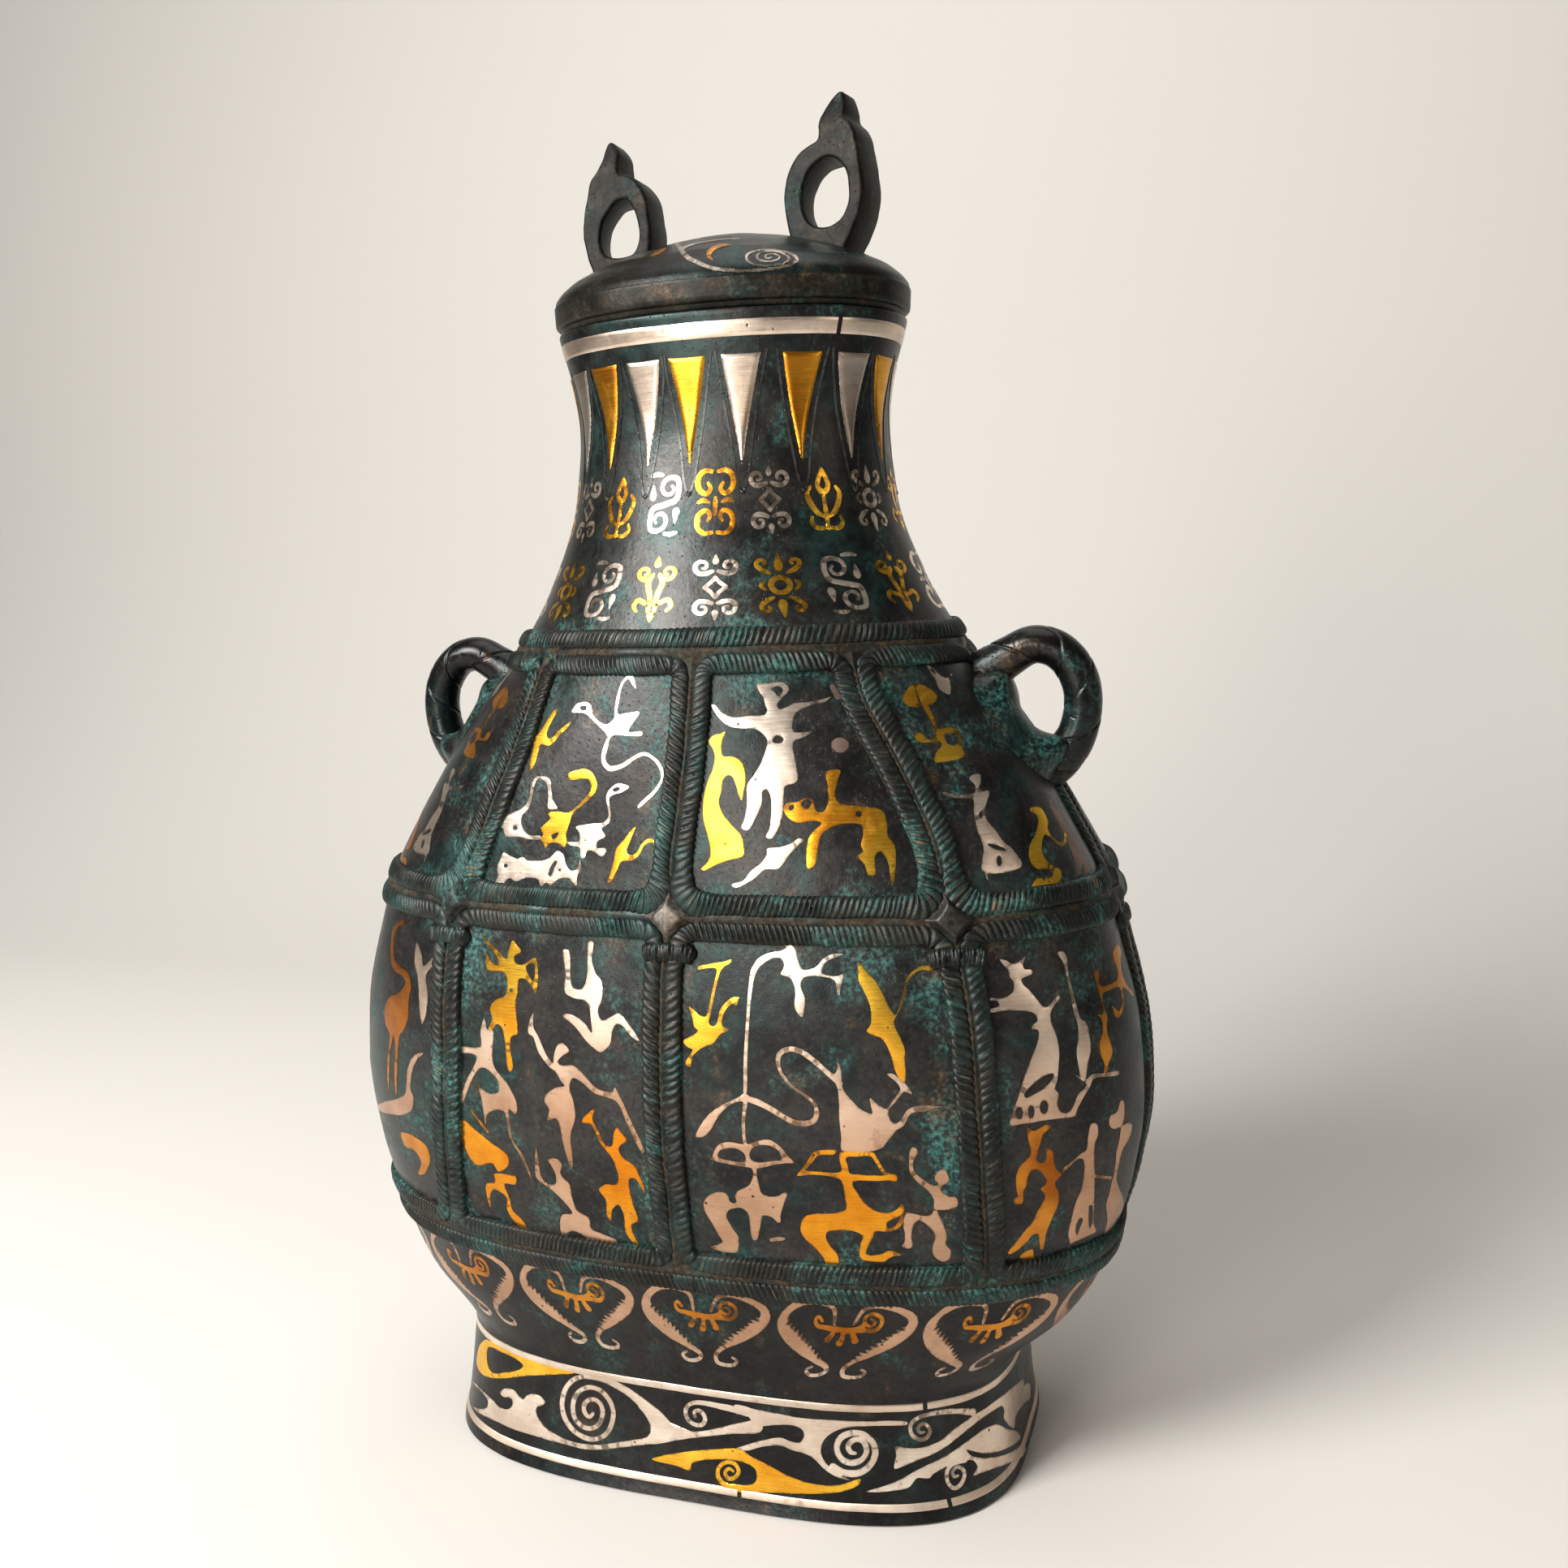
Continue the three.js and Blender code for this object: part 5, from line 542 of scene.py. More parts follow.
    'lid_s': [('r',[(-11.5,-19.3),(-10.2,-22.2),(-9.1,-24.5),(-8.3,-26.1),(-7.4,-27.9),(-6.6,-29.5),(-5.9,-30.8),(-5.2,-32.1),(-4.7,-32.9),(-4.2,-33.6),(-3.5,-34.5),(-3.0,-35.2),(-2.5,-35.8),(-2.0,-36.4),(-1.5,-36.9),(-1.0,-37.6),(-0.5,-38.0),(-0.1,-38.3),(0.4,-38.6),(0.8,-38.8),(1.2,-39.1),(1.6,-39.3),(2.0,-39.4),(2.5,-39.7),(2.8,-39.8),(3.2,-39.9),(3.7,-40.1),(4.0,-40.2),(4.4,-40.4),(4.8,-40.6),(5.2,-40.7),(5.6,-41.0),(6.0,-41.1),(6.5,-41.3),(6.8,-41.3),(7.2,-41.4),(7.6,-41.4),(8.1,-41.5),(8.4,-41.5),(8.7,-41.5),(9.1,-41.5),(9.5,-41.6),(9.8,-41.6),(10.2,-41.6),(10.6,-41.6),(11.0,-41.5),(11.3,-41.5),(11.7,-41.5),(12.1,-41.5),(12.5,-41.5),(12.8,-41.5),(13.2,-41.5),(13.6,-41.5),(13.9,-41.4),(14.3,-41.4),(14.7,-41.4),(15.0,-41.3),(15.4,-41.3),(15.8,-41.3),(16.1,-41.2),(16.5,-41.2),(16.8,-41.1),(17.2,-41.1),(17.5,-41.1),(17.8,-41.0),(18.2,-41.0),(18.5,-40.8),(18.9,-40.9),(19.2,-40.7),(19.6,-40.6),(19.9,-40.6),(20.3,-40.5),(20.7,-40.5),(21.0,-40.4),(21.3,-40.3),(21.7,-40.3),(22.0,-40.2),(22.3,-40.1),(22.7,-40.0),(23.0,-39.9),(23.4,-39.9),(23.7,-39.8),(24.0,-39.7),(24.3,-39.6),(24.6,-39.5),(25.0,-39.4),(25.3,-39.2),(25.7,-39.1),(26.0,-39.0),(26.4,-38.9),(26.7,-38.8),(27.1,-38.7),(27.4,-38.6),(27.7,-38.5),(28.1,-38.4),(28.4,-38.1),(28.7,-38.0),(29.1,-37.9),(29.4,-37.8),(29.8,-37.6),(30.1,-37.5),(30.4,-37.2),(30.8,-37.1),(31.1,-36.9),(31.4,-36.8),(31.6,-36.6),(32.1,-36.5),(32.4,-36.3),(32.7,-36.1),(33.0,-35.9),(33.2,-35.7),(33.5,-35.5),(33.7,-35.3),(34.0,-35.1),(34.3,-34.9),(34.5,-34.7),(34.6,-34.2),(34.5,-33.5),(34.2,-33.0),(33.7,-32.6),(33.4,-32.5),(33.1,-32.4),(32.7,-32.3),(32.3,-32.2),(31.9,-32.2),(31.5,-32.2),(31.2,-32.1),(30.8,-32.0),(30.4,-31.9),(30.1,-31.9),(29.7,-31.7),(29.3,-31.7),(29.0,-31.7),(28.6,-31.7),(28.2,-31.7),(27.9,-31.7),(27.5,-31.7),(27.1,-31.7),(26.8,-31.8),(26.4,-31.8),(26.7,-32.9),(27.1,-32.9),(27.4,-32.9),(27.8,-32.9),(28.2,-32.9),(28.5,-32.9),(28.9,-32.9),(29.2,-32.9),(29.5,-33.0),(29.9,-33.0),(30.2,-32.8),(30.5,-32.8),(30.9,-32.9),(31.2,-32.9),(31.5,-33.0),(31.8,-33.1),(32.1,-33.0),(32.5,-33.2),(32.8,-33.3),(33.1,-33.5),(33.5,-33.8),(33.6,-34.1),(33.4,-34.3),(33.3,-34.6),(33.1,-35.0),(32.9,-35.3),(32.7,-35.5),(32.2,-35.8),(31.9,-36.0),(31.7,-36.3),(31.3,-36.4),(31.0,-36.6),(30.7,-36.6),(30.5,-36.8),(30.1,-36.9),(29.8,-37.2),(29.5,-37.3),(29.2,-37.5),(28.8,-37.6),(28.4,-37.7),(28.2,-37.9),(27.9,-38.0),(27.5,-38.1),(27.2,-38.2),(26.9,-38.3),(26.5,-38.4),(26.2,-38.5),(25.9,-38.8),(25.5,-38.9),(25.2,-39.0),(24.8,-39.1),(24.5,-39.1),(24.2,-39.2),(23.8,-39.3),(23.5,-39.4),(23.2,-39.5),(22.9,-39.6),(22.5,-39.7),(22.2,-39.7),(21.8,-39.8),(21.5,-39.9),(21.2,-40.1),(20.8,-40.0),(20.5,-40.1),(20.2,-40.3),(19.8,-40.2),(19.5,-40.4),(19.1,-40.4),(18.8,-40.5),(18.4,-40.5),(18.1,-40.6),(17.7,-40.6),(17.4,-40.7),(17.1,-40.7),(16.7,-40.8),(16.4,-40.8),(16.0,-40.8),(15.7,-40.9),(15.3,-40.9),(14.9,-40.9),(14.6,-41.0),(14.2,-41.0),(13.8,-41.0),(13.5,-41.0),(13.2,-41.1),(12.8,-41.1),(12.5,-41.1),(12.1,-41.1),(11.8,-41.1),(11.4,-41.1),(11.0,-41.1),(10.7,-41.1),(10.3,-41.1),(10.0,-41.1),(9.6,-41.0),(9.3,-41.0),(8.9,-40.9),(8.5,-40.8),(8.2,-40.8),(7.7,-40.5),(7.3,-40.4),(6.9,-40.3),(6.5,-40.1),(6.1,-39.9),(5.7,-39.7),(5.3,-39.6),(4.9,-39.4),(4.5,-39.2),(4.1,-39.0),(3.7,-38.9),(3.3,-38.6),(2.9,-38.5),(2.5,-38.3),(2.2,-38.2),(1.8,-38.0),(1.4,-37.6),(1.1,-37.4),(0.6,-36.9),(0.1,-36.4),(-0.3,-35.9),(-0.8,-35.4),(-1.2,-34.9),(-1.6,-34.3),(-2.0,-33.8),(-2.4,-33.3),(-2.9,-32.7),(-3.5,-31.8),(-4.2,-30.5),(-4.9,-29.3),(-5.6,-27.9),(-6.4,-26.7),(-7.2,-25.2),(-8.1,-23.6),(-9.3,-21.5),(-10.4,-19.2),(-11.8,-16.5)],[]),('r',[(30.2,-33.8),(30.5,-34.0),(30.9,-34.1),(31.1,-34.3),(31.3,-34.6),(31.3,-35.2),(31.1,-35.5),(30.9,-35.8),(30.7,-36.1),(30.4,-36.3),(30.1,-36.6),(29.9,-36.8),(29.6,-36.8),(29.3,-36.9),(29.0,-37.1),(28.7,-37.2),(28.3,-37.3),(28.0,-37.6),(27.7,-37.7),(27.4,-37.8),(27.1,-37.9),(26.8,-38.0),(26.4,-38.1),(26.1,-38.2),(25.8,-38.3),(25.5,-38.4),(25.2,-38.5),(24.8,-38.5),(24.5,-38.6),(24.2,-38.7),(23.8,-38.7),(23.5,-38.8),(23.2,-38.9),(22.9,-38.9),(22.5,-38.9),(22.2,-39.0),(21.8,-38.9),(21.4,-38.8),(21.1,-38.7),(20.7,-38.5),(20.1,-38.3),(19.8,-38.0),(19.6,-37.7),(19.4,-37.3),(19.3,-37.0),(19.4,-36.5),(19.7,-36.2),(19.9,-35.9),(20.1,-35.7),(20.4,-35.3),(20.6,-35.1),(20.8,-34.9),(21.1,-34.7),(21.3,-34.5),(21.6,-34.3),(21.9,-34.1),(22.2,-34.0),(22.5,-33.7),(22.8,-33.6),(23.1,-33.5),(23.5,-33.4),(23.8,-33.3),(24.1,-33.2),(24.5,-33.1),(24.8,-33.0),(25.1,-32.9),(25.4,-32.9),(25.7,-32.8),(26.0,-32.8),(26.3,-32.7),(26.7,-32.7),(26.4,-31.7),(26.0,-31.6),(25.7,-31.7),(25.4,-31.7),(25.1,-31.8),(24.8,-31.9),(24.4,-31.9),(24.1,-32.0),(23.8,-32.1),(23.5,-32.2),(23.1,-32.4),(22.7,-32.3),(22.4,-32.6),(22.1,-32.7),(21.7,-32.8),(21.4,-32.9),(21.1,-33.1),(20.8,-33.2),(20.5,-33.5),(20.2,-33.7),(20.0,-33.9),(19.7,-34.1),(19.5,-34.5),(19.2,-34.8),(19.0,-35.2),(18.8,-35.6),(18.7,-36.2),(18.6,-36.6),(18.5,-36.9),(18.6,-37.4),(18.8,-37.8),(19.0,-38.2),(19.4,-38.5),(19.8,-38.8),(20.2,-39.1),(20.6,-39.2),(21.0,-39.3),(21.3,-39.3),(21.7,-39.3),(22.1,-39.3),(22.5,-39.2),(22.8,-39.1),(23.2,-39.1),(23.5,-39.0),(23.9,-39.0),(24.2,-38.9),(24.5,-38.8),(24.9,-38.8),(25.2,-38.7),(25.5,-38.6),(25.9,-38.5),(26.2,-38.4),(26.5,-38.2),(26.8,-38.1),(27.2,-38.0),(27.5,-37.9),(27.8,-37.8),(28.1,-37.7),(28.5,-37.6),(28.8,-37.4),(29.1,-37.3),(29.5,-37.2),(29.8,-37.0),(30.1,-36.9),(30.4,-36.8),(30.7,-36.6),(31.0,-36.3),(31.3,-36.1),(31.5,-35.9),(31.8,-35.8),(31.9,-35.5),(32.1,-34.9),(32.0,-34.3),(31.8,-33.8),(31.4,-33.5),(31.1,-33.4),(30.7,-33.3),(30.4,-33.2)],[]),('r',[(30.3,-33.2),(29.9,-33.1),(29.6,-33.0),(29.3,-33.0),(28.8,-32.8),(28.4,-32.7),(28.0,-32.6),(27.6,-32.4),(27.2,-32.4),(26.8,-32.4),(26.5,-32.5),(26.1,-32.5),(25.8,-32.6),(25.4,-32.8),(25.0,-32.8),(24.7,-33.0),(24.3,-33.1),(24.0,-33.2),(23.7,-33.5),(23.4,-33.7),(23.1,-33.8),(22.8,-34.2),(22.5,-34.5),(22.3,-35.0),(22.1,-35.3),(22.0,-35.6),(21.8,-36.0),(21.8,-36.4),(21.9,-36.8),(22.2,-37.2),(22.5,-37.5),(22.9,-37.6),(23.3,-37.7),(23.6,-37.8),(24.0,-37.8),(24.4,-37.8),(24.8,-37.8),(25.2,-37.8),(25.5,-37.7),(25.8,-37.6),(26.2,-37.5),(26.5,-37.4),(26.8,-37.3),(27.1,-37.2),(27.4,-36.9),(27.8,-36.8),(28.1,-36.6),(28.4,-36.4),(28.6,-36.1),(28.9,-35.7),(29.1,-35.3),(29.0,-34.8),(28.8,-34.5),(28.5,-34.4),(28.1,-34.3),(27.7,-34.2),(27.4,-34.1),(27.0,-34.1),(26.7,-34.3),(26.3,-34.3),(25.9,-34.4),(25.6,-34.5),(25.3,-34.7),(25.0,-34.8),(24.7,-35.0),(24.5,-35.2),(24.3,-35.7),(24.4,-36.2),(24.8,-36.5),(25.1,-36.5),(25.5,-36.5),(25.9,-36.5),(26.3,-36.2),(26.6,-36.0),(26.6,-35.6),(26.2,-35.5),(26.3,-35.8),(25.8,-36.0),(25.5,-36.1),(25.2,-36.1),(24.8,-36.0),(24.9,-35.5),(25.2,-35.2),(25.5,-35.0),(25.8,-34.9),(26.1,-34.8),(26.4,-34.7),(26.7,-34.6),(27.1,-34.6),(27.5,-34.6),(28.1,-34.7),(28.4,-34.8),(28.6,-35.0),(28.5,-35.4),(28.3,-35.7),(28.1,-35.9),(27.8,-36.1),(27.5,-36.3),(27.2,-36.5),(26.9,-36.8),(26.6,-36.9),(26.3,-37.0),(26.0,-37.1),(25.7,-37.2),(25.3,-37.1),(25.1,-37.3),(24.7,-37.2),(24.3,-37.2),(23.9,-37.2),(23.6,-37.2),(23.3,-37.2),(23.0,-37.1),(22.8,-36.9),(22.6,-36.7),(22.4,-36.4),(22.5,-35.9),(22.8,-35.4),(23.2,-35.0),(23.5,-34.8),(23.8,-34.6),(24.0,-34.4),(24.3,-34.2),(24.7,-34.1),(25.0,-33.9),(25.3,-33.7),(25.7,-33.7),(26.0,-33.6),(26.4,-33.5),(26.8,-33.5),(27.1,-33.5),(27.5,-33.5),(27.9,-33.5),(28.2,-33.5),(28.5,-33.5),(28.9,-33.5),(29.2,-33.6),(29.6,-33.7),(29.9,-33.7),(30.3,-33.8)],[]),('r',[(-4.3,-32.5),(-4.1,-32.3),(-3.9,-32.0),(-3.9,-31.5),(-3.7,-31.1),(-3.6,-30.5),(-3.6,-29.9),(-3.5,-29.3),(-3.3,-28.8),(-3.2,-28.2),(-3.0,-27.7),(-2.8,-27.3),(-2.6,-27.1),(-2.4,-26.8),(-2.1,-26.5),(-1.8,-26.3),(-1.5,-26.2),(-1.2,-26.0),(-0.9,-25.7),(-0.5,-25.6),(-0.2,-25.5),(0.1,-25.4),(0.4,-25.3),(0.8,-25.1),(1.1,-25.0),(1.5,-24.9),(1.9,-24.9),(2.3,-24.8),(2.6,-24.6),(3.0,-24.5),(3.4,-24.5),(3.7,-24.4),(4.1,-24.3),(4.4,-24.2),(4.8,-24.2),(5.1,-24.1),(5.5,-23.9),(5.9,-23.9),(6.2,-23.8),(6.6,-23.8),(6.9,-23.7),(7.3,-23.7),(7.7,-23.6),(8.1,-23.6),(8.4,-23.6),(8.8,-23.5),(9.2,-23.5),(9.5,-23.5),(9.9,-23.5),(10.3,-23.5),(10.7,-23.5),(11.0,-23.4),(11.4,-23.4),(11.8,-23.4),(12.2,-23.3),(11.6,-21.8),(11.3,-21.9),(10.9,-21.9),(10.5,-21.9),(10.1,-21.9),(9.7,-21.9),(9.4,-21.9),(9.0,-21.9),(8.6,-21.9),(8.2,-21.9),(7.8,-21.9),(7.4,-21.9),(7.0,-21.9),(6.7,-22.0),(6.3,-22.0),(5.9,-22.0),(5.5,-22.0),(5.2,-22.1),(4.8,-22.1),(4.4,-22.2),(4.0,-22.2),(3.6,-22.2),(3.3,-22.3),(2.9,-22.3),(2.6,-22.5),(2.2,-22.5),(1.8,-22.6),(1.4,-22.6),(1.0,-22.7),(0.7,-22.9),(0.2,-22.9),(-0.1,-23.0),(-0.5,-23.1),(-0.8,-23.2),(-1.1,-23.3),(-1.5,-23.4),(-1.8,-23.6),(-2.1,-23.8),(-2.5,-23.9),(-2.8,-24.2),(-3.1,-24.4),(-3.3,-24.7),(-3.7,-24.8),(-3.9,-25.0),(-4.1,-25.2),(-4.5,-25.5),(-4.8,-25.8),(-5.1,-26.2),(-5.3,-26.7),(-5.5,-27.0),(-5.6,-27.5),(-5.7,-28.1),(-5.7,-28.8),(-5.6,-29.5),(-5.6,-30.2)],[])],
    'lid_g': [('r',[(8.8,-39.0),(8.5,-38.7),(8.2,-38.3),(7.9,-38.0),(7.6,-37.6),(7.5,-37.3),(7.4,-36.9),(7.3,-36.3),(7.3,-36.0),(7.3,-35.7),(7.3,-35.3),(7.4,-34.8),(7.5,-34.4),(7.6,-34.1),(7.7,-33.8),(7.9,-33.5),(8.1,-33.2),(8.3,-33.0),(8.5,-32.7),(8.7,-32.4),(8.9,-32.2),(9.2,-32.0),(9.5,-31.9),(9.8,-31.7),(10.0,-31.5),(10.3,-31.3),(10.5,-31.0),(10.8,-30.9),(11.0,-30.7),(11.3,-30.6),(11.7,-30.5),(11.3,-29.5),(10.9,-29.3),(10.5,-29.1),(10.1,-28.9),(9.6,-28.6),(9.2,-28.5),(8.8,-28.4),(8.4,-28.4),(8.0,-28.4),(7.7,-28.5),(7.3,-28.6),(7.0,-28.8),(6.7,-29.1),(6.5,-29.4),(6.3,-29.8),(6.1,-30.3),(5.9,-30.7),(5.8,-31.3),(5.7,-31.9),(5.5,-32.5),(5.4,-33.0),(5.3,-33.6),(5.2,-34.3),(5.3,-35.0),(5.5,-35.9),(5.9,-36.9),(6.4,-37.8),(6.7,-38.2),(7.2,-38.5),(7.6,-38.8),(8.0,-38.9),(8.3,-39.0),(8.7,-39.1)],[]),('r',[(-14.9,-31.6),(-14.5,-31.8),(-14.1,-31.9),(-13.7,-31.9),(-13.3,-32.0),(-13.0,-31.9),(-12.6,-31.9),(-12.4,-31.7),(-12.1,-31.6),(-11.9,-31.1),(-11.9,-30.4),(-11.8,-29.8),(-11.9,-29.0),(-11.9,-28.2),(-12.0,-27.3),(-12.0,-26.4),(-12.0,-25.6),(-12.6,-24.3),(-13.0,-24.3),(-13.4,-24.3),(-13.9,-24.2),(-14.3,-24.2),(-14.6,-24.3),(-14.9,-24.4),(-15.1,-24.8),(-15.3,-25.3),(-15.4,-25.9),(-15.4,-26.4),(-15.5,-27.0),(-15.5,-27.7),(-15.5,-28.5),(-15.4,-29.3),(-15.4,-30.1),(-15.3,-31.0)],[])],
}


# ------------------------------------------------------------------ materials
class Nodes:
    def __init__(self, name):
        self.mat = bpy.data.materials.new(name)
        self.mat.use_nodes = True
        self.t = self.mat.node_tree
        self.t.nodes.clear()
        self.out = self.t.nodes.new("ShaderNodeOutputMaterial")
        self.b = self.t.nodes.new("ShaderNodeBsdfPrincipled")
        self.t.links.new(self.b.outputs[0], self.out.inputs[0])

    def link(self, a, b):
        self.t.links.new(a, b)

    def coord(self):
        return self.t.nodes.new("ShaderNodeTexCoord").outputs["Object"]

    def attr(self, name, vector=False):
        n = self.t.nodes.new("ShaderNodeAttribute")
        n.attribute_name = name
        return n.outputs["Vector" if vector else "Fac"]

    def noise(self, vec, scale, detail=5.0, rough=0.55, distortion=0.0):
        n = self.t.nodes.new("ShaderNodeTexNoise")
        n.inputs["Scale"].default_value = scale
        n.inputs["Detail"].default_value = detail
        n.inputs["Roughness"].default_value = rough
        n.inputs["Distortion"].default_value = distortion
        self.link(vec, n.inputs["Vector"])
        return n.outputs["Fac"]

    def voronoi(self, vec, scale, feature="F1"):
        n = self.t.nodes.new("ShaderNodeTexVoronoi")
        n.feature = feature
        n.inputs["Scale"].default_value = scale
        self.link(vec, n.inputs["Vector"])
        return n

    def scale(self, vec, xyz, rot=None):
        n = self.t.nodes.new("ShaderNodeMapping")
        n.inputs["Scale"].default_value = xyz
        if rot:
            n.inputs["Rotation"].default_value = rot
        self.link(vec, n.inputs["Vector"])
        return n.outputs[0]

    def ramp(self, val, stops, interp="LINEAR"):
        n = self.t.nodes.new("ShaderNodeValToRGB")
        n.color_ramp.interpolation = interp
        e = n.color_ramp.elements
        while len(e) < len(stops):
            e.new(0.5)
        for el, (pos, col) in zip(e, stops):
            el.position = pos
            el.color = (*col, 1.0) if len(col) == 3 else col
        self.link(val, n.inputs[0])
        return n.outputs[0]

    def step(self, val, lo, hi, a=0.0, b=1.0):
        n = self.t.nodes.new("ShaderNodeMapRange")
        n.interpolation_type = "SMOOTHSTEP"
        n.inputs["From Min"].default_value = lo
        n.inputs["From Max"].default_value = hi
        n.inputs["To Min"].default_value = a
        n.inputs["To Max"].default_value = b
        self.link(val, n.inputs["Value"])
        return n.outputs[0]

    def math(self, op, a, b=None):
        n = self.t.nodes.new("ShaderNodeMath")
        n.operation = op
        n.use_clamp = False
        for i, v in enumerate([a, b]):
            if v is None:
                continue
            if isinstance(v, (int, float)):
                n.inputs[i].default_value = v
            else:
                self.link(v, n.inputs[i])
        return n.outputs[0]

    def mix(self, fac, a, b, mode="MIX"):
        n = self.t.nodes.new("ShaderNodeMix")
        n.data_type = "RGBA"
        n.blend_type = mode
        n.clamp_factor = True
        ins = [s for s in n.inputs if s.enabled]
        for sock, v in zip((ins[0], ins[1], ins[2]), (fac, a, b)):
            if isinstance(v, (int, float)):
                sock.default_value = v
            elif isinstance(v, tuple):
                sock.default_value = (*v, 1.0)
            else:
                self.link(v, sock)
        return [o for o in n.outputs if o.enabled][0]

    def bump(self, height, strength, distance, normal=None):
        n = self.t.nodes.new("ShaderNodeBump")
        n.inputs["Strength"].default_value = strength
        n.inputs["Distance"].default_value = distance
        self.link(height, n.inputs["Height"])
        if normal is not None:
            self.link(normal, n.inputs["Normal"])
        return n.outputs[0]

    def set(self, **kw):
        for k, v in kw.items():
            sock = self.b.inputs[k.replace("_", " ")]
            if isinstance(v, (int, float)):
                sock.default_value = v
            elif isinstance(v, tuple):
                sock.default_value = (*v, 1.0)
            else:
                self.link(v, sock)


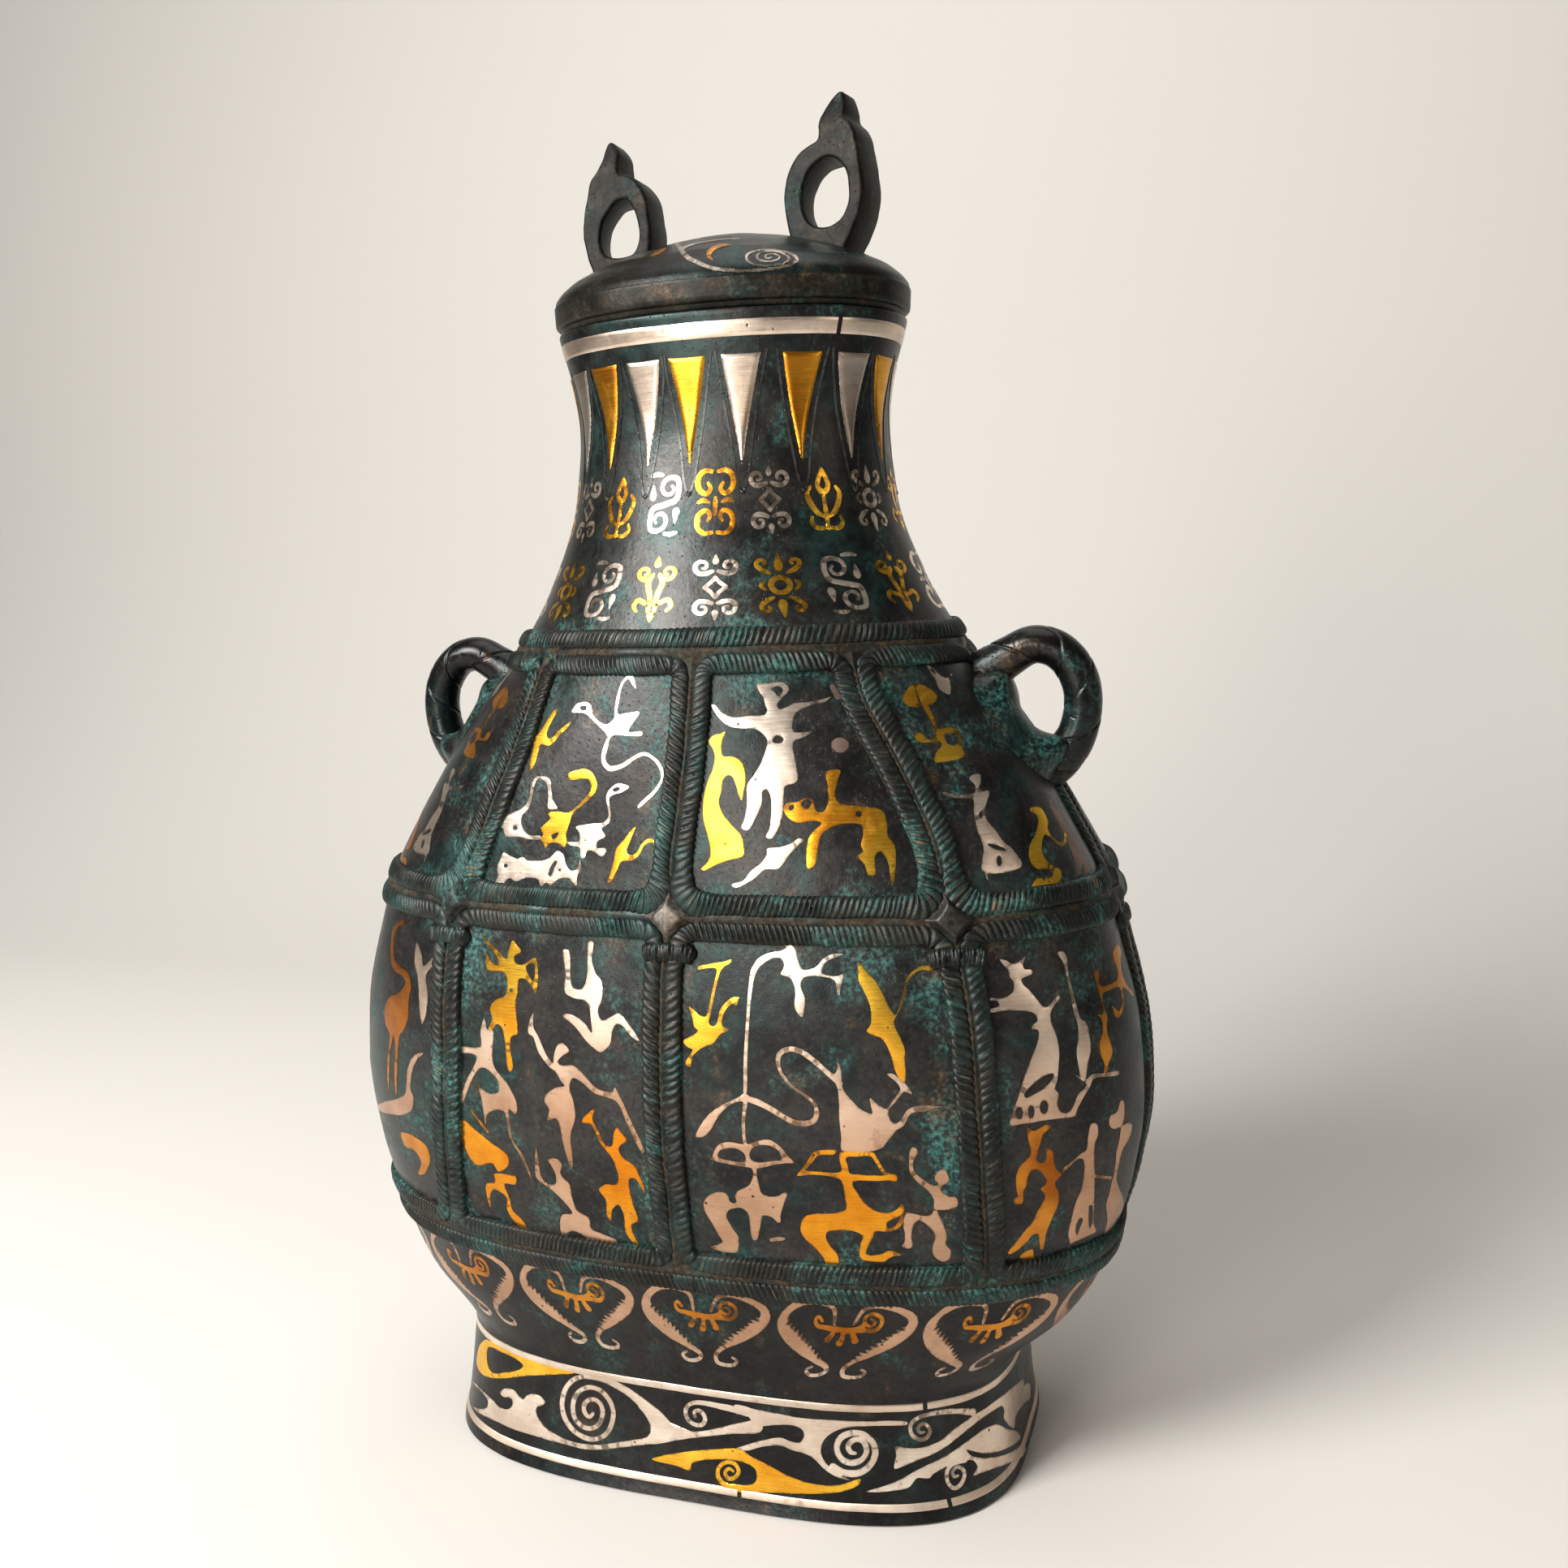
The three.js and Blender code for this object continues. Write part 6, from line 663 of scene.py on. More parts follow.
def bronze(name, dark=(0.006, 0.006, 0.006), light=(0.040, 0.037, 0.037), teal=1.0, brown=0.6, gloss=0.34,
           grime=True, crest=False, pale=0.0, dusty=0.0, offset=0.0, spec=0.36):
    m = Nodes(name)
    co = m.scale(m.coord(), (1, 1, 1))
    co.node.inputs["Location"].default_value = (offset, offset * 0.7, offset * 0.3)
    broad = m.noise(co, 30, 6, 0.6)
    mid = m.noise(co, 130, 6, 0.6, 0.3)
    fine = m.noise(co, 700, 4, 0.6)
    patch = m.noise(co, 42, 9, 0.62, 0.5)
    rust = m.noise(co, 80, 7, 0.66, 0.4)
    speck = m.noise(co, 430, 5, 0.65)
    pits = m.voronoi(co, 620)
    pitm = m.math("MULTIPLY", m.step(pits.outputs["Distance"], 0.05, 0.22, 1.0, 0.0), m.step(mid, 0.42, 0.62))
    slate = m.mix(m.step(m.math("ADD", m.math("MULTIPLY", broad, 0.65), m.math("MULTIPLY", mid, 0.35)), 0.38, 0.68), dark, light)
    slate = m.mix(m.math("MULTIPLY", m.step(speck, 0.50, 0.60), 0.55), slate, dark)
    slate = m.mix(m.math("MULTIPLY", m.step(fine, 0.50, 0.72), 0.30), slate, tuple(min(1.0, c * 1.8) for c in light))
    cloud = m.noise(co, 19, 7, 0.6, 0.8)
    slate = m.mix(m.math("MULTIPLY", m.step(cloud, 0.47, 0.62), 0.75 * min(1.0, teal)), slate, m.mix(m.step(mid, 0.40, 0.64), (0.003, 0.010, 0.010), (0.012, 0.042, 0.039)))
    tealm = m.math("MULTIPLY", m.step(patch, 0.53, 0.70), m.step(fine, 0.25, 0.65))
    if grime:
        near = m.attr("near")
        tealm = m.math("ADD", m.math("MULTIPLY", tealm, 0.75), m.math("MULTIPLY", m.math("MULTIPLY", near, m.step(patch, 0.40, 0.62)), m.step(fine, 0.30, 0.65)))
    tealm = m.math("MINIMUM", m.math("MULTIPLY", tealm, teal), 1.0)
    tcol = m.mix(m.step(fine, 0.40, 0.72), (0.006, 0.036, 0.034), (0.035, 0.150, 0.130))
    col = m.mix(tealm, slate, tcol)
    brm = m.math("MULTIPLY", m.step(rust, 0.57, 0.72), brown)
    if grime:
        brm = m.math("ADD", brm, m.math("MULTIPLY", m.math("MULTIPLY", near, m.step(rust, 0.45, 0.62)), 0.5 * brown))
    col = m.mix(brm, col, m.mix(m.step(fine, 0.4, 0.7), (0.030, 0.017, 0.008), (0.115, 0.062, 0.028)))
    if crest:
        hi = m.attr("crest")
        dust = m.math("MULTIPLY", m.attr("dust"), m.step(rust, 0.34, 0.56))
        col = m.mix(m.math("MULTIPLY", dust, 0.55), col, m.mix(m.step(fine, 0.35, 0.7), (0.026, 0.016, 0.008), (0.105, 0.068, 0.034)))
        tv = m.math("MULTIPLY", m.step(hi, 0.60, 0.15), m.step(patch, 0.47, 0.60))
        col = m.mix(m.math("MULTIPLY", tv, 0.75 * teal), col, m.mix(m.step(fine, 0.4, 0.7), (0.010, 0.055, 0.048), (0.060, 0.200, 0.170)))
        # painted highlight: a pale colour laid along the tops of the cord strands
        crest_highlight = m.math("MULTIPLY", m.step(hi, 0.80, 1.0), m.step(mid, 0.42, 0.62))
        col = m.mix(m.math("MULTIPLY", crest_highlight, 0.52), col, (0.16, 0.142, 0.105))
        cop = m.math("MULTIPLY", m.step(hi, 0.6, 0.95), m.step(m.noise(co, 42, 3, 0.5, 0.2), 0.67, 0.73))
        col = m.mix(m.math("MULTIPLY", cop, 0.7), col, (0.38, 0.165, 0.065))
    if pale:
        pm = m.math("MULTIPLY", m.step(m.math("ADD", m.math("MULTIPLY", mid, 0.6), m.math("MULTIPLY", fine, 0.4)), 0.38, 0.60), pale)
        col = m.mix(pm, col, m.mix(m.step(rust, 0.42, 0.62), (0.30, 0.255, 0.225), (0.20, 0.145, 0.10)))
    if dusty:
        dm = m.math("MULTIPLY", m.step(m.math("ADD", m.math("MULTIPLY", rust, 0.5), m.math("MULTIPLY", mid, 0.5)), 0.40, 0.62), dusty)
        col = m.mix(dm, col, m.mix(m.step(fine, 0.38, 0.66), (0.060, 0.040, 0.024), (0.185, 0.135, 0.085)))
    col = m.mix(m.math("MULTIPLY", pitm, 0.8), col, (0.004, 0.004, 0.004))
    rough = m.math("ADD", m.math("ADD", gloss - 0.06, m.math("MULTIPLY", mid, 0.2)), m.math("MULTIPLY", tealm, 0.3))
    if dusty:
        rough = m.math("ADD", rough, m.math("MULTIPLY", dm, 0.25))
    if crest:
        rough = m.math("ADD", rough, m.math("MULTIPLY", dust, 0.40))
    h = m.math("ADD", m.math("MULTIPLY", fine, 0.45), m.math("ADD", m.math("MULTIPLY", mid, 0.9), m.math("MULTIPLY", pitm, -1.1)))
    h = m.math("ADD", h, m.math("MULTIPLY", tealm, 0.6))
    m.set(Base_Color=col, Roughness=m.math("MINIMUM", rough, 0.95), Metallic=m.math("MULTIPLY", m.math("SUBTRACT", 1.0, m.math("MINIMUM", m.math("ADD", tealm, brm), 1.0)), 0.4))
    m.b.inputs["Specular IOR Level"].default_value = spec
    m.link(m.bump(h, 0.55, 0.00026), m.b.inputs["Normal"])
    return m.mat


def inlay_metal(name, base_c, shade, tarnish, gloss, hatch=0.28, tarn=0.75, pit=0.9, rimc=(0.05, 0.028, 0.015), low=1.0, lower_shade_tint=(0.66, 0.475, 0.365)):
    m = Nodes(name)
    co = m.coord()
    sz = m.attr("sz", True)
    lines = m.noise(m.scale(sz, (0.10, 3.2, 1.0), (0, 0, 0.16)), 1.0, 3, 0.6)
    lines2 = m.noise(m.scale(sz, (0.05, 1.1, 1.0), (0, 0, 0.10)), 1.0, 2, 0.5)
    broad = m.noise(co, 50, 5, 0.6)
    mid = m.noise(co, 210, 5, 0.62)
    fine = m.noise(co, 1100, 3, 0.5)
    blot = m.noise(co, 95, 8, 0.7, 0.5)
    k = m.math("ADD", m.math("MULTIPLY", lines, 0.26), m.math("MULTIPLY", broad, 0.74))
    col = m.mix(m.step(k, 0.36, 0.64), shade, base_c)
    aged = m.noise(co, 15, 5, 0.6, 0.4)
    col = m.mix(m.math("MULTIPLY", m.step(aged, 0.48, 0.66), 0.55), col, shade, "MULTIPLY")
    # painted shade: inlays on the lower belly, between about 56 and 122 mm high and fading out by 43 and 186 mm, are
    # multiplied by a warm darker tint whose strength is low
    parts = m.t.nodes.new("ShaderNodeSeparateXYZ")
    m.link(sz, parts.inputs[0])
    lower_shade = m.math("MULTIPLY", m.step(parts.outputs["Y"], 122.0, 186.0, 1.0, 0.0), m.step(parts.outputs["Y"], 43.0, 56.0))
    col = m.mix(m.math("MULTIPLY", lower_shade, low), col, lower_shade_tint, "MULTIPLY")
    tm = m.math("MULTIPLY", m.step(blot, 0.56, 0.72), tarn)
    col = m.mix(tm, col, tarnish)
    scr = m.math("MULTIPLY", m.step(lines2, 0.66, 0.72), m.step(mid, 0.45, 0.62))
    col = m.mix(m.math("MULTIPLY", scr, 0.45), col, rimc)
    pits = m.voronoi(co, 330)
    pm = m.math("MULTIPLY", m.step(pits.outputs["Distance"], 0.10, 0.20, 1.0, 0.0), m.step(m.noise(co, 120, 2, 0.5), 0.56, 0.66))
    col = m.mix(m.math("MULTIPLY", pm, pit), col, (0.02, 0.014, 0.01))
    rim = m.attr("rim")
    rm = m.math("MULTIPLY", m.step(rim, 0.55, 1.0), m.step(mid, 0.35, 0.6))
    col = m.mix(m.math("MULTIPLY", rm, 0.75), col, rimc)
    rough = m.math("ADD", m.math("ADD", gloss, m.math("MULTIPLY", m.math("SUBTRACT", lines, 0.5), 0.16)), m.math("MULTIPLY", tm, 0.18))
    h = m.math("ADD", m.math("MULTIPLY", lines, hatch), m.math("ADD", m.math("MULTIPLY", fine, 0.25), m.math("MULTIPLY", pm, -1.2)))
    m.set(Base_Color=col, Metallic=m.math("SUBTRACT", 0.96, m.math("MULTIPLY", tm, 0.35)), Roughness=rough)
    m.link(m.bump(h, 0.5, 0.00010), m.b.inputs["Normal"])
    return m.mat


M_BODY = bronze("bronze_panels", dark=(0.005, 0.005, 0.0055), light=(0.032, 0.0275, 0.025), gloss=0.30)
M_LOW = bronze("bronze_lower", dark=(0.003, 0.003, 0.003), light=(0.016, 0.013, 0.012), teal=0.45, brown=0.35, gloss=0.28, offset=0.21)
M_NECK = bronze("bronze_neck", dark=(0.005, 0.005, 0.005), light=(0.030, 0.027, 0.024), teal=0.9, brown=0.2, gloss=0.30, offset=0.37)
M_LID = bronze("bronze_lid_surface", dark=(0.004, 0.005, 0.004), light=(0.017, 0.014, 0.010), teal=0.5, brown=0.5, gloss=0.30, grime=False, offset=0.11, spec=0.24)
M_BAND = bronze("bronze_lid_band", dark=(0.005, 0.0045, 0.0035), light=(0.018, 0.0135, 0.009), teal=0.3, brown=0.6, gloss=0.38, grime=False, dusty=0.16, offset=0.17, spec=0.24)
M_FIN = bronze("bronze_finials", dark=(0.003, 0.0028, 0.0025), light=(0.014, 0.0115, 0.0095), teal=0.3, brown=0.35, gloss=0.44, grime=False, dusty=0.06, offset=0.53, spec=0.16)
M_LOOP = bronze("bronze_loops", dark=(0.0028, 0.0028, 0.0028), light=(0.012, 0.011, 0.010), teal=0.95, brown=0.6, gloss=0.22, offset=0.61)
M_CORD = bronze("bronze_cords", dark=(0.0025, 0.0035, 0.0032), light=(0.015, 0.018, 0.016), teal=1.0, brown=0.1, gloss=0.36, crest=True, grime=False, offset=0.77)
M_BOSS = bronze("bronze_bosses", dark=(0.012, 0.011, 0.010), light=(0.055, 0.050, 0.045), teal=0.3, brown=0.3, gloss=0.42, grime=False, pale=0.55, offset=0.83)
M_BOSSD = bronze("bronze_bosses_dark", dark=(0.004, 0.004, 0.004), light=(0.022, 0.021, 0.018), teal=0.8, brown=0.5, gloss=0.38, grime=False, pale=0.08, offset=0.71)
M_EDGE = bronze("bronze_point_rims", dark=(0.010, 0.009, 0.008), light=(0.075, 0.068, 0.060), teal=0.3, brown=0.3, gloss=0.24, grime=False, offset=0.91)
M_SILVER = inlay_metal("silver_sheet", (0.90, 0.79, 0.68), (0.64, 0.52, 0.42), (0.28, 0.15, 0.10), 0.30)
M_DULL = inlay_metal("silver_tarnished", (0.50, 0.43, 0.37), (0.30, 0.25, 0.21), (0.10, 0.07, 0.05), 0.36)
M_GOLD = inlay_metal("gold_sheet", (0.98, 0.60, 0.060), (0.74, 0.355, 0.026), (0.30, 0.11, 0.015), 0.28, lower_shade_tint=(0.84, 0.60, 0.44))
M_AMBER = inlay_metal("gold_amber", (0.84, 0.42, 0.035), (0.52, 0.215, 0.018), (0.22, 0.08, 0.012), 0.30)
M_LINE = inlay_metal("silver_foot_line", (0.80, 0.69, 0.58), (0.58, 0.47, 0.38), (0.28, 0.15, 0.10), 0.52)
# painted shade: a darker, browner copy of the gold, used for the gold inlays at the ends, on the palmettes under the
# lower strap and on the lid
M_GOLD_SHADED = inlay_metal("gold_shaded", (0.70, 0.31, 0.045), (0.44, 0.17, 0.024), (0.20, 0.07, 0.012), 0.34, low=0.30, lower_shade_tint=(0.84, 0.60, 0.44))
M_COPPER = inlay_metal("copper_spot", (0.25, 0.175, 0.145), (0.16, 0.11, 0.09), (0.12, 0.05, 0.03), 0.5)


# ------------------------------------------------------------------ body shell
def near_strap(s, z):
    """Closeness to a strap's edge, 1 beside it and 0 away from it."""
    d = np.full(np.shape(z), 99.0)
    for b in BANDS:
        d = np.minimum(d, np.abs(z - b))
    L = Lq(z)
    v = np.mod(s, 4 * L)
    inside = (z > 84) & (z < 278)
    sc, sl = corner_s(z) + 2.0, corner_s(z) - 8.0
    for c in (0 * L, sc, L, 2 * L - sl, 2 * L, 2 * L + sc, 3 * L, 4 * L - sl, 4 * L):
        d = np.where(inside, np.minimum(d, np.abs(v - c)), d)
    return np.exp(-np.clip(d - 5.5, 0, 99) / 3.2)


def body_shell():
    cols = 384
    rows = []
    for z in [0.3, 1.2, 2.2] + list(np.arange(3.4, 380.4, 2.0)) + [380.6]:
        rows.append((z, 0.0, True))
    rows = [(0.0, -1.6, True), (0.0, -0.9, True), (0.12, -0.35, True)] + rows + [(381.2, -0.25, True), (381.42, -0.7, True), (381.5, -1.2, True)]
    inner = [(381.5, -3.4), (381.3, -4.1), (380.8, -4.5)] + [(z, -4.5) for z in np.linspace(374, 74, 24)] + [(62, -5.6), (56, -8.5), (52, -12.5), (49.8, -20)]
    under = [(0.0, -3.4), (0.0, -5.3), (0.5, -5.9)] + [(z, -6.0) for z in np.linspace(4, 34, 8)] + [(38, -7.2), (41.5, -9.6), (43.6, -13.5), (44.0, -18)]
    fr = np.arange(cols) / cols * 4.0
    P, near = [], []

    def ring(z, off, plain=False):
        zz = np.full(cols, float(z))
        s = fr * Lq(zz)
        b = base(s, zz)
        n = normal(s, zz)
        n[:, 2] = 0
        n /= np.linalg.norm(n, axis=1, keepdims=True)
        if plain:
            return b + n * off, np.zeros(cols)
        q = at(s, np.clip(zz, 0.3, 381.2), 0.0) if False else b + n * (off - wear(b))[:, None]
        return q, near_strap(s, zz)

    under_rings = []
    c_under = np.array([shift(44.0), 0, 44.0])
    q44, _ = ring(44.0, -18, True)
    for k in (0.03, 0.35, 0.68):
        under_rings.append((c_under + (q44 - c_under) * k, np.zeros(cols)))
    for z, o in reversed(under):
        under_rings.append(ring(z, o, True))
    out_rings = [ring(z, o) for z, o, _ in rows]
    in_rings = [ring(z, o, True) for z, o in inner]
    q49, _ = ring(49.8, -20, True)
    c_in = np.array([shift(49.5), 0, 49.5])
    for k in (0.68, 0.35, 0.03):
        in_rings.append((c_in + (q49 - c_in) * k, np.zeros(cols)))
    allr = under_rings + out_rings + in_rings
    V = np.vstack([r[0] for r in allr])
    near = np.concatenate([r[1] for r in allr])
    F = [tuple(f) for f in grid_faces(len(allr), cols)]
    lo, hi = len(V), len(V) + 1
    V = np.vstack([V, c_under, c_in])
    near = np.concatenate([near, [0, 0]])
    t0 = (len(allr) - 1) * cols
    for i in range(cols):
        j = (i + 1) % cols
        F.append((lo, j, i))
        F.append((hi, t0 + i, t0 + j))
    ob = make("vessel_shell", V, F, M_BODY, "vessel", "bronze_body", ["vessel_body"], {"near": near}, angle=60)
    ob.data.materials.append(M_LOW)
    ob.data.materials.append(M_NECK)
    zc = np.zeros(len(ob.data.polygons) * 3)
    ob.data.polygons.foreach_get("center", zc)
    zc = zc.reshape(-1, 3)[:, 2] * 1000
    idx = np.where(zc < 84, 1, np.where(zc > 278, 2, 0)).astype(np.int32)
    ob.data.polygons.foreach_set("material_index", idx)
    return ob


body_shell()


# ------------------------------------------------------------------ corded straps
STEP = 0.27
PH = np.radians(np.array([-112, -92, -74, -58, -43, -28, -14, 0, 14, 28, 43, 58, 74, 92, 112.0]))


def spread(v, n):
    """Closed moving average."""
    k = np.ones(2 * n + 1) / (2 * n + 1)
    w = np.concatenate([v[-n:], v, v[:n]])
    return np.convolve(w, k, "valid")


def cord(parts, s, z, R, H, pitch, slant, closed, taper=0.0, seed=3, depth=0.78):
    """Rope-laid cord along the surface path (s, z); R, pitch and slant may vary along it."""
    s = np.asarray(s, float)
    z = np.asarray(z, float)
    n = len(s)
    R = np.broadcast_to(np.asarray(R, float), (n,))
    pitch = np.broadcast_to(np.asarray(pitch, float), (n,))
    slant = np.broadcast_to(np.asarray(slant, float), (n,))
    p0 = at(s, z, 0.0)
    nrm = normal(s, z)
    t = (np.roll(p0, -1, 0) - np.roll(p0, 1, 0)) if closed else np.gradient(p0, axis=0)
    t /= np.maximum(1e-9, np.linalg.norm(t, axis=1, keepdims=True))
    ac = np.cross(nrm, t)
    ac /= np.maximum(1e-9, np.linalg.norm(ac, axis=1, keepdims=True))
    d = np.linalg.norm(np.roll(p0, -1, 0) - p0, axis=1)
    if not closed:
        d[-1] = 0
    u = np.concatenate([[0], np.cumsum(d)[:-1]])
    q = np.concatenate([[0], np.cumsum(d / pitch)[:-1]])
    total = q[-1] + (d[-1] / pitch[-1] if closed else 0)
    q = q * max(1, round(total)) / total
    q = q + 0.22 * np.sin(u / (u[-1] + d[-1]) * 2 * math.pi * 9 + seed) + 0.12 * np.sin(u / (u[-1] + d[-1]) * 2 * math.pi * 23 + 2 * seed)
    rr = 1.0 + 0.035 * np.sin(u / (u[-1] + d[-1]) * 2 * math.pi * 13 + seed * 1.7)
    if taper:
        rr = rr * np.sqrt(np.clip(np.minimum(u, u[-1] - u) / taper, 0.03, 1.0))
    flatw = smooth((fbm(p0, 14.0, 2, 41) - 0.30) / 0.28)
    crown = fbm(p0, 6.0, 2, 43)
    rings, crest, dust = [], [], []
    for ph in PH:
        w = q + slant * ph
        k = np.floor(w)
        h = _hash(k, np.full(n, seed), np.zeros(n), 7)
        lobe = np.abs(np.sin(math.pi * w)) ** 0.85
        dp = depth * (0.45 + 0.55 * flatw) * (0.85 + 0.3 * h)
        cut = dp * (1 - lobe)
        side = (R * rr - cut * 0.7) * math.sin(ph)
        up = (H * rr * (0.95 + 0.08 * crown)) * math.copysign(abs(math.cos(ph)) ** 0.46, math.cos(ph)) - cut * max(0.25, math.cos(ph)) - 0.10 * h
        up = np.minimum(up, H)
        rings.append(p0 + ac * side[:, None] + nrm * up[:, None])
        crest.append(lobe * max(0.0, math.cos(ph)) ** 0.3 * (0.75 + 0.25 * h))
        dust.append(np.clip((1 - lobe) * 0.45 + abs(math.sin(ph)) ** 8 * 0.3, 0, 1))
    low = p0 - nrm * 1.0
    rings.append(low + ac * (R * rr * 0.55)[:, None])
    rings.append(low - ac * (R * rr * 0.55)[:, None])
    crest += [np.zeros(n)] * 2
    dust += [np.ones(n)] * 2
    m = len(rings)
    V = np.stack(rings, 1).reshape(-1, 3)
    last = n if closed else n - 1
    i = np.arange(last)[:, None]
    j = np.arange(m)[None, :]
    F = [tuple(f) for f in np.stack([i * m + j, ((i + 1) % n) * m + j, ((i + 1) % n) * m + (j + 1) % m, i * m + (j + 1) % m], -1).reshape(-1, 4)]
    if not closed:
        F.append(tuple(range(m)))
        F.append(tuple((n - 1) * m + k for k in reversed(range(m))))
    parts.append((V, F, np.stack(crest, 1).ravel(), np.stack(dust, 1).ravel()))


def bed(parts, s, z, half, up, ridge, closed):
    """The low fillet that a pair of cords lies on, with a ledge along its middle."""
    p0 = at(s, z, 0.0)
    nrm = normal(s, z)
    t = (np.roll(p0, -1, 0) - np.roll(p0, 1, 0)) if closed else np.gradient(p0, axis=0)
    t /= np.maximum(1e-9, np.linalg.norm(t, axis=1, keepdims=True))
    ac = np.cross(nrm, t)
    prof = [(-half - 0.5, -0.6), (-half - 0.1, 0.12), (-half + 0.7, 0.45), (-2.4, 0.5), (-ridge, up), (0.0, up + 0.06), (ridge, up), (2.4, 0.5), (half - 0.7, 0.45), (half + 0.1, 0.12), (half + 0.5, -0.6), (0.0, -1.0)]
    wob = 0.28 * (fbm(p0, 5.0, 2, 51) - 0.5)
    V = np.stack([p0 + ac * (x + (wob if 0 < abs(x) < 3 else 0 * wob))[:, None] + nrm * (y + (wob if abs(x) < 3 and y > 0 else 0 * wob))[:, None] for x, y in prof], 1).reshape(-1, 3)
    m, n = len(prof), len(s)
    last = n if closed else n - 1
    i = np.arange(last)[:, None]
    j = np.arange(m)[None, :]
    F = [tuple(f)[::-1] for f in np.stack([i * m + j, ((i + 1) % n) * m + j, ((i + 1) % n) * m + (j + 1) % m, i * m + (j + 1) % m], -1).reshape(-1, 4)]
    if not closed:
        F.append(tuple(reversed(range(m))))
        F.append(tuple((n - 1) * m + k for k in range(m)))
    parts.append((V, F, np.tile([0.1, 0.2, 0.2, 0.1, 0.5, 0.6, 0.5, 0.1, 0.2, 0.2, 0.1, 0.0], n), np.tile([0.2, 0.3, 0.5, 0.9, 1.0, 1.0, 1.0, 0.9, 0.5, 0.3, 0.2, 0.0], n)))


def join_parts(name, parts, mat, body="vessel", slot="bronze_body", angle=48):
    V, F, C, D, k = [], [], [], [], 0
    for v, f, c, d in parts:
        V.append(v)
        F += [tuple(k + i for i in q) for q in f]
        C.append(c)
        D.append(d)
        k += len(v)
    return make(name, np.vstack(V), F, mat, body, slot, (), {"crest": np.concatenate(C), "dust": np.concatenate(D)}, angle=angle)


def flat_of(s, z):
    return np.sqrt(np.clip(1 - normal(s, z)[..., 2] ** 2, 0.1, 1))


def ring_path(zb, dz):
    L = float(Lq(zb))
    n = int(4 * L / STEP)
    s = np.arange(n) / n * 4 * L
    return s, zb + dz * flat_of(s, np.full(n, zb))


for _name, _zb in (("shoulder", 278.0), ("middle", 198.0), ("lower", 84.0)):
    _s, _z = ring_path(_zb, 0.0)
    parts = []
    bed(parts, _s[::3], _z[::3], 6.4, 1.5, 0.75, True)
    if _zb == 278.0:
        _s, _z = ring_path(_zb, 4.2)
        cord(parts, _s, _z, 3.3, 2.55, 2.1, -0.45, True, seed=3)
    if _zb == 84.0:
        _s, _z = ring_path(_zb, -4.1)
        cord(parts, _s, _z, 3.2, 2.5, 1.9, 0.48, True, seed=5)
    join_parts("strap_level_" + _name, parts, M_CORD)

_front = pchip([84, 97, 119, 140, 181, 188, 199, 215, 229, 240, 249, 262, 278], [1.4, 0.8, 0.4, -0.2, -0.2, 0.6, 1.5, 1.9, 3.3, 4.5, 5.2, 5.6, 5.4])
_fright = pchip([84, 92, 102, 113, 124, 134, 144, 154, 164, 173, 184, 199, 221, 232, 243, 255, 265, 278],
                [97.4, 98.0, 98.3, 98.0, 97.6, 97.1, 96.4, 95.6, 94.7, 93.3, 91.0, 87.0, 81.3, 75.9, 70.1, 62.7, 57.4, 54.0])
_fleft = pchip([84, 94, 119, 148, 174, 185, 197, 217, 232, 246, 260, 278], [86.6, 85.2, 82.9, 81.1, 80.9, 80.1, 78.3, 69.9, 64.4, 59.0, 55.3, 52.2])


def _end(z):
    return Lq(z) + 2.0 + 0.0 * z


LINES = {
    "front_left": lambda z: -_fleft(z),
    "front": lambda z: _front(z),
    "front_right": lambda z: _fright(z),
    "end_right": lambda z: _end(z),
    "back_right": lambda z: 2 * Lq(z) - _fleft(z),
    "back": lambda z: 2 * Lq(z) + _front(z),
    "back_left": lambda z: 2 * Lq(z) + _fright(z),
    "end_left": lambda z: 2 * Lq(z) + _end(z),
    "wrap": lambda z: 4 * Lq(z) - _fleft(z),
}
_order = list(LINES)
for _k in _order[:-1]:
    for _part, _z0, _z1 in (("upper", 201.0, 276.0), ("lower", 86.0, 196.0)):
        parts = []
        _z = np.linspace(_z0, _z1, int((_z1 - _z0) / 0.8))
        bed(parts, LINES[_k](_z), _z, 6.0, 1.5, 0.22, False)
        join_parts("strap_%s_%s" % (_part, _k), parts, M_CORD)


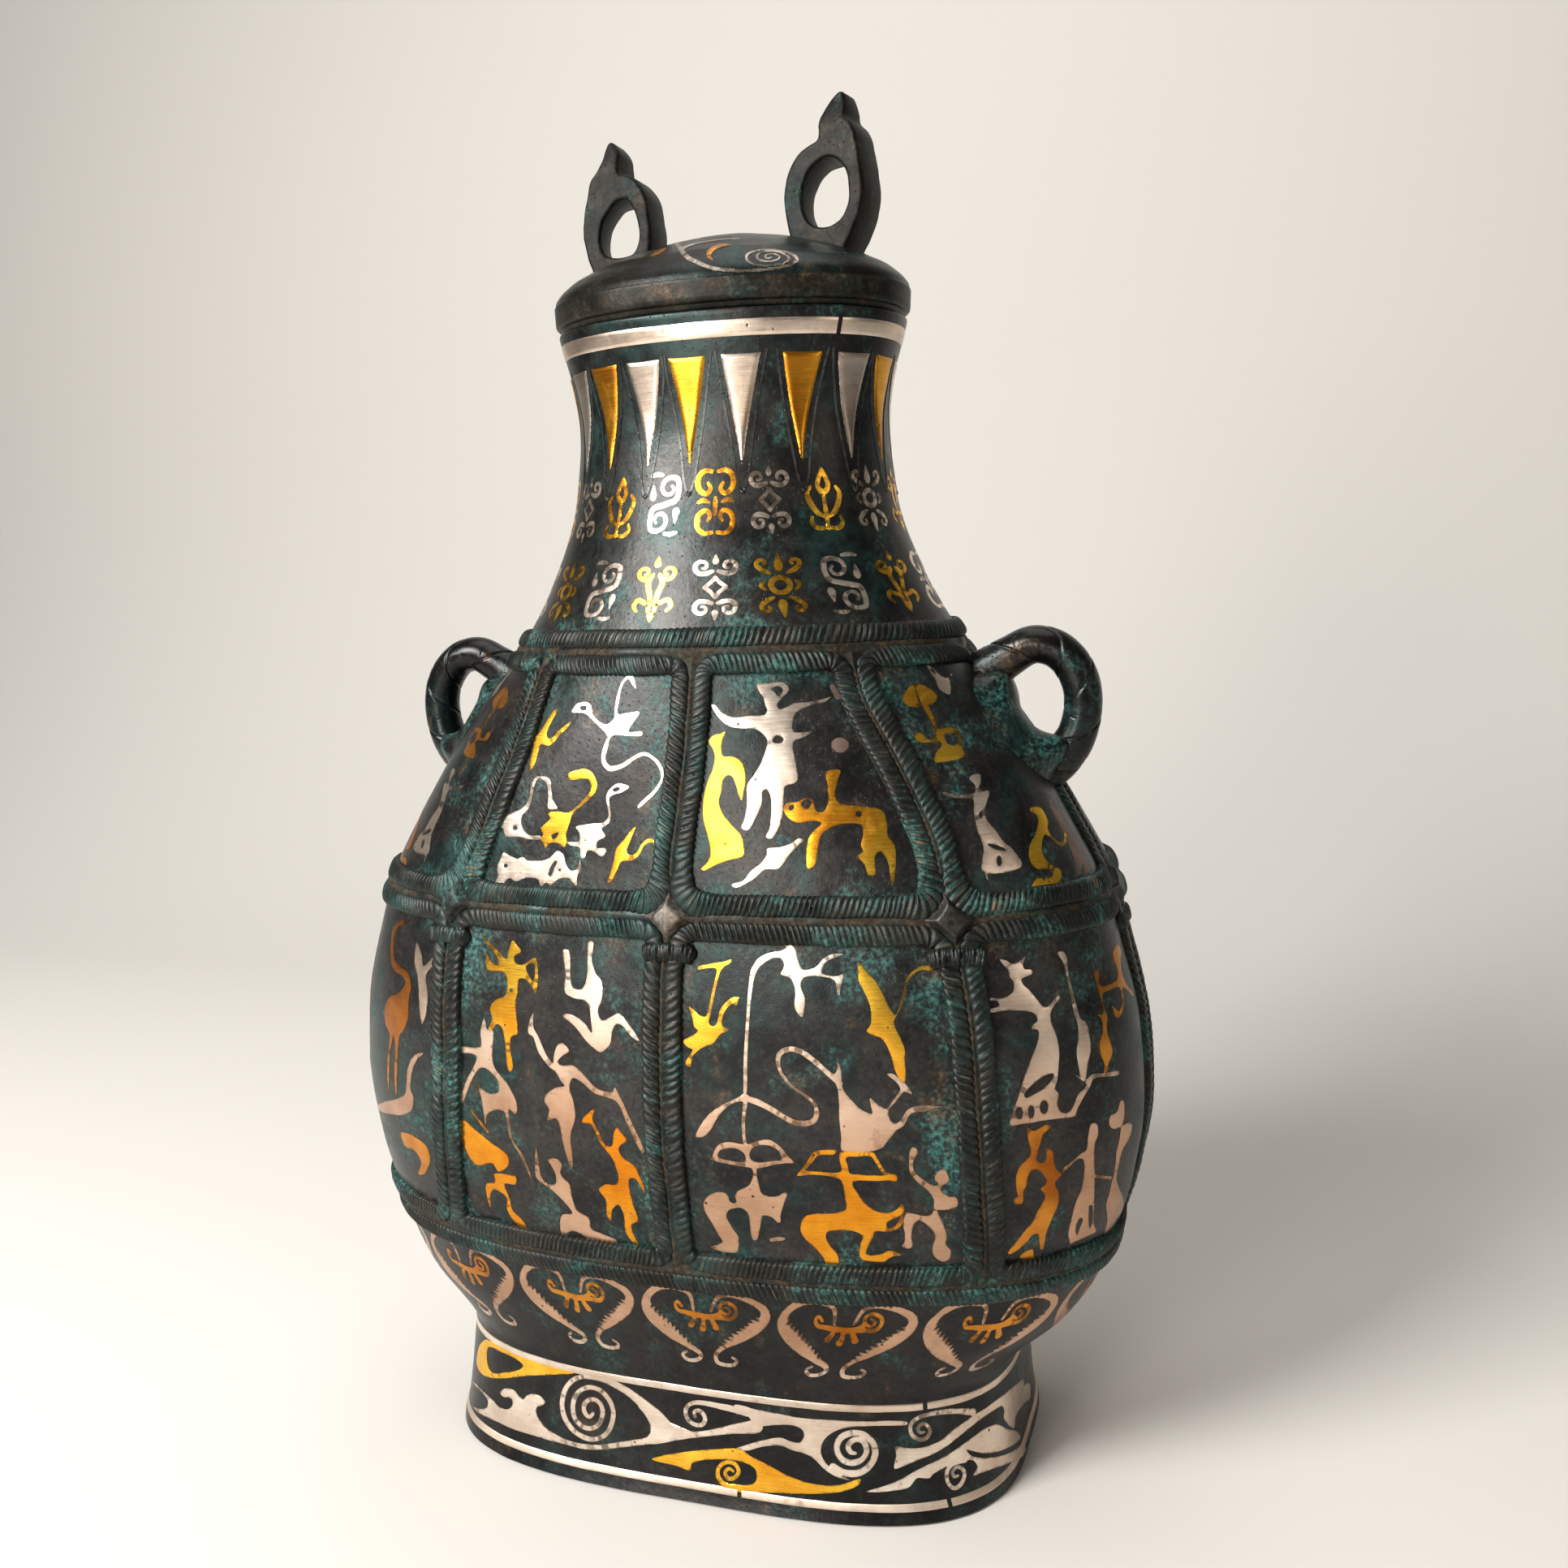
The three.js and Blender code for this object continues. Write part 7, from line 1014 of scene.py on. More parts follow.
def frame_loop(name, left, right, zb, zt, dlo, dhi, rlo, rhi, side, pl, pv, wing, seed):
    """One cord laid round a panel with rounded corners, running counter-clockwise."""
    flo, fhi = float(flat_of(left(zb) + 20, zb)), float(flat_of(left(zt) + 20, zt))
    za, zc = zb + dlo * flo, zt - dhi * fhi
    pts = []

    def arc(line, sgn, r, zc_, f, a0, a1):
        for a in np.linspace(a0, a1, max(6, int(r * abs(a1 - a0) / STEP))):
            z = zc_ + r * f * math.sin(a)
            pts.append((float(line(z)) + sgn * (side + r) + r * math.cos(a), z, a))

    s0, s1 = float(left(za)) + side + rlo, float(right(za)) - side - rlo
    n = int((s1 - s0) / STEP)
    for k in range(n):
        pts.append((s0 + (s1 - s0) * k / n, za, 0))
    c0 = len(pts)
    arc(right, -1, rlo, za + rlo * flo, flo, -math.pi / 2, 0)
    c1 = len(pts)
    n = int((zc - za) / STEP)
    for z in np.linspace(za + rlo * flo, zc - rhi * fhi, n)[1:-1]:
        pts.append((float(right(z)) - side, z, 0))
    c2 = len(pts)
    arc(right, -1, rhi, zc - rhi * fhi, fhi, 0, math.pi / 2)
    c3 = len(pts)
    s0, s1 = float(right(zc)) - side - rhi, float(left(zc)) + side + rhi
    n = int((s0 - s1) / STEP)
    for k in range(1, n):
        pts.append((s0 + (s1 - s0) * k / n, zc, 0))
    c4 = len(pts)
    arc(left, 1, rhi, zc - rhi * fhi, fhi, math.pi / 2, math.pi)
    c5 = len(pts)
    n = int((zc - za) / STEP)
    for z in np.linspace(zc - rhi * fhi, za + rlo * flo, n)[1:-1]:
        pts.append((float(left(z)) + side, z, 0))
    c6 = len(pts)
    arc(left, 1, rlo, za + rlo * flo, flo, math.pi, 1.5 * math.pi)
    P = np.array(pts)[:-1]
    n = len(P)
    i = np.arange(n)
    half2 = (c2 + c3) // 2
    half6 = (c6 + n) // 2
    level = ((i < c0) | ((i >= c3) & (i < c4))).astype(float)
    pitch = spread(np.where(level > 0, pl, pv), 14)
    slant = spread(np.where((i >= half2) & (i < half6), 1.0, -1.0), 12) * spread(np.where(level > 0, 0.95, 1.35), 14) / pitch
    R = np.where(level > 0, 3.4, 3.1)
    R = spread(R, 10)
    if wing:
        bump = np.zeros(n)
        bump[c0 - 6:c1 + 8] = 1.0
        bump[c6 - 8:] = 1.0
        bump[:6] = 1.0
        R = R + 1.35 * spread(bump, 10)
    parts = []
    cord(parts, P[:, 0], P[:, 1], R, 2.5, pitch, slant, True, seed=seed)
    join_parts(name, parts, M_CORD)


for _i in range(8):
    _a, _b = LINES[_order[_i]], LINES[_order[_i + 1]]
    frame_loop("cord_frame_upper_%d" % (_i + 1), _a, _b, 198.0, 278.0, 4.45, 4.05, 6.2, 4.6, 3.45, 1.75, 2.25, True, 11 + _i)
    frame_loop("cord_frame_lower_%d" % (_i + 1), _a, _b, 84.0, 198.0, 3.9, 3.85, 4.6, 6.2, 3.45, 1.75, 2.75, False, 21 + _i)


def crossings(z):
    """Arc lengths of the upright straps at height z."""
    return [float(LINES[k](np.float64(z))) for k in _order[1:-1]] + [float(LINES["front_left"](np.float64(z)))]


def patch_place(s0, z0):
    """Local plane at a place on the body: x to the right, y up, both along the surface."""
    fl = float(flat_of(np.float64(s0), np.float64(z0)))
    L0 = float(Lq(z0))

    def place(x, y, off):
        z = z0 + y * fl
        return at(s0 / L0 * Lq(z) + x, z, off)
    return place


def star(wx, wz, waist):
    pts = []
    for k in range(4):
        a = k * math.pi / 2
        tip = np.array([math.cos(a) * wx, math.sin(a) * wz])
        b = (k + 1) * math.pi / 2
        nxt = np.array([math.cos(b) * wx, math.sin(b) * wz])
        mid = np.array([math.cos(a + math.pi / 4), math.sin(a + math.pi / 4)]) * waist
        for t in np.linspace(0, 1, 13)[:-1]:
            pts.append((1 - t) ** 2 * tip + 2 * t * (1 - t) * mid + t * t * nxt)
    return np.array(pts)


_names = _order[1:-1] + ["front_left"]
for _i, _c in enumerate(crossings(198.0)):
    _name = _names[_i]

    def boss_profile(d, V):
        r = np.hypot(V[:, 0] / 9.5, V[:, 1] / 9.8)
        lump = 0.5 * (fbm(np.stack([V[:, 0], V[:, 1], 0 * V[:, 0]], -1), 2.6, 2, 61 + _i) - 0.5)
        return 1.2 + 2.6 * smooth(d / 2.3) + 0.55 * smooth(1 - r * 1.3) + lump * smooth(d / 1.5)

    ob = plate("boss_" + _name, [(star(9.4, 9.6, 3.3), [])], M_BOSS if _name in ("front", "back") else M_BOSSD, "vessel", "bronze_body", patch_place(_c, 198.15), low=-0.6, grid=0.5, profile=boss_profile, angle=70)
    me = ob.data
    n = len(me.vertices)
    for key, val in (("crest", 0.86), ("dust", 0.18)):
        a = me.attributes.new(key, "FLOAT", "POINT")
        a.data.foreach_set("value", np.full(n, val, np.float32))
    parts = []
    _zc = 187.0
    _s0 = _c / float(Lq(198.0)) * float(Lq(_zc))
    _n = int(18.4 / STEP)
    _s = _s0 + np.linspace(-9.2, 9.2, _n)
    cord(parts, _s, np.full(_n, _zc) + 0.5 * np.cos(np.linspace(-1.6, 1.6, _n)), 3.25, 3.1, 1.95, -0.28, False, taper=2.0, seed=31 + _i, depth=0.65)
    join_parts("collar_" + _name, parts, M_CORD)




# ------------------------------------------------------------------ pointed inlays on the neck
P_TOP, P_TIP = 368.4, 331.5
L_TOP = float(Lq(P_TOP))
POINT_S = [-48.5, -32.9, -16.2, -0.7, 16.8, 36.2, 53.9, 69.6]
_gap = 4 * L_TOP - 48.5 - 69.6
POINT_S += [69.6 + _gap * i / 11 for i in range(1, 11)]


def point_place(s0):
    def place(x, y, off):
        return at(s0 / L_TOP * Lq(y) + x, y, off)
    return place


def point_half(k):
    return 6.6 * (1 - k) ** 1.15 + 0.25


for _i, _s in enumerate(POINT_S):
    _kind = "gold" if _i % 2 else "silver"
    ks = np.linspace(0, 1, 26)
    zz = P_TOP + (P_TIP - P_TOP) * ks
    ww = np.array([point_half(k) for k in ks])
    outline = np.vstack([np.stack([ww, zz], -1), np.stack([-ww[::-1], zz[::-1]], -1)])
    plate("point_%s_%02d" % (_kind, _i + 1), [(outline, [])], (M_GOLD if _i % 4 == 3 and _i != 7 else M_AMBER) if _i % 2 else (M_DULL if _i in (0, 6) else M_SILVER), "vessel", _kind + "_inlay",
          point_place(_s), low=-0.7, grid=0.75, profile=lambda d, V: -0.2 + 0.62 * smooth(d / 1.5),
          replaces=["neck_point_%s_%02d" % (_kind, _i + 1)], angle=70)
    order = sorted(POINT_S)
    j = order.index(_s)
    left = _s - (order[j - 1] if j else order[-1] - 4 * L_TOP)
    right = (order[(j + 1) % 18] + (4 * L_TOP if j == 17 else 0)) - _s
    line = []
    for side, gap in ((-1, left), (1, right)):
        part = []
        for k in np.linspace(0.0, 1.0, 14):
            z = P_TOP + 0.3 + (P_TIP - P_TOP) * k
            c = min(point_half(k) + 1.25 + 0.5 * k, gap / 2 - 0.55)
            part.append((side * c, z, 0.75))
        line.append(part)
    tip = [(-0.75, P_TIP - 4.2, 0.8), (0.0, P_TIP - 5.6, 0.9), (0.75, P_TIP - 4.2, 0.8)]
    pts = line[0] + tip + line[1][::-1]
    plate("point_rim_%02d" % (_i + 1), [(stroke_poly(pts, 0.7), [])], M_EDGE, "vessel", "bronze_body", point_place(_s), low=-0.5, grid=3.0,
          profile=lambda d, V: 0.18 + 0.32 * smooth(d / 0.3), angle=80)


# ------------------------------------------------------------------ flush strips
def strip(name, z0, z1, f0, f1, node):
    n = max(8, int((f1 - f0) * 4 * float(Lq(z0)) / 1.1))
    f = np.linspace(f0, f1, n)
    prof = [(0.0, -0.9), (0.0, -0.05), (0.35, 0.16), (0.25, 0.22), (0.5, 0.24), (0.75, 0.22), (0.35, 0.16), (0.0, -0.05), (0.0, -0.9)]
    zs = [z0, z0, z0 + 0.4, z0 + (z1 - z0) * 0.25, (z0 + z1) / 2, z1 - (z1 - z0) * 0.25, z1 - 0.4, z1, z1]
    offs = [-0.9, -0.05, 0.15, 0.2, 0.22, 0.2, 0.15, -0.05, -0.9]
    rows, szv, rim = [], [], []
    for z, o in zip(zs, offs):
        zr = np.full(n, z)
        s = f * 4 * Lq(zr)
        w = 0.22 * (fbm(base(s, zr), 7.0, 2, 31) - 0.5)
        zr = zr + (w if z in (z0, z1) else 0.4 * w)
        rows.append(at(s, zr, o))
        szv.append(np.stack([s, zr, 0 * s], -1))
        rim.append(np.full(n, 1.0 if z in (z0, z1) else 0.0))
    m = len(rows)
    V = np.stack(rows, 1).reshape(-1, 3)
    A = np.stack(szv, 1).reshape(-1, 3)
    R = np.stack(rim, 1).ravel()
    i = np.arange(n - 1)[:, None]
    j = np.arange(m)[None, :]
    F = [tuple(q) for q in np.stack([i * m + j, (i + 1) * m + j, (i + 1) * m + (j + 1) % m, i * m + (j + 1) % m], -1).reshape(-1, 4)]
    F.append(tuple(range(m)))
    F.append(tuple((n - 1) * m + k for k in reversed(range(m))))
    return make(name, V, F, M_LINE if name.startswith("foot_line_lower") else M_SILVER, "vessel", "silver_inlay", [node], {"sz": A, "rim": R}, angle=50)


def strips(name, z0, z1, joints, gap):
    P = 4 * float(Lq((z0 + z1) / 2))
    for k, a in enumerate(joints):
        b = joints[k + 1] if k + 1 < len(joints) else joints[0] + P
        strip("%s_%d" % (name, k + 1), z0, z1, (a + gap / 2) / P, (b - gap / 2) / P, "%s_%d" % (name, k + 1))


_L = float(Lq(375.4))
strips("mouth_band_silver", 372.9, 377.9, [48.2, 48.2 + 2 * _L], 1.5)
_L = float(Lq(5.2))
strips("foot_line_lower_silver", 3.9, 6.5, [18.5, 87.5, 67.0 + 2 * _L], 1.5)
_L = float(Lq(36.3))
strips("foot_line_upper_silver", 35.0, 37.6, [78.5, 78.5 + 2 * _L], 1.5)


# ------------------------------------------------------------------ generic scroll motifs on the neck
def coil(cx, cy, r, a0, a1, w0, w1, n=9, shrink=0.28):
    """Stroke points of a volute about (cx, cy), from angle a0 to a1 in turns, winding inward."""
    out = []
    for i in range(n):
        t = i / (n - 1)
        a = 2 * math.pi * (a0 + (a1 - a0) * t)
        q = r * (1 - (1 - shrink) * t)
        out.append((cx + q * math.cos(a), cy + q * math.sin(a), w0 + (w1 - w0) * t))
    return out


def flipx(p):
    return [(-x, *r) for x, *r in p]


def flipy(p):
    return [(x, -y, *r) for x, y, *r in p]


def drop(cx, cy, w, h):
    """Leaf-like drop with its point up for h > 0."""
    return ("p", [(cx, cy + h * 0.55), (cx + w * 0.34, cy + h * 0.12), (cx + w * 0.5, cy - h * 0.18), (cx + w * 0.3, cy - h * 0.42), (cx, cy - h * 0.48),
                  (cx - w * 0.3, cy - h * 0.42), (cx - w * 0.5, cy - h * 0.18), (cx - w * 0.34, cy + h * 0.12)], [])


def motif(kind):
    e = []
    if kind == 0:      # pair of volutes over a bud
        v = [(0.9, -7.5, 1.2), (1.1, -2.5, 1.6), (2.2, 2.2, 1.7)] + coil(3.6, 5.4, 2.6, -0.45, 0.72, 1.6, 0.9)
        e += [("s", v, []), ("s", flipx(v), [])]
        e += [drop(0, -9.0, 2.6, -3.4), drop(0, 1.2 + 7.6, 2.2, 3.6)]
        w = [(2.3, -4.6, 1.4), (4.6, -3.6, 1.5), (5.7, -5.6, 1.3), (4.6, -7.2, 0.9)]
        e += [("s", w, []), ("s", flipx(w), [])]
    elif kind == 1:    # lozenge between curls
        e += [("p", [(0, 3.9), (1.7, 1.9), (3.6, 0), (1.7, -1.9), (0, -3.9), (-1.7, -1.9), (-3.6, 0), (-1.7, 1.9)],
               [[(0, 2.1), (-0.9, 1.0), (-1.9, 0), (-0.9, -1.0), (0, -2.1), (0.9, -1.0), (1.9, 0), (0.9, 1.0)]])]
        c = [(0.8, 5.2, 1.2), (2.6, 4.6, 1.6)] + coil(3.6, 6.9, 2.4, -0.2, 0.75, 1.6, 0.9)
        for f in (lambda p: p, flipx, flipy, lambda p: flipx(flipy(p))):
            e.append(("s", f(c), []))
        e += [drop(0, 9.0, 1.9, 3.4), drop(0, -9.0, 1.9, -3.4)]
    elif kind == 2:    # rolling cloud
        a = coil(-2.0, 5.4, 3.5, 0.62, -0.32, 0.9, 1.7)[::-1]
        s = coil(-1.4, 5.2, 3.7, 1.25, 0.22, 0.9, 1.8, shrink=0.3)
        s = s[::-1] + [(1.7, -0.2, 1.9)] + coil(1.4, -5.2, 3.7, 0.22 + 0.5, 1.25 + 0.5, 1.8, 0.9, shrink=0.3)
        e += [("s", coil(1.6, 5.0, 3.7, 0.12, 1.12, 1.7, 0.9)[::-1] + [(4.2, 1.6, 1.8), (0.2, -0.1, 1.9), (-4.2, -1.6, 1.8)] + coil(-1.6, -5.0, 3.7, 0.62, 1.62, 1.7, 0.9), [])]
        e += [drop(-4.3, 3.6, 2.4, 5.0), drop(4.3, -3.6, 2.4, -5.0)]
        e += [("s", [(-5.2, 9.2, 1.0), (-3.2, 9.6, 1.5), (-1.2, 9.3, 1.1)], []), ("s", [(5.2, -9.2, 1.0), (3.2, -9.6, 1.5), (1.2, -9.3, 1.1)], [])]
    elif kind == 3:    # bud on a stem with two leaves
        e += [("p", [(0, 9.8), (1.7, 7.0), (2.5, 4.2), (1.6, 1.8), (0, 1.0), (-1.6, 1.8), (-2.5, 4.2), (-1.7, 7.0)],
               [[(0, 6.9), (-0.8, 5.2), (-0.9, 3.8), (0, 2.9), (0.9, 3.8), (0.8, 5.2)]])]
        e += [("s", [(0, 0.6, 1.2), (0, -4.0, 1.5), (0, -9.4, 1.3)], [])]
        v = [(0.9, -5.6, 1.1), (3.0, -4.2, 1.7), (4.6, -1.4, 1.8), (5.4, 1.6, 1.5), (4.2, 3.6, 1.0)]
        e += [("s", v, []), ("s", flipx(v), [])]
        w = [(0.9, -9.2, 1.1), (3.4, -9.3, 1.6), (5.2, -7.6, 1.4), (4.6, -5.8, 0.9)]
        e += [("s", w, []), ("s", flipx(w), [])]
    elif kind == 4:    # ring with drops
        ring_o = [(3.3 * math.cos(t), 3.3 * math.sin(t)) for t in np.linspace(0, 2 * math.pi, 13)[:-1]]
        ring_i = [(1.7 * math.cos(t), 1.7 * math.sin(t)) for t in np.linspace(0, 2 * math.pi, 11)[:-1]]
        e += [("p", ring_o, [ring_i])]
        e += [drop(0, 7.4, 2.7, 6.0), drop(0, -7.4, 2.7, -6.0)]
        v = [(2.3, 4.0, 1.0), (4.2, 5.0, 1.6)] + coil(4.2, 7.3, 1.9, -0.2, 0.6, 1.5, 0.9, 7)
        for f in (lambda p: p, flipx, flipy, lambda p: flipx(flipy(p))):
            e.append(("s", f(v), []))
        e += [("s", [(4.2, -1.4, 0.9), (5.2, 0, 1.3), (4.2, 1.4, 0.9)], []), ("s", [(-4.2, -1.4, 0.9), (-5.2, 0, 1.3), (-4.2, 1.4, 0.9)], [])]
    else:              # facing hooks
        v = coil(3.0, 6.4, 2.9, 0.55, -0.55, 0.9, 1.7, shrink=0.9)
        h = [(0.9, 9.6, 1.2), (3.6, 9.8, 1.6), (5.6, 7.6, 1.8), (5.4, 4.2, 1.8), (3.0, 2.6, 1.6), (1.6, 4.2, 1.4), (2.4, 5.9, 1.0)]
        g = [(0.0, 1.2, 1.1), (0.0, -1.4, 1.5), (0.0, -4.0, 1.1)]
        for f in (lambda p: p, flipx):
            e.append(("s", f(h), []))
            e.append(("s", f(flipy(h)), []))
        e += [("s", g, []), ("s", [(2.2, 0.0, 1.0), (3.9, 0.6, 1.6), (5.6, 0.0, 1.0)], []), ("s", [(-2.2, 0.0, 1.0), (-3.9, 0.6, 1.6), (-5.6, 0.0, 1.0)], [])]
    return e


ROW_KINDS = ((2, 0, 4, 3, 1, 5), (1, 3, 5, 0, 2, 4))
for _r, (_zc, _sx, _sy, _s0) in enumerate(((323.6, 1.0, 1.0, -8.9), (297.4, 1.16, 0.98, 10.6))):
    _P = 4 * float(Lq(_zc))
    for _i in range(18):
        _kind = ROW_KINDS[_r][(_i * 5 + _i // 6) % 6]
        _sil = _i % 2 == 0
        _turn = -1 if (_i // 2) % 2 else 1

        def _xf(p, a=_sx * _turn, b=_sy):
            return p * np.array([a, b])

        plate("neck_scroll_%d_%02d" % (_r + 1, _i + 1), shapes_of(motif(_kind), _xf, 0.6), M_SILVER if _sil else M_GOLD, "vessel",
              "silver_inlay" if _sil else "gold_inlay", patch_place(_s0 + _P * _i / 18, _zc), top=0.16, grid=1.6)


# ------------------------------------------------------------------ inlaid figures and scrolls
def sz_place(turn=0, mirror=False):
    def place(x, y, off):
        y = np.clip(y, 0.2, 381.0)
        s = -x if mirror else x
        return at(s + turn * 2 * Lq(y), y, off)
    return place


def mirrored(p):
    return p * np.array([-1.0, 1.0])


def inlay(name, key, mat, slot, xf=None, turn=0, top=0.13, only=None, grid=1.5):
    entries = FIGS[key]
    if only:
        entries = [e for e in entries if only(e)]
    if not entries:
        return None
    return plate(name, shapes_of(entries, xf, 0.8), mat, "vessel", slot, sz_place(turn), top=top, grid=grid)


FIGS["ue_c"] = [("r", [(125.6, 230.2), (130.9, 228.9), (134.4, 223.5), (138.4, 217.7), (142.2, 212.1), (141.9, 206.2), (136.8, 205.9), (137.3, 209.1), (133.9, 206.1), (131.7, 206.7), (132.3, 211.5), (130.9, 217.0), (128.1, 222.2), (125.5, 226.6)], [])]
inlay("figure_ue_c_right", "ue_c", M_COPPER, "bronze_body")
inlay("figure_ue_c_right_turned", "ue_c", M_COPPER, "bronze_body", None, 1)
# the le_g figures use the gold copy with painted shade
for _turn, _side in ((0, "front"), (1, "back")):
    for _key, _mat, _slot in (("ulf_s", M_SILVER, "silver_inlay"), ("ulf_g", M_GOLD, "gold_inlay"), ("urf_s", M_SILVER, "silver_inlay"),
                              ("urf_g", M_GOLD, "gold_inlay"), ("urf_c", M_COPPER, "bronze_body"), ("ue_g", M_GOLD, "gold_inlay"), ("ue_s", M_SILVER, "silver_inlay"),
                              ("llf_g", M_GOLD, "gold_inlay"), ("llf_s", M_SILVER, "silver_inlay"), ("lrf_g", M_GOLD, "gold_inlay"), ("lrf_s", M_SILVER, "silver_inlay"),
                              ("le_s", M_SILVER, "silver_inlay"), ("le_g", M_GOLD_SHADED, "gold_inlay")):
        inlay("figure_%s_%s" % (_key, _side), _key, _mat, _slot, None, _turn)
# the gold figures at the left end use the gold copy with painted shade
for _turn, _side in ((0, "left"), (1, "left_turned")):
    inlay("figure_ue_g_" + _side, "ue_g", M_GOLD_SHADED, "gold_inlay", mirrored, _turn)
    inlay("figure_ue_s_" + _side, "ue_s", M_SILVER, "silver_inlay", mirrored, _turn)
    inlay("figure_le2_g_" + _side, "le2_g", M_GOLD_SHADED, "gold_inlay", None, _turn)
    inlay("figure_le2_s_" + _side, "le2_s", M_SILVER, "silver_inlay", None, _turn)
    inlay("figure_le_g_" + _side, "le_g", M_GOLD_SHADED, "gold_inlay", mirrored, _turn, only=lambda e: min(p[0] for p in e[1]) > 130)
    inlay("figure_le_s_" + _side, "le_s", M_SILVER, "silver_inlay", mirrored, _turn, only=lambda e: min(p[0] for p in e[1]) > 134)

def centred(s0, z0):
    """Place whose x runs from a centre line that follows the girth, y being the height."""
    L0 = float(Lq(z0))

    def place(x, y, off):
        y = np.clip(y, 0.2, 381.0)
        return at(s0 / L0 * Lq(y) + x, y, off)
    return place


def serrate(shapes, amp=1.7, pitch=1.9):
    """Saw-toothed inner edge of the two lobes of a palmette."""
    out = []
    for o, hs in shapes:
        d = np.linalg.norm(np.roll(o, -1, 0) - o, axis=1)
        u = np.concatenate([[0], np.cumsum(d)])
        c = np.vstack([o, o[:1]])
        uu = np.arange(0, u[-1] - 0.15, 0.28)
        q = np.stack([np.interp(uu, u, c[:, 0]), np.interp(uu, u, c[:, 1])], -1)
        t = np.roll(q, -3, 0) - np.roll(q, 3, 0)
        t /= np.maximum(1e-9, np.linalg.norm(t, axis=1, keepdims=True))
        area = 0.5 * np.sum(q[:, 0] * np.roll(q[:, 1], -1) - np.roll(q[:, 0], -1) * q[:, 1])
        n = np.stack([t[:, 1], -t[:, 0]], -1) * (1 if area > 0 else -1)
        to = np.array([1.0, 69.0]) - q
        to /= np.maximum(1e-9, np.linalg.norm(to, axis=1, keepdims=True))
        mask = smooth(((n * to).sum(1) - 0.10) / 0.35) * smooth((q[:, 1] - 53.5) / 2.5) * smooth((70.0 - q[:, 1]) / 2.5)
        k = np.floor(uu / pitch)
        size = 0.6 + 0.8 * _hash(k, 0 * k, 0 * k, 5)
        q = q + n * (amp * size * (0.5 - (uu / pitch) % 1.0) * mask)[:, None]
        out.append((q, hs))
    return out


_P = 4 * float(Lq(63.4))
for _i in range(14):
    _s = 52.8 + _P * _i / 14

    def _xf(p, s=_s):
        return p * np.array([_P / 14 / 45.6, 1.0])

    # the palmettes' gold uses the gold copy with painted shade
    plate("palmette_silver_%02d" % (_i + 1), serrate(shapes_of(FIGS["palm_s"], _xf, 0.8)), M_SILVER, "vessel", "silver_inlay", centred(_s, 63.4), top=0.13, grid=1.5)
    plate("palmette_gold_%02d" % (_i + 1), shapes_of(FIGS["palm_g"], _xf, 0.8), M_GOLD_SHADED, "vessel", "gold_inlay", centred(_s, 63.4), top=0.17, grid=1.5)

for _turn, _side in ((0, "front"), (1, "back")):
    inlay("foot_scroll_silver_" + _side, "foot_s", M_SILVER, "silver_inlay", None, _turn)
    inlay("foot_scroll_gold_" + _side, "foot_g", M_GOLD, "gold_inlay", None, _turn)


# ------------------------------------------------------------------ lid
LID_ROWS = [(383.4, 59.4, 41.9), (384.3, 60.2, 42.6), (390.4, 60.5, 42.8), (393.6, 58.9, 41.5), (397.4, 54.4, 38.0), (401.2, 46.8, 32.4),
            (404.8, 36.4, 24.8), (408.2, 24.6, 16.6), (410.6, 12.4, 8.3), (411.4, 2.2, 1.5)]
_LA = np.array([r[1] for r in LID_ROWS[2:]])[::-1]
_LB = np.array([r[2] for r in LID_ROWS[2:]])[::-1]
_LZ = np.array([r[0] for r in LID_ROWS[2:]])[::-1]


def _lid_z(a):
    return np.interp(a, _LA, _LZ)



def lid_point(x, y, off):
    """Point on the lid's top from plan coordinates, leaned."""
    x = np.asarray(x, float)
    y = np.asarray(y, float)

    def height(px, py):
        g = (np.abs(px) ** 2.15 + np.abs(py * 1.42) ** 2.15) ** (1 / 2.15)
        for _ in range(6):
            rat = np.interp(g, _LA, _LA / _LB)
            g = (np.abs(px) ** 2.15 + np.abs(py * rat) ** 2.15) ** (1 / 2.15)
        return _lid_z(np.clip(g, 2.2, 60.5))

    z = height(x, y)
    zx = (height(x + 0.5, y) - height(x - 0.5, y))
    zy = (height(x, y + 0.5) - height(x, y - 0.5))
    n = np.stack([-zx, -zy, np.ones_like(z)], -1)
    n /= np.linalg.norm(n, axis=-1, keepdims=True)
    p = np.stack([x, y, z], -1) + n * (np.asarray(off) - wear(np.stack([x, y, z], -1)))[..., None]
    p[..., 0] += 0.0165 * (p[..., 2] - 130)
    return p


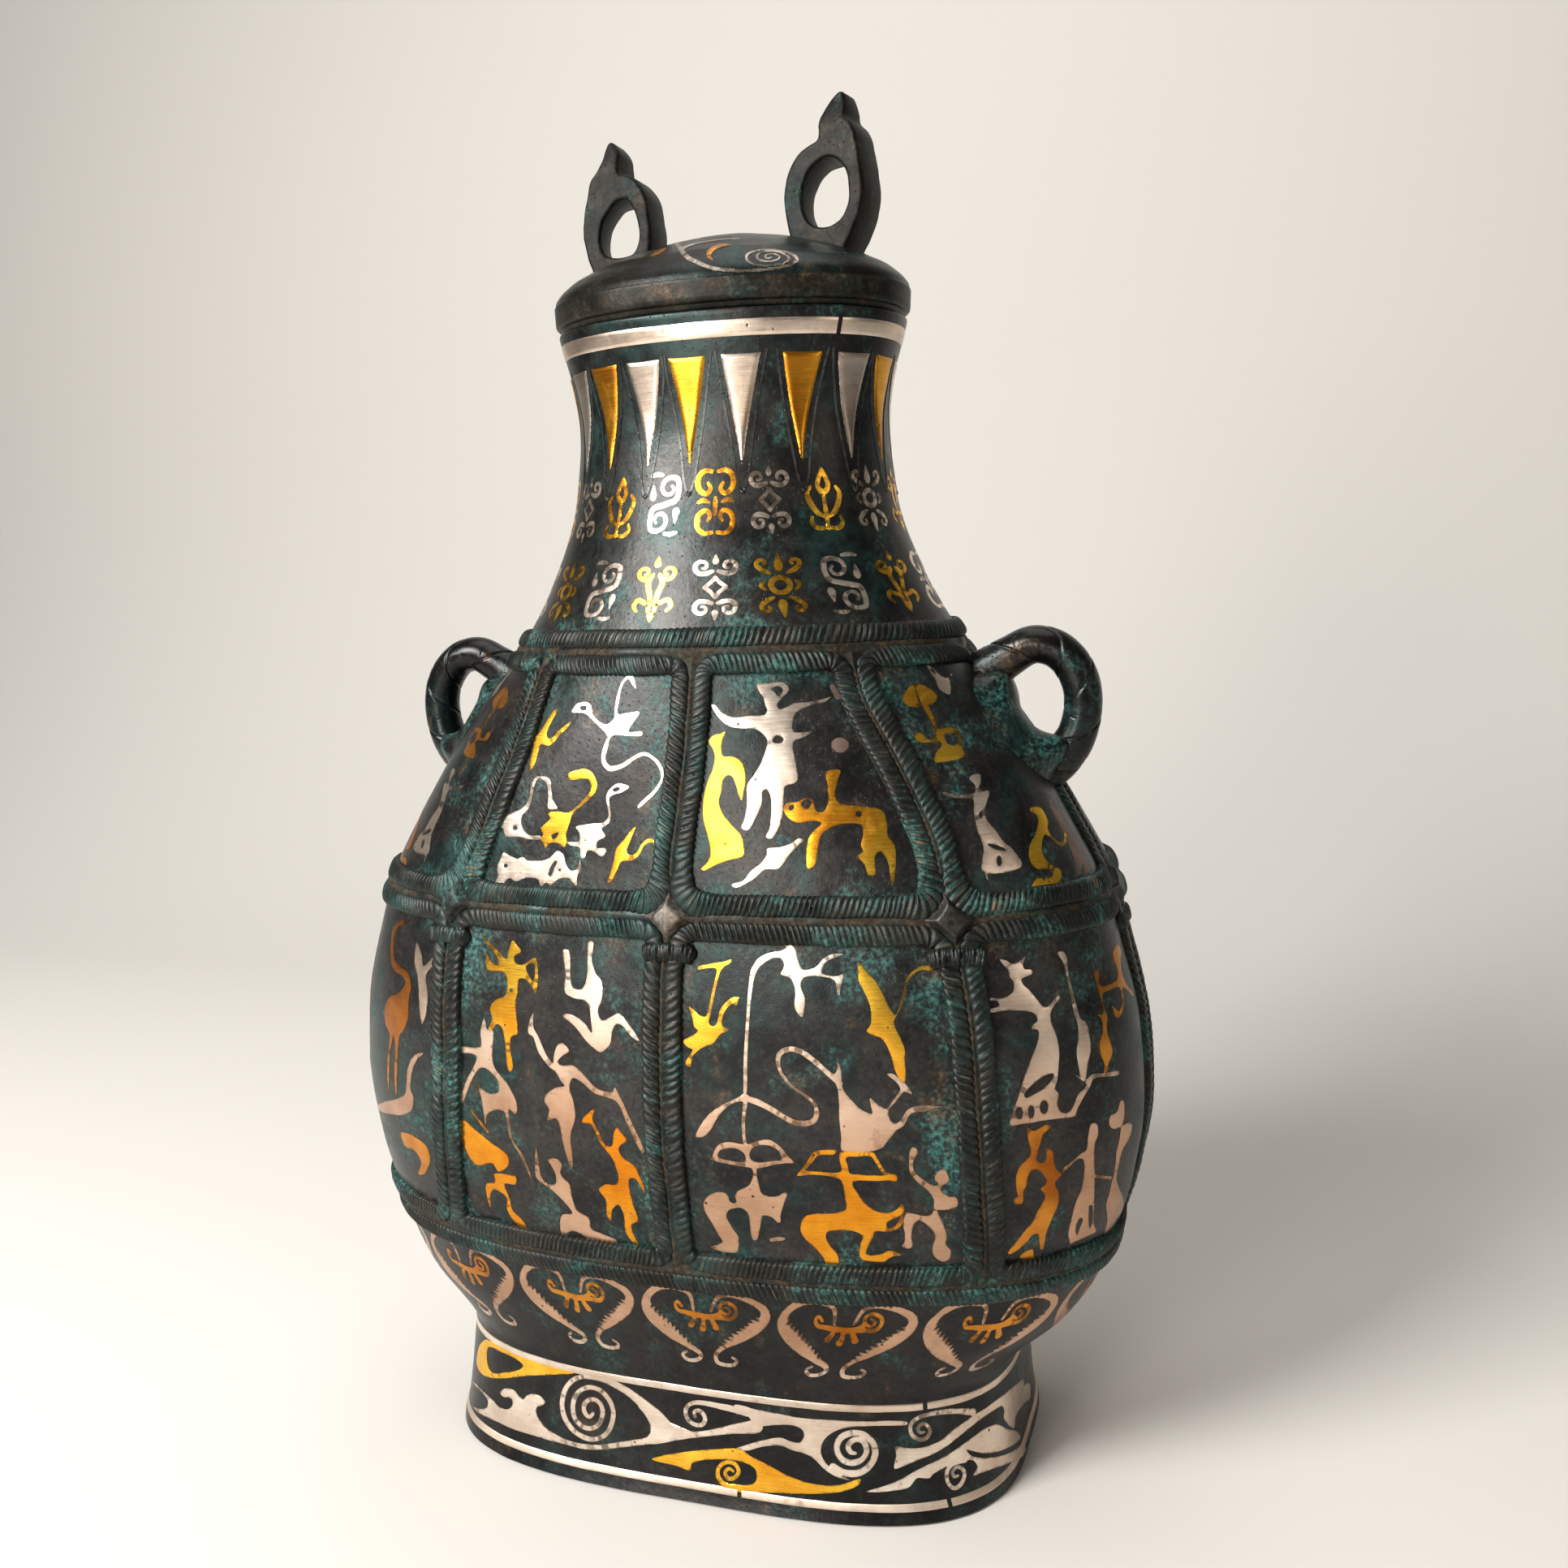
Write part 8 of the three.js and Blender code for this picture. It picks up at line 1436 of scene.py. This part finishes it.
def lid_shell():
    cols = 300
    th = (np.arange(cols) + 0.5) / cols * 2 * math.pi

    def oval(a, b, n):
        c, s = np.cos(th), np.sin(th)
        return np.stack([np.sign(s) * a * np.abs(s) ** (2 / n), -np.sign(c) * b * np.abs(c) ** (2 / n)], -1)

    def row(z, a, b, n=2.15, dent=True):
        xy = oval(a, b, n)
        p = np.concatenate([xy, np.full((cols, 1), z)], 1)
        if dent:
            r = np.concatenate([xy / np.linalg.norm(xy, axis=1, keepdims=True), np.zeros((cols, 1))], 1)
            w = wear(p)[:, None]
            side = 1 - smooth((z - 389.5) / 8)
            p = p - r * w * side - np.array([0, 0, 1.0]) * w * (1 - side)
        p[:, 0] += 0.0165 * (p[:, 2] - 130)
        return p

    ta, tb, tn = float(fA(368)) - 5.6, float(fB(368)) - 5.6, float(fN(368))
    sa, sb, sn = float(fA(381.5)), float(fB(381.5)), float(fN(381.5))
    rings = [row(406.2, 1.2, 0.8, dent=False), row(406.3, 5, 3.2, dent=False), row(405.4, 11, 7, dent=False), row(403.6, 21, 13.4, dent=False), row(399, 35, 22, dent=False), row(393, 45, 28.5, dent=False),
             row(386, ta - 2.8, tb - 2.8, tn, False), row(376, ta - 2.8, tb - 2.8, tn, False), row(368.2, ta - 2.7, tb - 2.7, tn, False),
             row(368.0, ta - 2.2, tb - 2.2, tn, False), row(368.0, ta - 0.5, tb - 0.5, tn, False), row(368.4, ta, tb, tn, False),
             row(375, ta, tb, tn, False), row(381.8, ta + 0.3, tb + 0.3, tn, False), row(381.8, sa - 1.9, sb - 1.9, sn, False),
             row(382.3, sa - 1.5, sb - 1.5, sn, False), row(383.3, sa - 1.2, sb - 1.2, sn, False)]
    rings += [row(383.4, 58.9, 41.5), row(383.65, 59.7, 42.15), row(384.2, 60.15, 42.55), row(385.2, 60.3, 42.65), row(386.6, 60.35, 42.7), row(388.0, 60.42, 42.75), row(389.4, 60.47, 42.8),
              row(389.95, 60.5, 42.8), row(390.25, 60.44, 42.74), row(390.5, 60.3, 42.64), row(390.85, 60.14, 42.5)]
    for a in list(np.linspace(59.9, 4.0, 60)):
        z = float(_lid_z(a) * 0.5 + 0.25 * (_lid_z(min(60.2, a + 0.9)) + _lid_z(a - 0.9)))
        b = float(np.interp(a, _LA, _LB))
        rings.append(row(z, a, b))
    V = np.vstack(rings)
    F = [tuple(f) for f in grid_faces(len(rings), cols)]
    c_in = np.array([0.0165 * (406.2 - 130), 0, 406.2])
    c_top = np.array([0.0165 * (411.3 - 130), 0, 411.15])
    V = np.vstack([V, c_in, c_top])
    lo, hi = len(V) - 2, len(V) - 1
    t0 = (len(rings) - 1) * cols
    for i in range(cols):
        j = (i + 1) % cols
        F.append((lo, j, i))
        F.append((hi, t0 + i, t0 + j))
    ob = make("lid_shell", V, F, M_LID, "lid_body", "bronze_lid", ["lid"], {}, angle=50)
    ob.data.materials.append(M_BAND)
    zc = np.zeros(len(ob.data.polygons) * 3)
    ob.data.polygons.foreach_get("center", zc)
    zc = zc.reshape(-1, 3)[:, 2] * 1000
    ob.data.polygons.foreach_set("material_index", (zc < 390.3).astype(np.int32))
    return ob


lid_shell()
for _turn, _side in ((1.0, "front"), (-1.0, "back")):
    def _xf(p, t=_turn):
        return p * t
    # the lid's gold uses the gold copy with painted shade
    plate("lid_inlay_silver_" + _side, shapes_of(FIGS["lid_s"], _xf, 0.7), M_DULL, "lid_body", "silver_inlay", lid_point, top=0.34, grid=1.1)
    plate("lid_inlay_gold_" + _side, shapes_of(FIGS["lid_g"], _xf, 0.7), M_GOLD_SHADED, "lid_body", "gold_inlay", lid_point, top=0.30, grid=1.1)


# ------------------------------------------------------------------ finials
def standing_plate(name, outline, hole, x0, turn, half, node, bevel=0.95, thin=None, seed=71):
    """Cast plate with flat faces, bevelled edges and straight rims standing across the lid."""
    o = catmull(outline, True, 0.5)
    h = catmull(hole, True, 0.5)

    def normals(ring, sign):
        t = np.roll(ring, -1, 0) - np.roll(ring, 1, 0)
        t /= np.maximum(1e-9, np.linalg.norm(t, axis=1, keepdims=True))
        area = 0.5 * np.sum(ring[:, 0] * np.roll(ring[:, 1], -1) - np.roll(ring[:, 0], -1) * ring[:, 1])
        return np.stack([-t[:, 1], t[:, 0]], -1) * (1 if area > 0 else -1) * sign

    def uneven(ring, sign):
        q = np.stack([ring[:, 0], ring[:, 1], 0 * ring[:, 0] + seed], -1)
        return ring + normals(ring, sign) * (0.75 * (fbm(q, 6.0, 3, seed) - 0.25) * 0.8)[:, None]

    o, h = uneven(o, 1), uneven(h, -1)
    extra = []
    for d in (0.22, 0.48, 0.75, 1.05, 1.7, 2.4):
        for ring, sg in ((o, 1), (h, -1)):
            q = ring + normals(ring, sg) * d
            dist = np.minimum(seg_dist(q, o), seg_dist(q, h))
            ok = (dist > d * 0.94) & (winding(q[:, 0], q[:, 1], o) != 0) & (winding(q[:, 0], q[:, 1], h) == 0)
            extra.append(q[ok][:: 1 if d < 1.2 else 2])
    lo, hi = o.min(0), o.max(0)
    gx, gy = np.arange(lo[0], hi[0], 0.95), np.arange(lo[1], hi[1], 0.82)
    X, Y = np.meshgrid(gx, gy)
    X = X + (np.arange(len(gy)) % 2)[:, None] * 0.47
    G = np.stack([X.ravel(), Y.ravel()], -1)
    dist = np.minimum(seg_dist(G, o), seg_dist(G, h))
    ok = (dist > 2.9) & (winding(G[:, 0], G[:, 1], o) != 0) & (winding(G[:, 0], G[:, 1], h) == 0)
    extra.append(G[ok])
    verts = [Vector((float(a), float(b))) for a, b in np.vstack([o, h] + extra)]
    edges = [(i, (i + 1) % len(o)) for i in range(len(o))] + [(len(o) + i, len(o) + (i + 1) % len(h)) for i in range(len(h))]
    vo, eo, fo, _, _, _ = delaunay_2d_cdt(verts, edges, [], 0, 1e-5)
    V = np.array([[v.x, v.y] for v in vo])
    F = np.array([list(f) for f in fo if len(f) == 3], int)
    C = V[F].mean(1)
    F = F[(winding(C[:, 0], C[:, 1], o) != 0) & (winding(C[:, 0], C[:, 1], h) == 0)]
    a = V[F]
    area = (a[:, 1, 0] - a[:, 0, 0]) * (a[:, 2, 1] - a[:, 0, 1]) - (a[:, 2, 0] - a[:, 0, 0]) * (a[:, 1, 1] - a[:, 0, 1])
    F = F[np.abs(area) > 1e-8]
    area = area[np.abs(area) > 1e-8]
    F[area < 0] = F[area < 0][:, ::-1]
    used, inv = np.unique(F, return_inverse=True)
    V, F = V[used], inv.reshape(-1, 3)
    E = np.vstack([F[:, [0, 1]], F[:, [1, 2]], F[:, [2, 0]]])
    key = E[:, 0].astype(np.int64) * (len(V) + 1) + E[:, 1]
    rev = E[:, 1].astype(np.int64) * (len(V) + 1) + E[:, 0]
    rim = E[~np.isin(key, rev)]
    d = np.minimum(seg_dist(V, o), seg_dist(V, h))
    d[np.unique(rim)] = 0.0
    n = len(V)
    q = np.stack([V[:, 0], V[:, 1], 0 * V[:, 0]], -1)
    hh = half * (thin(V) if thin is not None else np.ones(n))
    cut = bevel * (0.75 + 0.5 * fbm(q, 4.0, 2, seed + 3)) * (1 - np.sqrt(np.clip(1 - (1 - np.clip(d / 1.05, 0, 1)) ** 2, 0, 1)))
    c, s = math.cos(turn), math.sin(turn)

    dh = seg_dist(V, h)
    mid = h.mean(0)
    flare = 2.7 * np.exp(-(dh / 2.5) ** 2) * smooth((mid[0] - V[:, 0]) / 5.0 + 0.5)

    def put(hv, side):
        g = side * hv
        X = V[:, 0] - (flare if side > 0 else 0.0)
        P = np.stack([x0 + X * c + g * s, -X * s + g * c, V[:, 1]], -1)
        P[:, 0] += 0.0165 * (P[:, 2] - 130)
        P[:, 2] = np.minimum(P[:, 2], 449.85)
        return P

    front = put(hh - cut - 0.55 * (fbm(q, 7.0, 3, seed + 1) - 0.2), -1.0)
    rear = put(hh - cut - 0.55 * (fbm(q, 7.0, 3, seed + 2) - 0.2), 1.0)
    faces = [tuple(f) for f in F] + [tuple(n + f[::-1]) for f in F]
    faces += [(b2, a2, n + a2, n + b2) for a2, b2 in rim]
    return make(name, np.vstack([front, rear]), faces, M_FIN, "lid_body", "bronze_lid", [node], {}, angle=42)


OUT_L = [(-8.6, 398), (-9.2, 403), (-10.9, 408), (-12, 416.5), (-11.4, 423), (-10, 428), (-8.9, 432), (-6.5, 434.9), (-4.7, 438.3), (-3.9, 441.8), (-3.0, 444.0), (-1.6, 444.6), (0.2, 443), (1.6, 440.4), (1.7, 437), (2.1, 433.8), (4.9, 433), (7.4, 431.2), (10, 428), (11.5, 424), (12.2, 419.5), (12.6, 414.5), (12.2, 409), (11.2, 403), (10.6, 397)]
HOLE_L = [(4, 424.9), (0.6, 424.4), (-1.6, 422.4), (-3.8, 419.6), (-5.1, 416), (-5.4, 411.8), (-4.2, 408.6), (-1.4, 407.2), (2.5, 407), (6, 408), (7.8, 411), (8.1, 415), (7, 420.2), (5.7, 423)]
OUT_R = [(-8.0, 399), (-10.2, 404), (-11.8, 408.5), (-12.9, 415), (-13.4, 420), (-12.7, 424.7), (-11.4, 428.2), (-9.3, 431.5), (-6.9, 433.6), (-4, 434.9), (-1.3, 436), (-0.6, 438), (-0.9, 440.2), (-0.5, 442.8), (2.16, 447.4), (4.52, 449.6), (6.22, 450), (7.27, 448.6), (8.2, 445.2), (8.32, 442.2), (10.4, 439.8), (12, 436.6), (12.9, 432.5), (14.2, 426.6), (14.8, 420), (14, 413.2), (11.4, 407), (8.6, 402.5), (7, 398)]
HOLE_R = [(1.7, 430), (-2.7, 428), (-5.7, 423.8), (-6.6, 418.8), (-5.6, 413.6), (-2.2, 410.4), (2.5, 409.6), (6.8, 411.4), (9.3, 416), (9.3, 421.5), (8.3, 426), (5.3, 429.2)]
standing_plate("finial_left", OUT_L, HOLE_L, -37.5, 0.0, 7.7, "lid_finial_left", thin=lambda V: 1 - 0.35 * smooth((V[:, 1] - 434) / 12))
standing_plate("finial_right", OUT_R, HOLE_R, 35.0, math.radians(10), 7.7, "lid_finial_right", seed=91, thin=lambda V: 1 - 0.35 * smooth((V[:, 1] - 438) / 12))


# ------------------------------------------------------------------ loop handles
LOOP = [(82.5, 264.9, 8.4, 8.0), (86, 267.2, 7.8, 7.7), (93.4, 272, 6.7, 7.1), (100.6, 275.5, 6.3, 6.8), (107.6, 274.3, 6.2, 6.8), (113.2, 269.3, 6.2, 6.8), (116.5, 261.8, 6.2, 6.8),
        (116.7, 253.2, 6.2, 6.8), (114.2, 244.8, 6.5, 7), (109.2, 238.6, 7.4, 7.4), (104.6, 235.6, 8.4, 8.1)]


def handle(side, node):
    c = catmull(np.array(LOOP), closed=False, step=0.25)
    x, z, r, w = c.T
    t = np.gradient(np.stack([x, z], -1), axis=0)
    t /= np.linalg.norm(t, axis=1, keepdims=True)
    u = np.concatenate([[0], np.cumsum(np.hypot(np.diff(x), np.diff(z)))])
    cols = 120
    th = np.arange(cols) / cols * 2 * math.pi
    n = len(u)
    ph = u[:, None] / 14.2 + 2 * th[None, :] / (2 * math.pi) + 0.05 * np.sin(u[:, None] * 0.21 + th[None, :]) + 0.3
    dist = np.abs(np.mod(ph + 0.5, 1.0) - 0.5) * 14.2 * 0.82
    lines = np.exp(-(dist / 0.42) ** 2)
    ph2 = u[:, None] / 9.3 - th[None, :] / (2 * math.pi) + 0.1 * np.sin(u[:, None] * 0.33)
    fine = np.exp(-((np.abs(np.mod(ph2 + 0.5, 1.0) - 0.5) * 9.3) / 0.3) ** 2) * smooth((np.sin(u[:, None] * 0.23 + 2.0 * th[None, :]) - 0.35) / 0.3)
    ends = smooth(np.minimum(u, u[-1] - u) / 5.0)[:, None]
    q = np.stack([x[:, None] * side + 0 * th, 8 * np.cos(th)[None, :] + 0 * x[:, None], z[:, None] + 8 * np.sin(th)[None, :]], -1)
    lumps = 0.30 * (fbm(q.reshape(-1, 3), 9.0, 3, 83) - 0.25).reshape(n, cols)
    cut = 0.46 * lines * ends + 0.14 * fine * ends + lumps
    R = r[:, None] - cut
    W = w[:, None] - cut
    uu, vv = R * np.cos(th), W * np.sin(th)
    X = side * (x[:, None] - t[:, 1:2] * uu)
    Z = z[:, None] + t[:, 0:1] * uu
    P = np.stack([X, vv, Z], -1).reshape(-1, 3)
    P[:, 0] += 0.0165 * (P[:, 2] - 130)
    F = [tuple(f) for f in grid_faces(n, cols, True, side > 0)]
    a = list(range(cols))
    b = [(n - 1) * cols + k for k in range(cols)]
    F.append(tuple(a if side > 0 else a[::-1]))
    F.append(tuple(b[::-1] if side > 0 else b))
    root = (1 - smooth(np.minimum(u, u[-1] - u) / 15.0))[:, None] * np.ones((n, cols))
    return make("loop_" + ("right" if side > 0 else "left"), P, F, M_LOOP, "vessel", "bronze_handle", [node],
                {"near": (0.85 * root).ravel(), "dust": np.clip(lines * ends, 0, 1).ravel()}, angle=75)


def root_pad(side):
    """Low swelling of the bronze round the two roots of a handle, worn into the body."""
    s0 = float(Lq(252.0)) * (1 if side > 0 else 3)
    th = np.linspace(0, 2 * math.pi, 65)[:-1]
    rx, ry = np.where(np.cos(th) * side < 0, 30.0, 18.0), np.where(np.sin(th) > 0, 22.0, 25.0)
    out = np.stack([rx * np.cos(th), ry * np.sin(th)], -1)

    def height(d, V):
        a = np.where(V[:, 0] * side < 0, 30.0, 18.0)
        r = np.hypot(V[:, 0] / a, V[:, 1] / np.where(V[:, 1] > 0, 22.0, 25.0))
        q = np.stack([V[:, 0], V[:, 1], 0 * V[:, 0] + 9 * side], -1)
        rise = 5.6 * smooth((1 - r) / 0.85) * (1 - 0.6 * np.exp(-((V[:, 0] * side - 3.0) / 8.0) ** 2 - ((V[:, 1] + 1.0) / 7.5) ** 2))
        low = 9.0 * np.exp(-((V[:, 0] * side + 7.0) / 10.0) ** 2 - ((V[:, 1] + 14.5) / 6.5) ** 2)
        high = 6.0 * np.exp(-((V[:, 0] * side + 6.0) / 10.0) ** 2 - ((V[:, 1] - 14.0) / 7.0) ** 2)
        return -0.35 + (rise + low * smooth((1 - r) / 0.25) + high * smooth((1 - r) / 0.25)) + 0.9 * (fbm(q, 7.0, 3, 87) - 0.3) * smooth((1 - r) / 0.3)

    ob = plate("loop_root_" + ("right" if side > 0 else "left"), [(out, [])], M_LOOP, "vessel", "bronze_handle", patch_place(s0, 252.0), low=-1.5, grid=0.8,
               profile=height, angle=80)
    a = ob.data.attributes.new("near", "FLOAT", "POINT")
    a.data.foreach_set("value", np.full(len(ob.data.vertices), 1.0, np.float32))


root_pad(1)
root_pad(-1)
handle(1, "loop_handle_right")
handle(-1, "loop_handle_left")


# ------------------------------------------------------------------ stage, light and camera
def stage_mat(name, col):
    m = bpy.data.materials.new(name)
    m.use_nodes = True
    b = m.node_tree.nodes["Principled BSDF"]
    b.inputs["Base Color"].default_value = (*col, 1)
    b.inputs["Roughness"].default_value = 0.9
    b.inputs["Specular IOR Level"].default_value = 0.2
    return m


def backdrop():
    prof = [(-2.4, 0.0), (0.5, 0.0)]
    for k in range(1, 13):
        a = k / 12 * math.pi / 2
        prof.append((0.5 + 0.6 * math.sin(a), 0.6 - 0.6 * math.cos(a)))
    prof += [(1.1, 1.4), (1.1, 3.0)]
    xs = np.linspace(-3.0, 3.0, 9)
    V = [(x, y, z) for y, z in prof for x in xs]
    me = bpy.data.meshes.new("backdrop")
    me.from_pydata(V, [], [list(map(int, f)) for f in grid_faces(len(prof), len(xs), False, True)])
    me.shade_smooth()
    me.update()
    ob = bpy.data.objects.new("backdrop", me)
    bpy.context.scene.collection.objects.link(ob)
    ob.location = (0, 0, -0.0004)
    ob.data.materials.append(stage_mat("backdrop_paper", (0.64, 0.62, 0.59)))


backdrop()
scene = bpy.context.scene
world = bpy.data.worlds.new("world")
scene.world = world
world.use_nodes = True
world.node_tree.nodes["Background"].inputs["Color"].default_value = (1.0, 0.93, 0.84, 1)
world.node_tree.nodes["Background"].inputs["Strength"].default_value = 0.10


def lamp(name, loc, target, size, power, col=(1, 1, 1), shape=None):
    li = bpy.data.lights.new(name, "AREA")
    li.shape = "RECTANGLE" if shape else "SQUARE"
    li.size = size if not shape else shape[0]
    if shape:
        li.size_y = shape[1]
    li.energy = power
    li.color = col
    ob = bpy.data.objects.new(name, li)
    scene.collection.objects.link(ob)
    ob.location = loc
    d = Vector(target) - Vector(loc)
    ob.rotation_euler = d.to_track_quat("-Z", "Y").to_euler()
    return ob


lamp("key", (-0.80, -1.10, 1.05), (0, 0, 0.24), 0.62, 43, (1.0, 0.985, 0.96))
lamp("top", (-0.1, 0.05, 1.7), (0, 0, 0.2), 1.1, 9, (1.0, 0.99, 0.98))
lamp("fill", (1.35, -0.75, 0.6), (0, 0, 0.2), 0.6, 2.0, (1.0, 0.90, 0.78))
lamp("low", (-0.36, -1.40, 0.46), (0, 0, 0.2), 0.40, 9.0, (1.0, 0.95, 0.88))
scene.view_settings.view_transform = "Standard"
scene.view_settings.look = "None"


scene = bpy.context.scene
cam = bpy.data.cameras.new("camera")
cam_ob = bpy.data.objects.new("camera", cam)
scene.collection.objects.link(cam_ob)
scene.camera = cam_ob
cam.sensor_width = 36
cam.lens = 33.5404
_phi, _D, _H, _psi, _tau, _rho = 0.3524, 503.520, 300.207, -0.02983, 0.14173, -0.03394
_a = _phi + _psi
_C = Vector((_D * math.sin(_phi) + 1.40, -_D * math.cos(_phi), _H)) / 1000
_fwd = Vector((-math.sin(_a) * math.cos(_tau), math.cos(_a) * math.cos(_tau), -math.sin(_tau)))
_right = Vector((math.cos(_a), math.sin(_a), 0))
_up = _right.cross(_fwd)
_r2 = math.cos(_rho) * _right + math.sin(_rho) * _up
_u2 = -math.sin(_rho) * _right + math.cos(_rho) * _up
_M = Matrix.Identity(4)
for _k, _v in enumerate((_r2, _u2, -_fwd, _C)):
    for _r in range(3):
        _M[_r][_k] = _v[_r]
cam_ob.matrix_world = _M
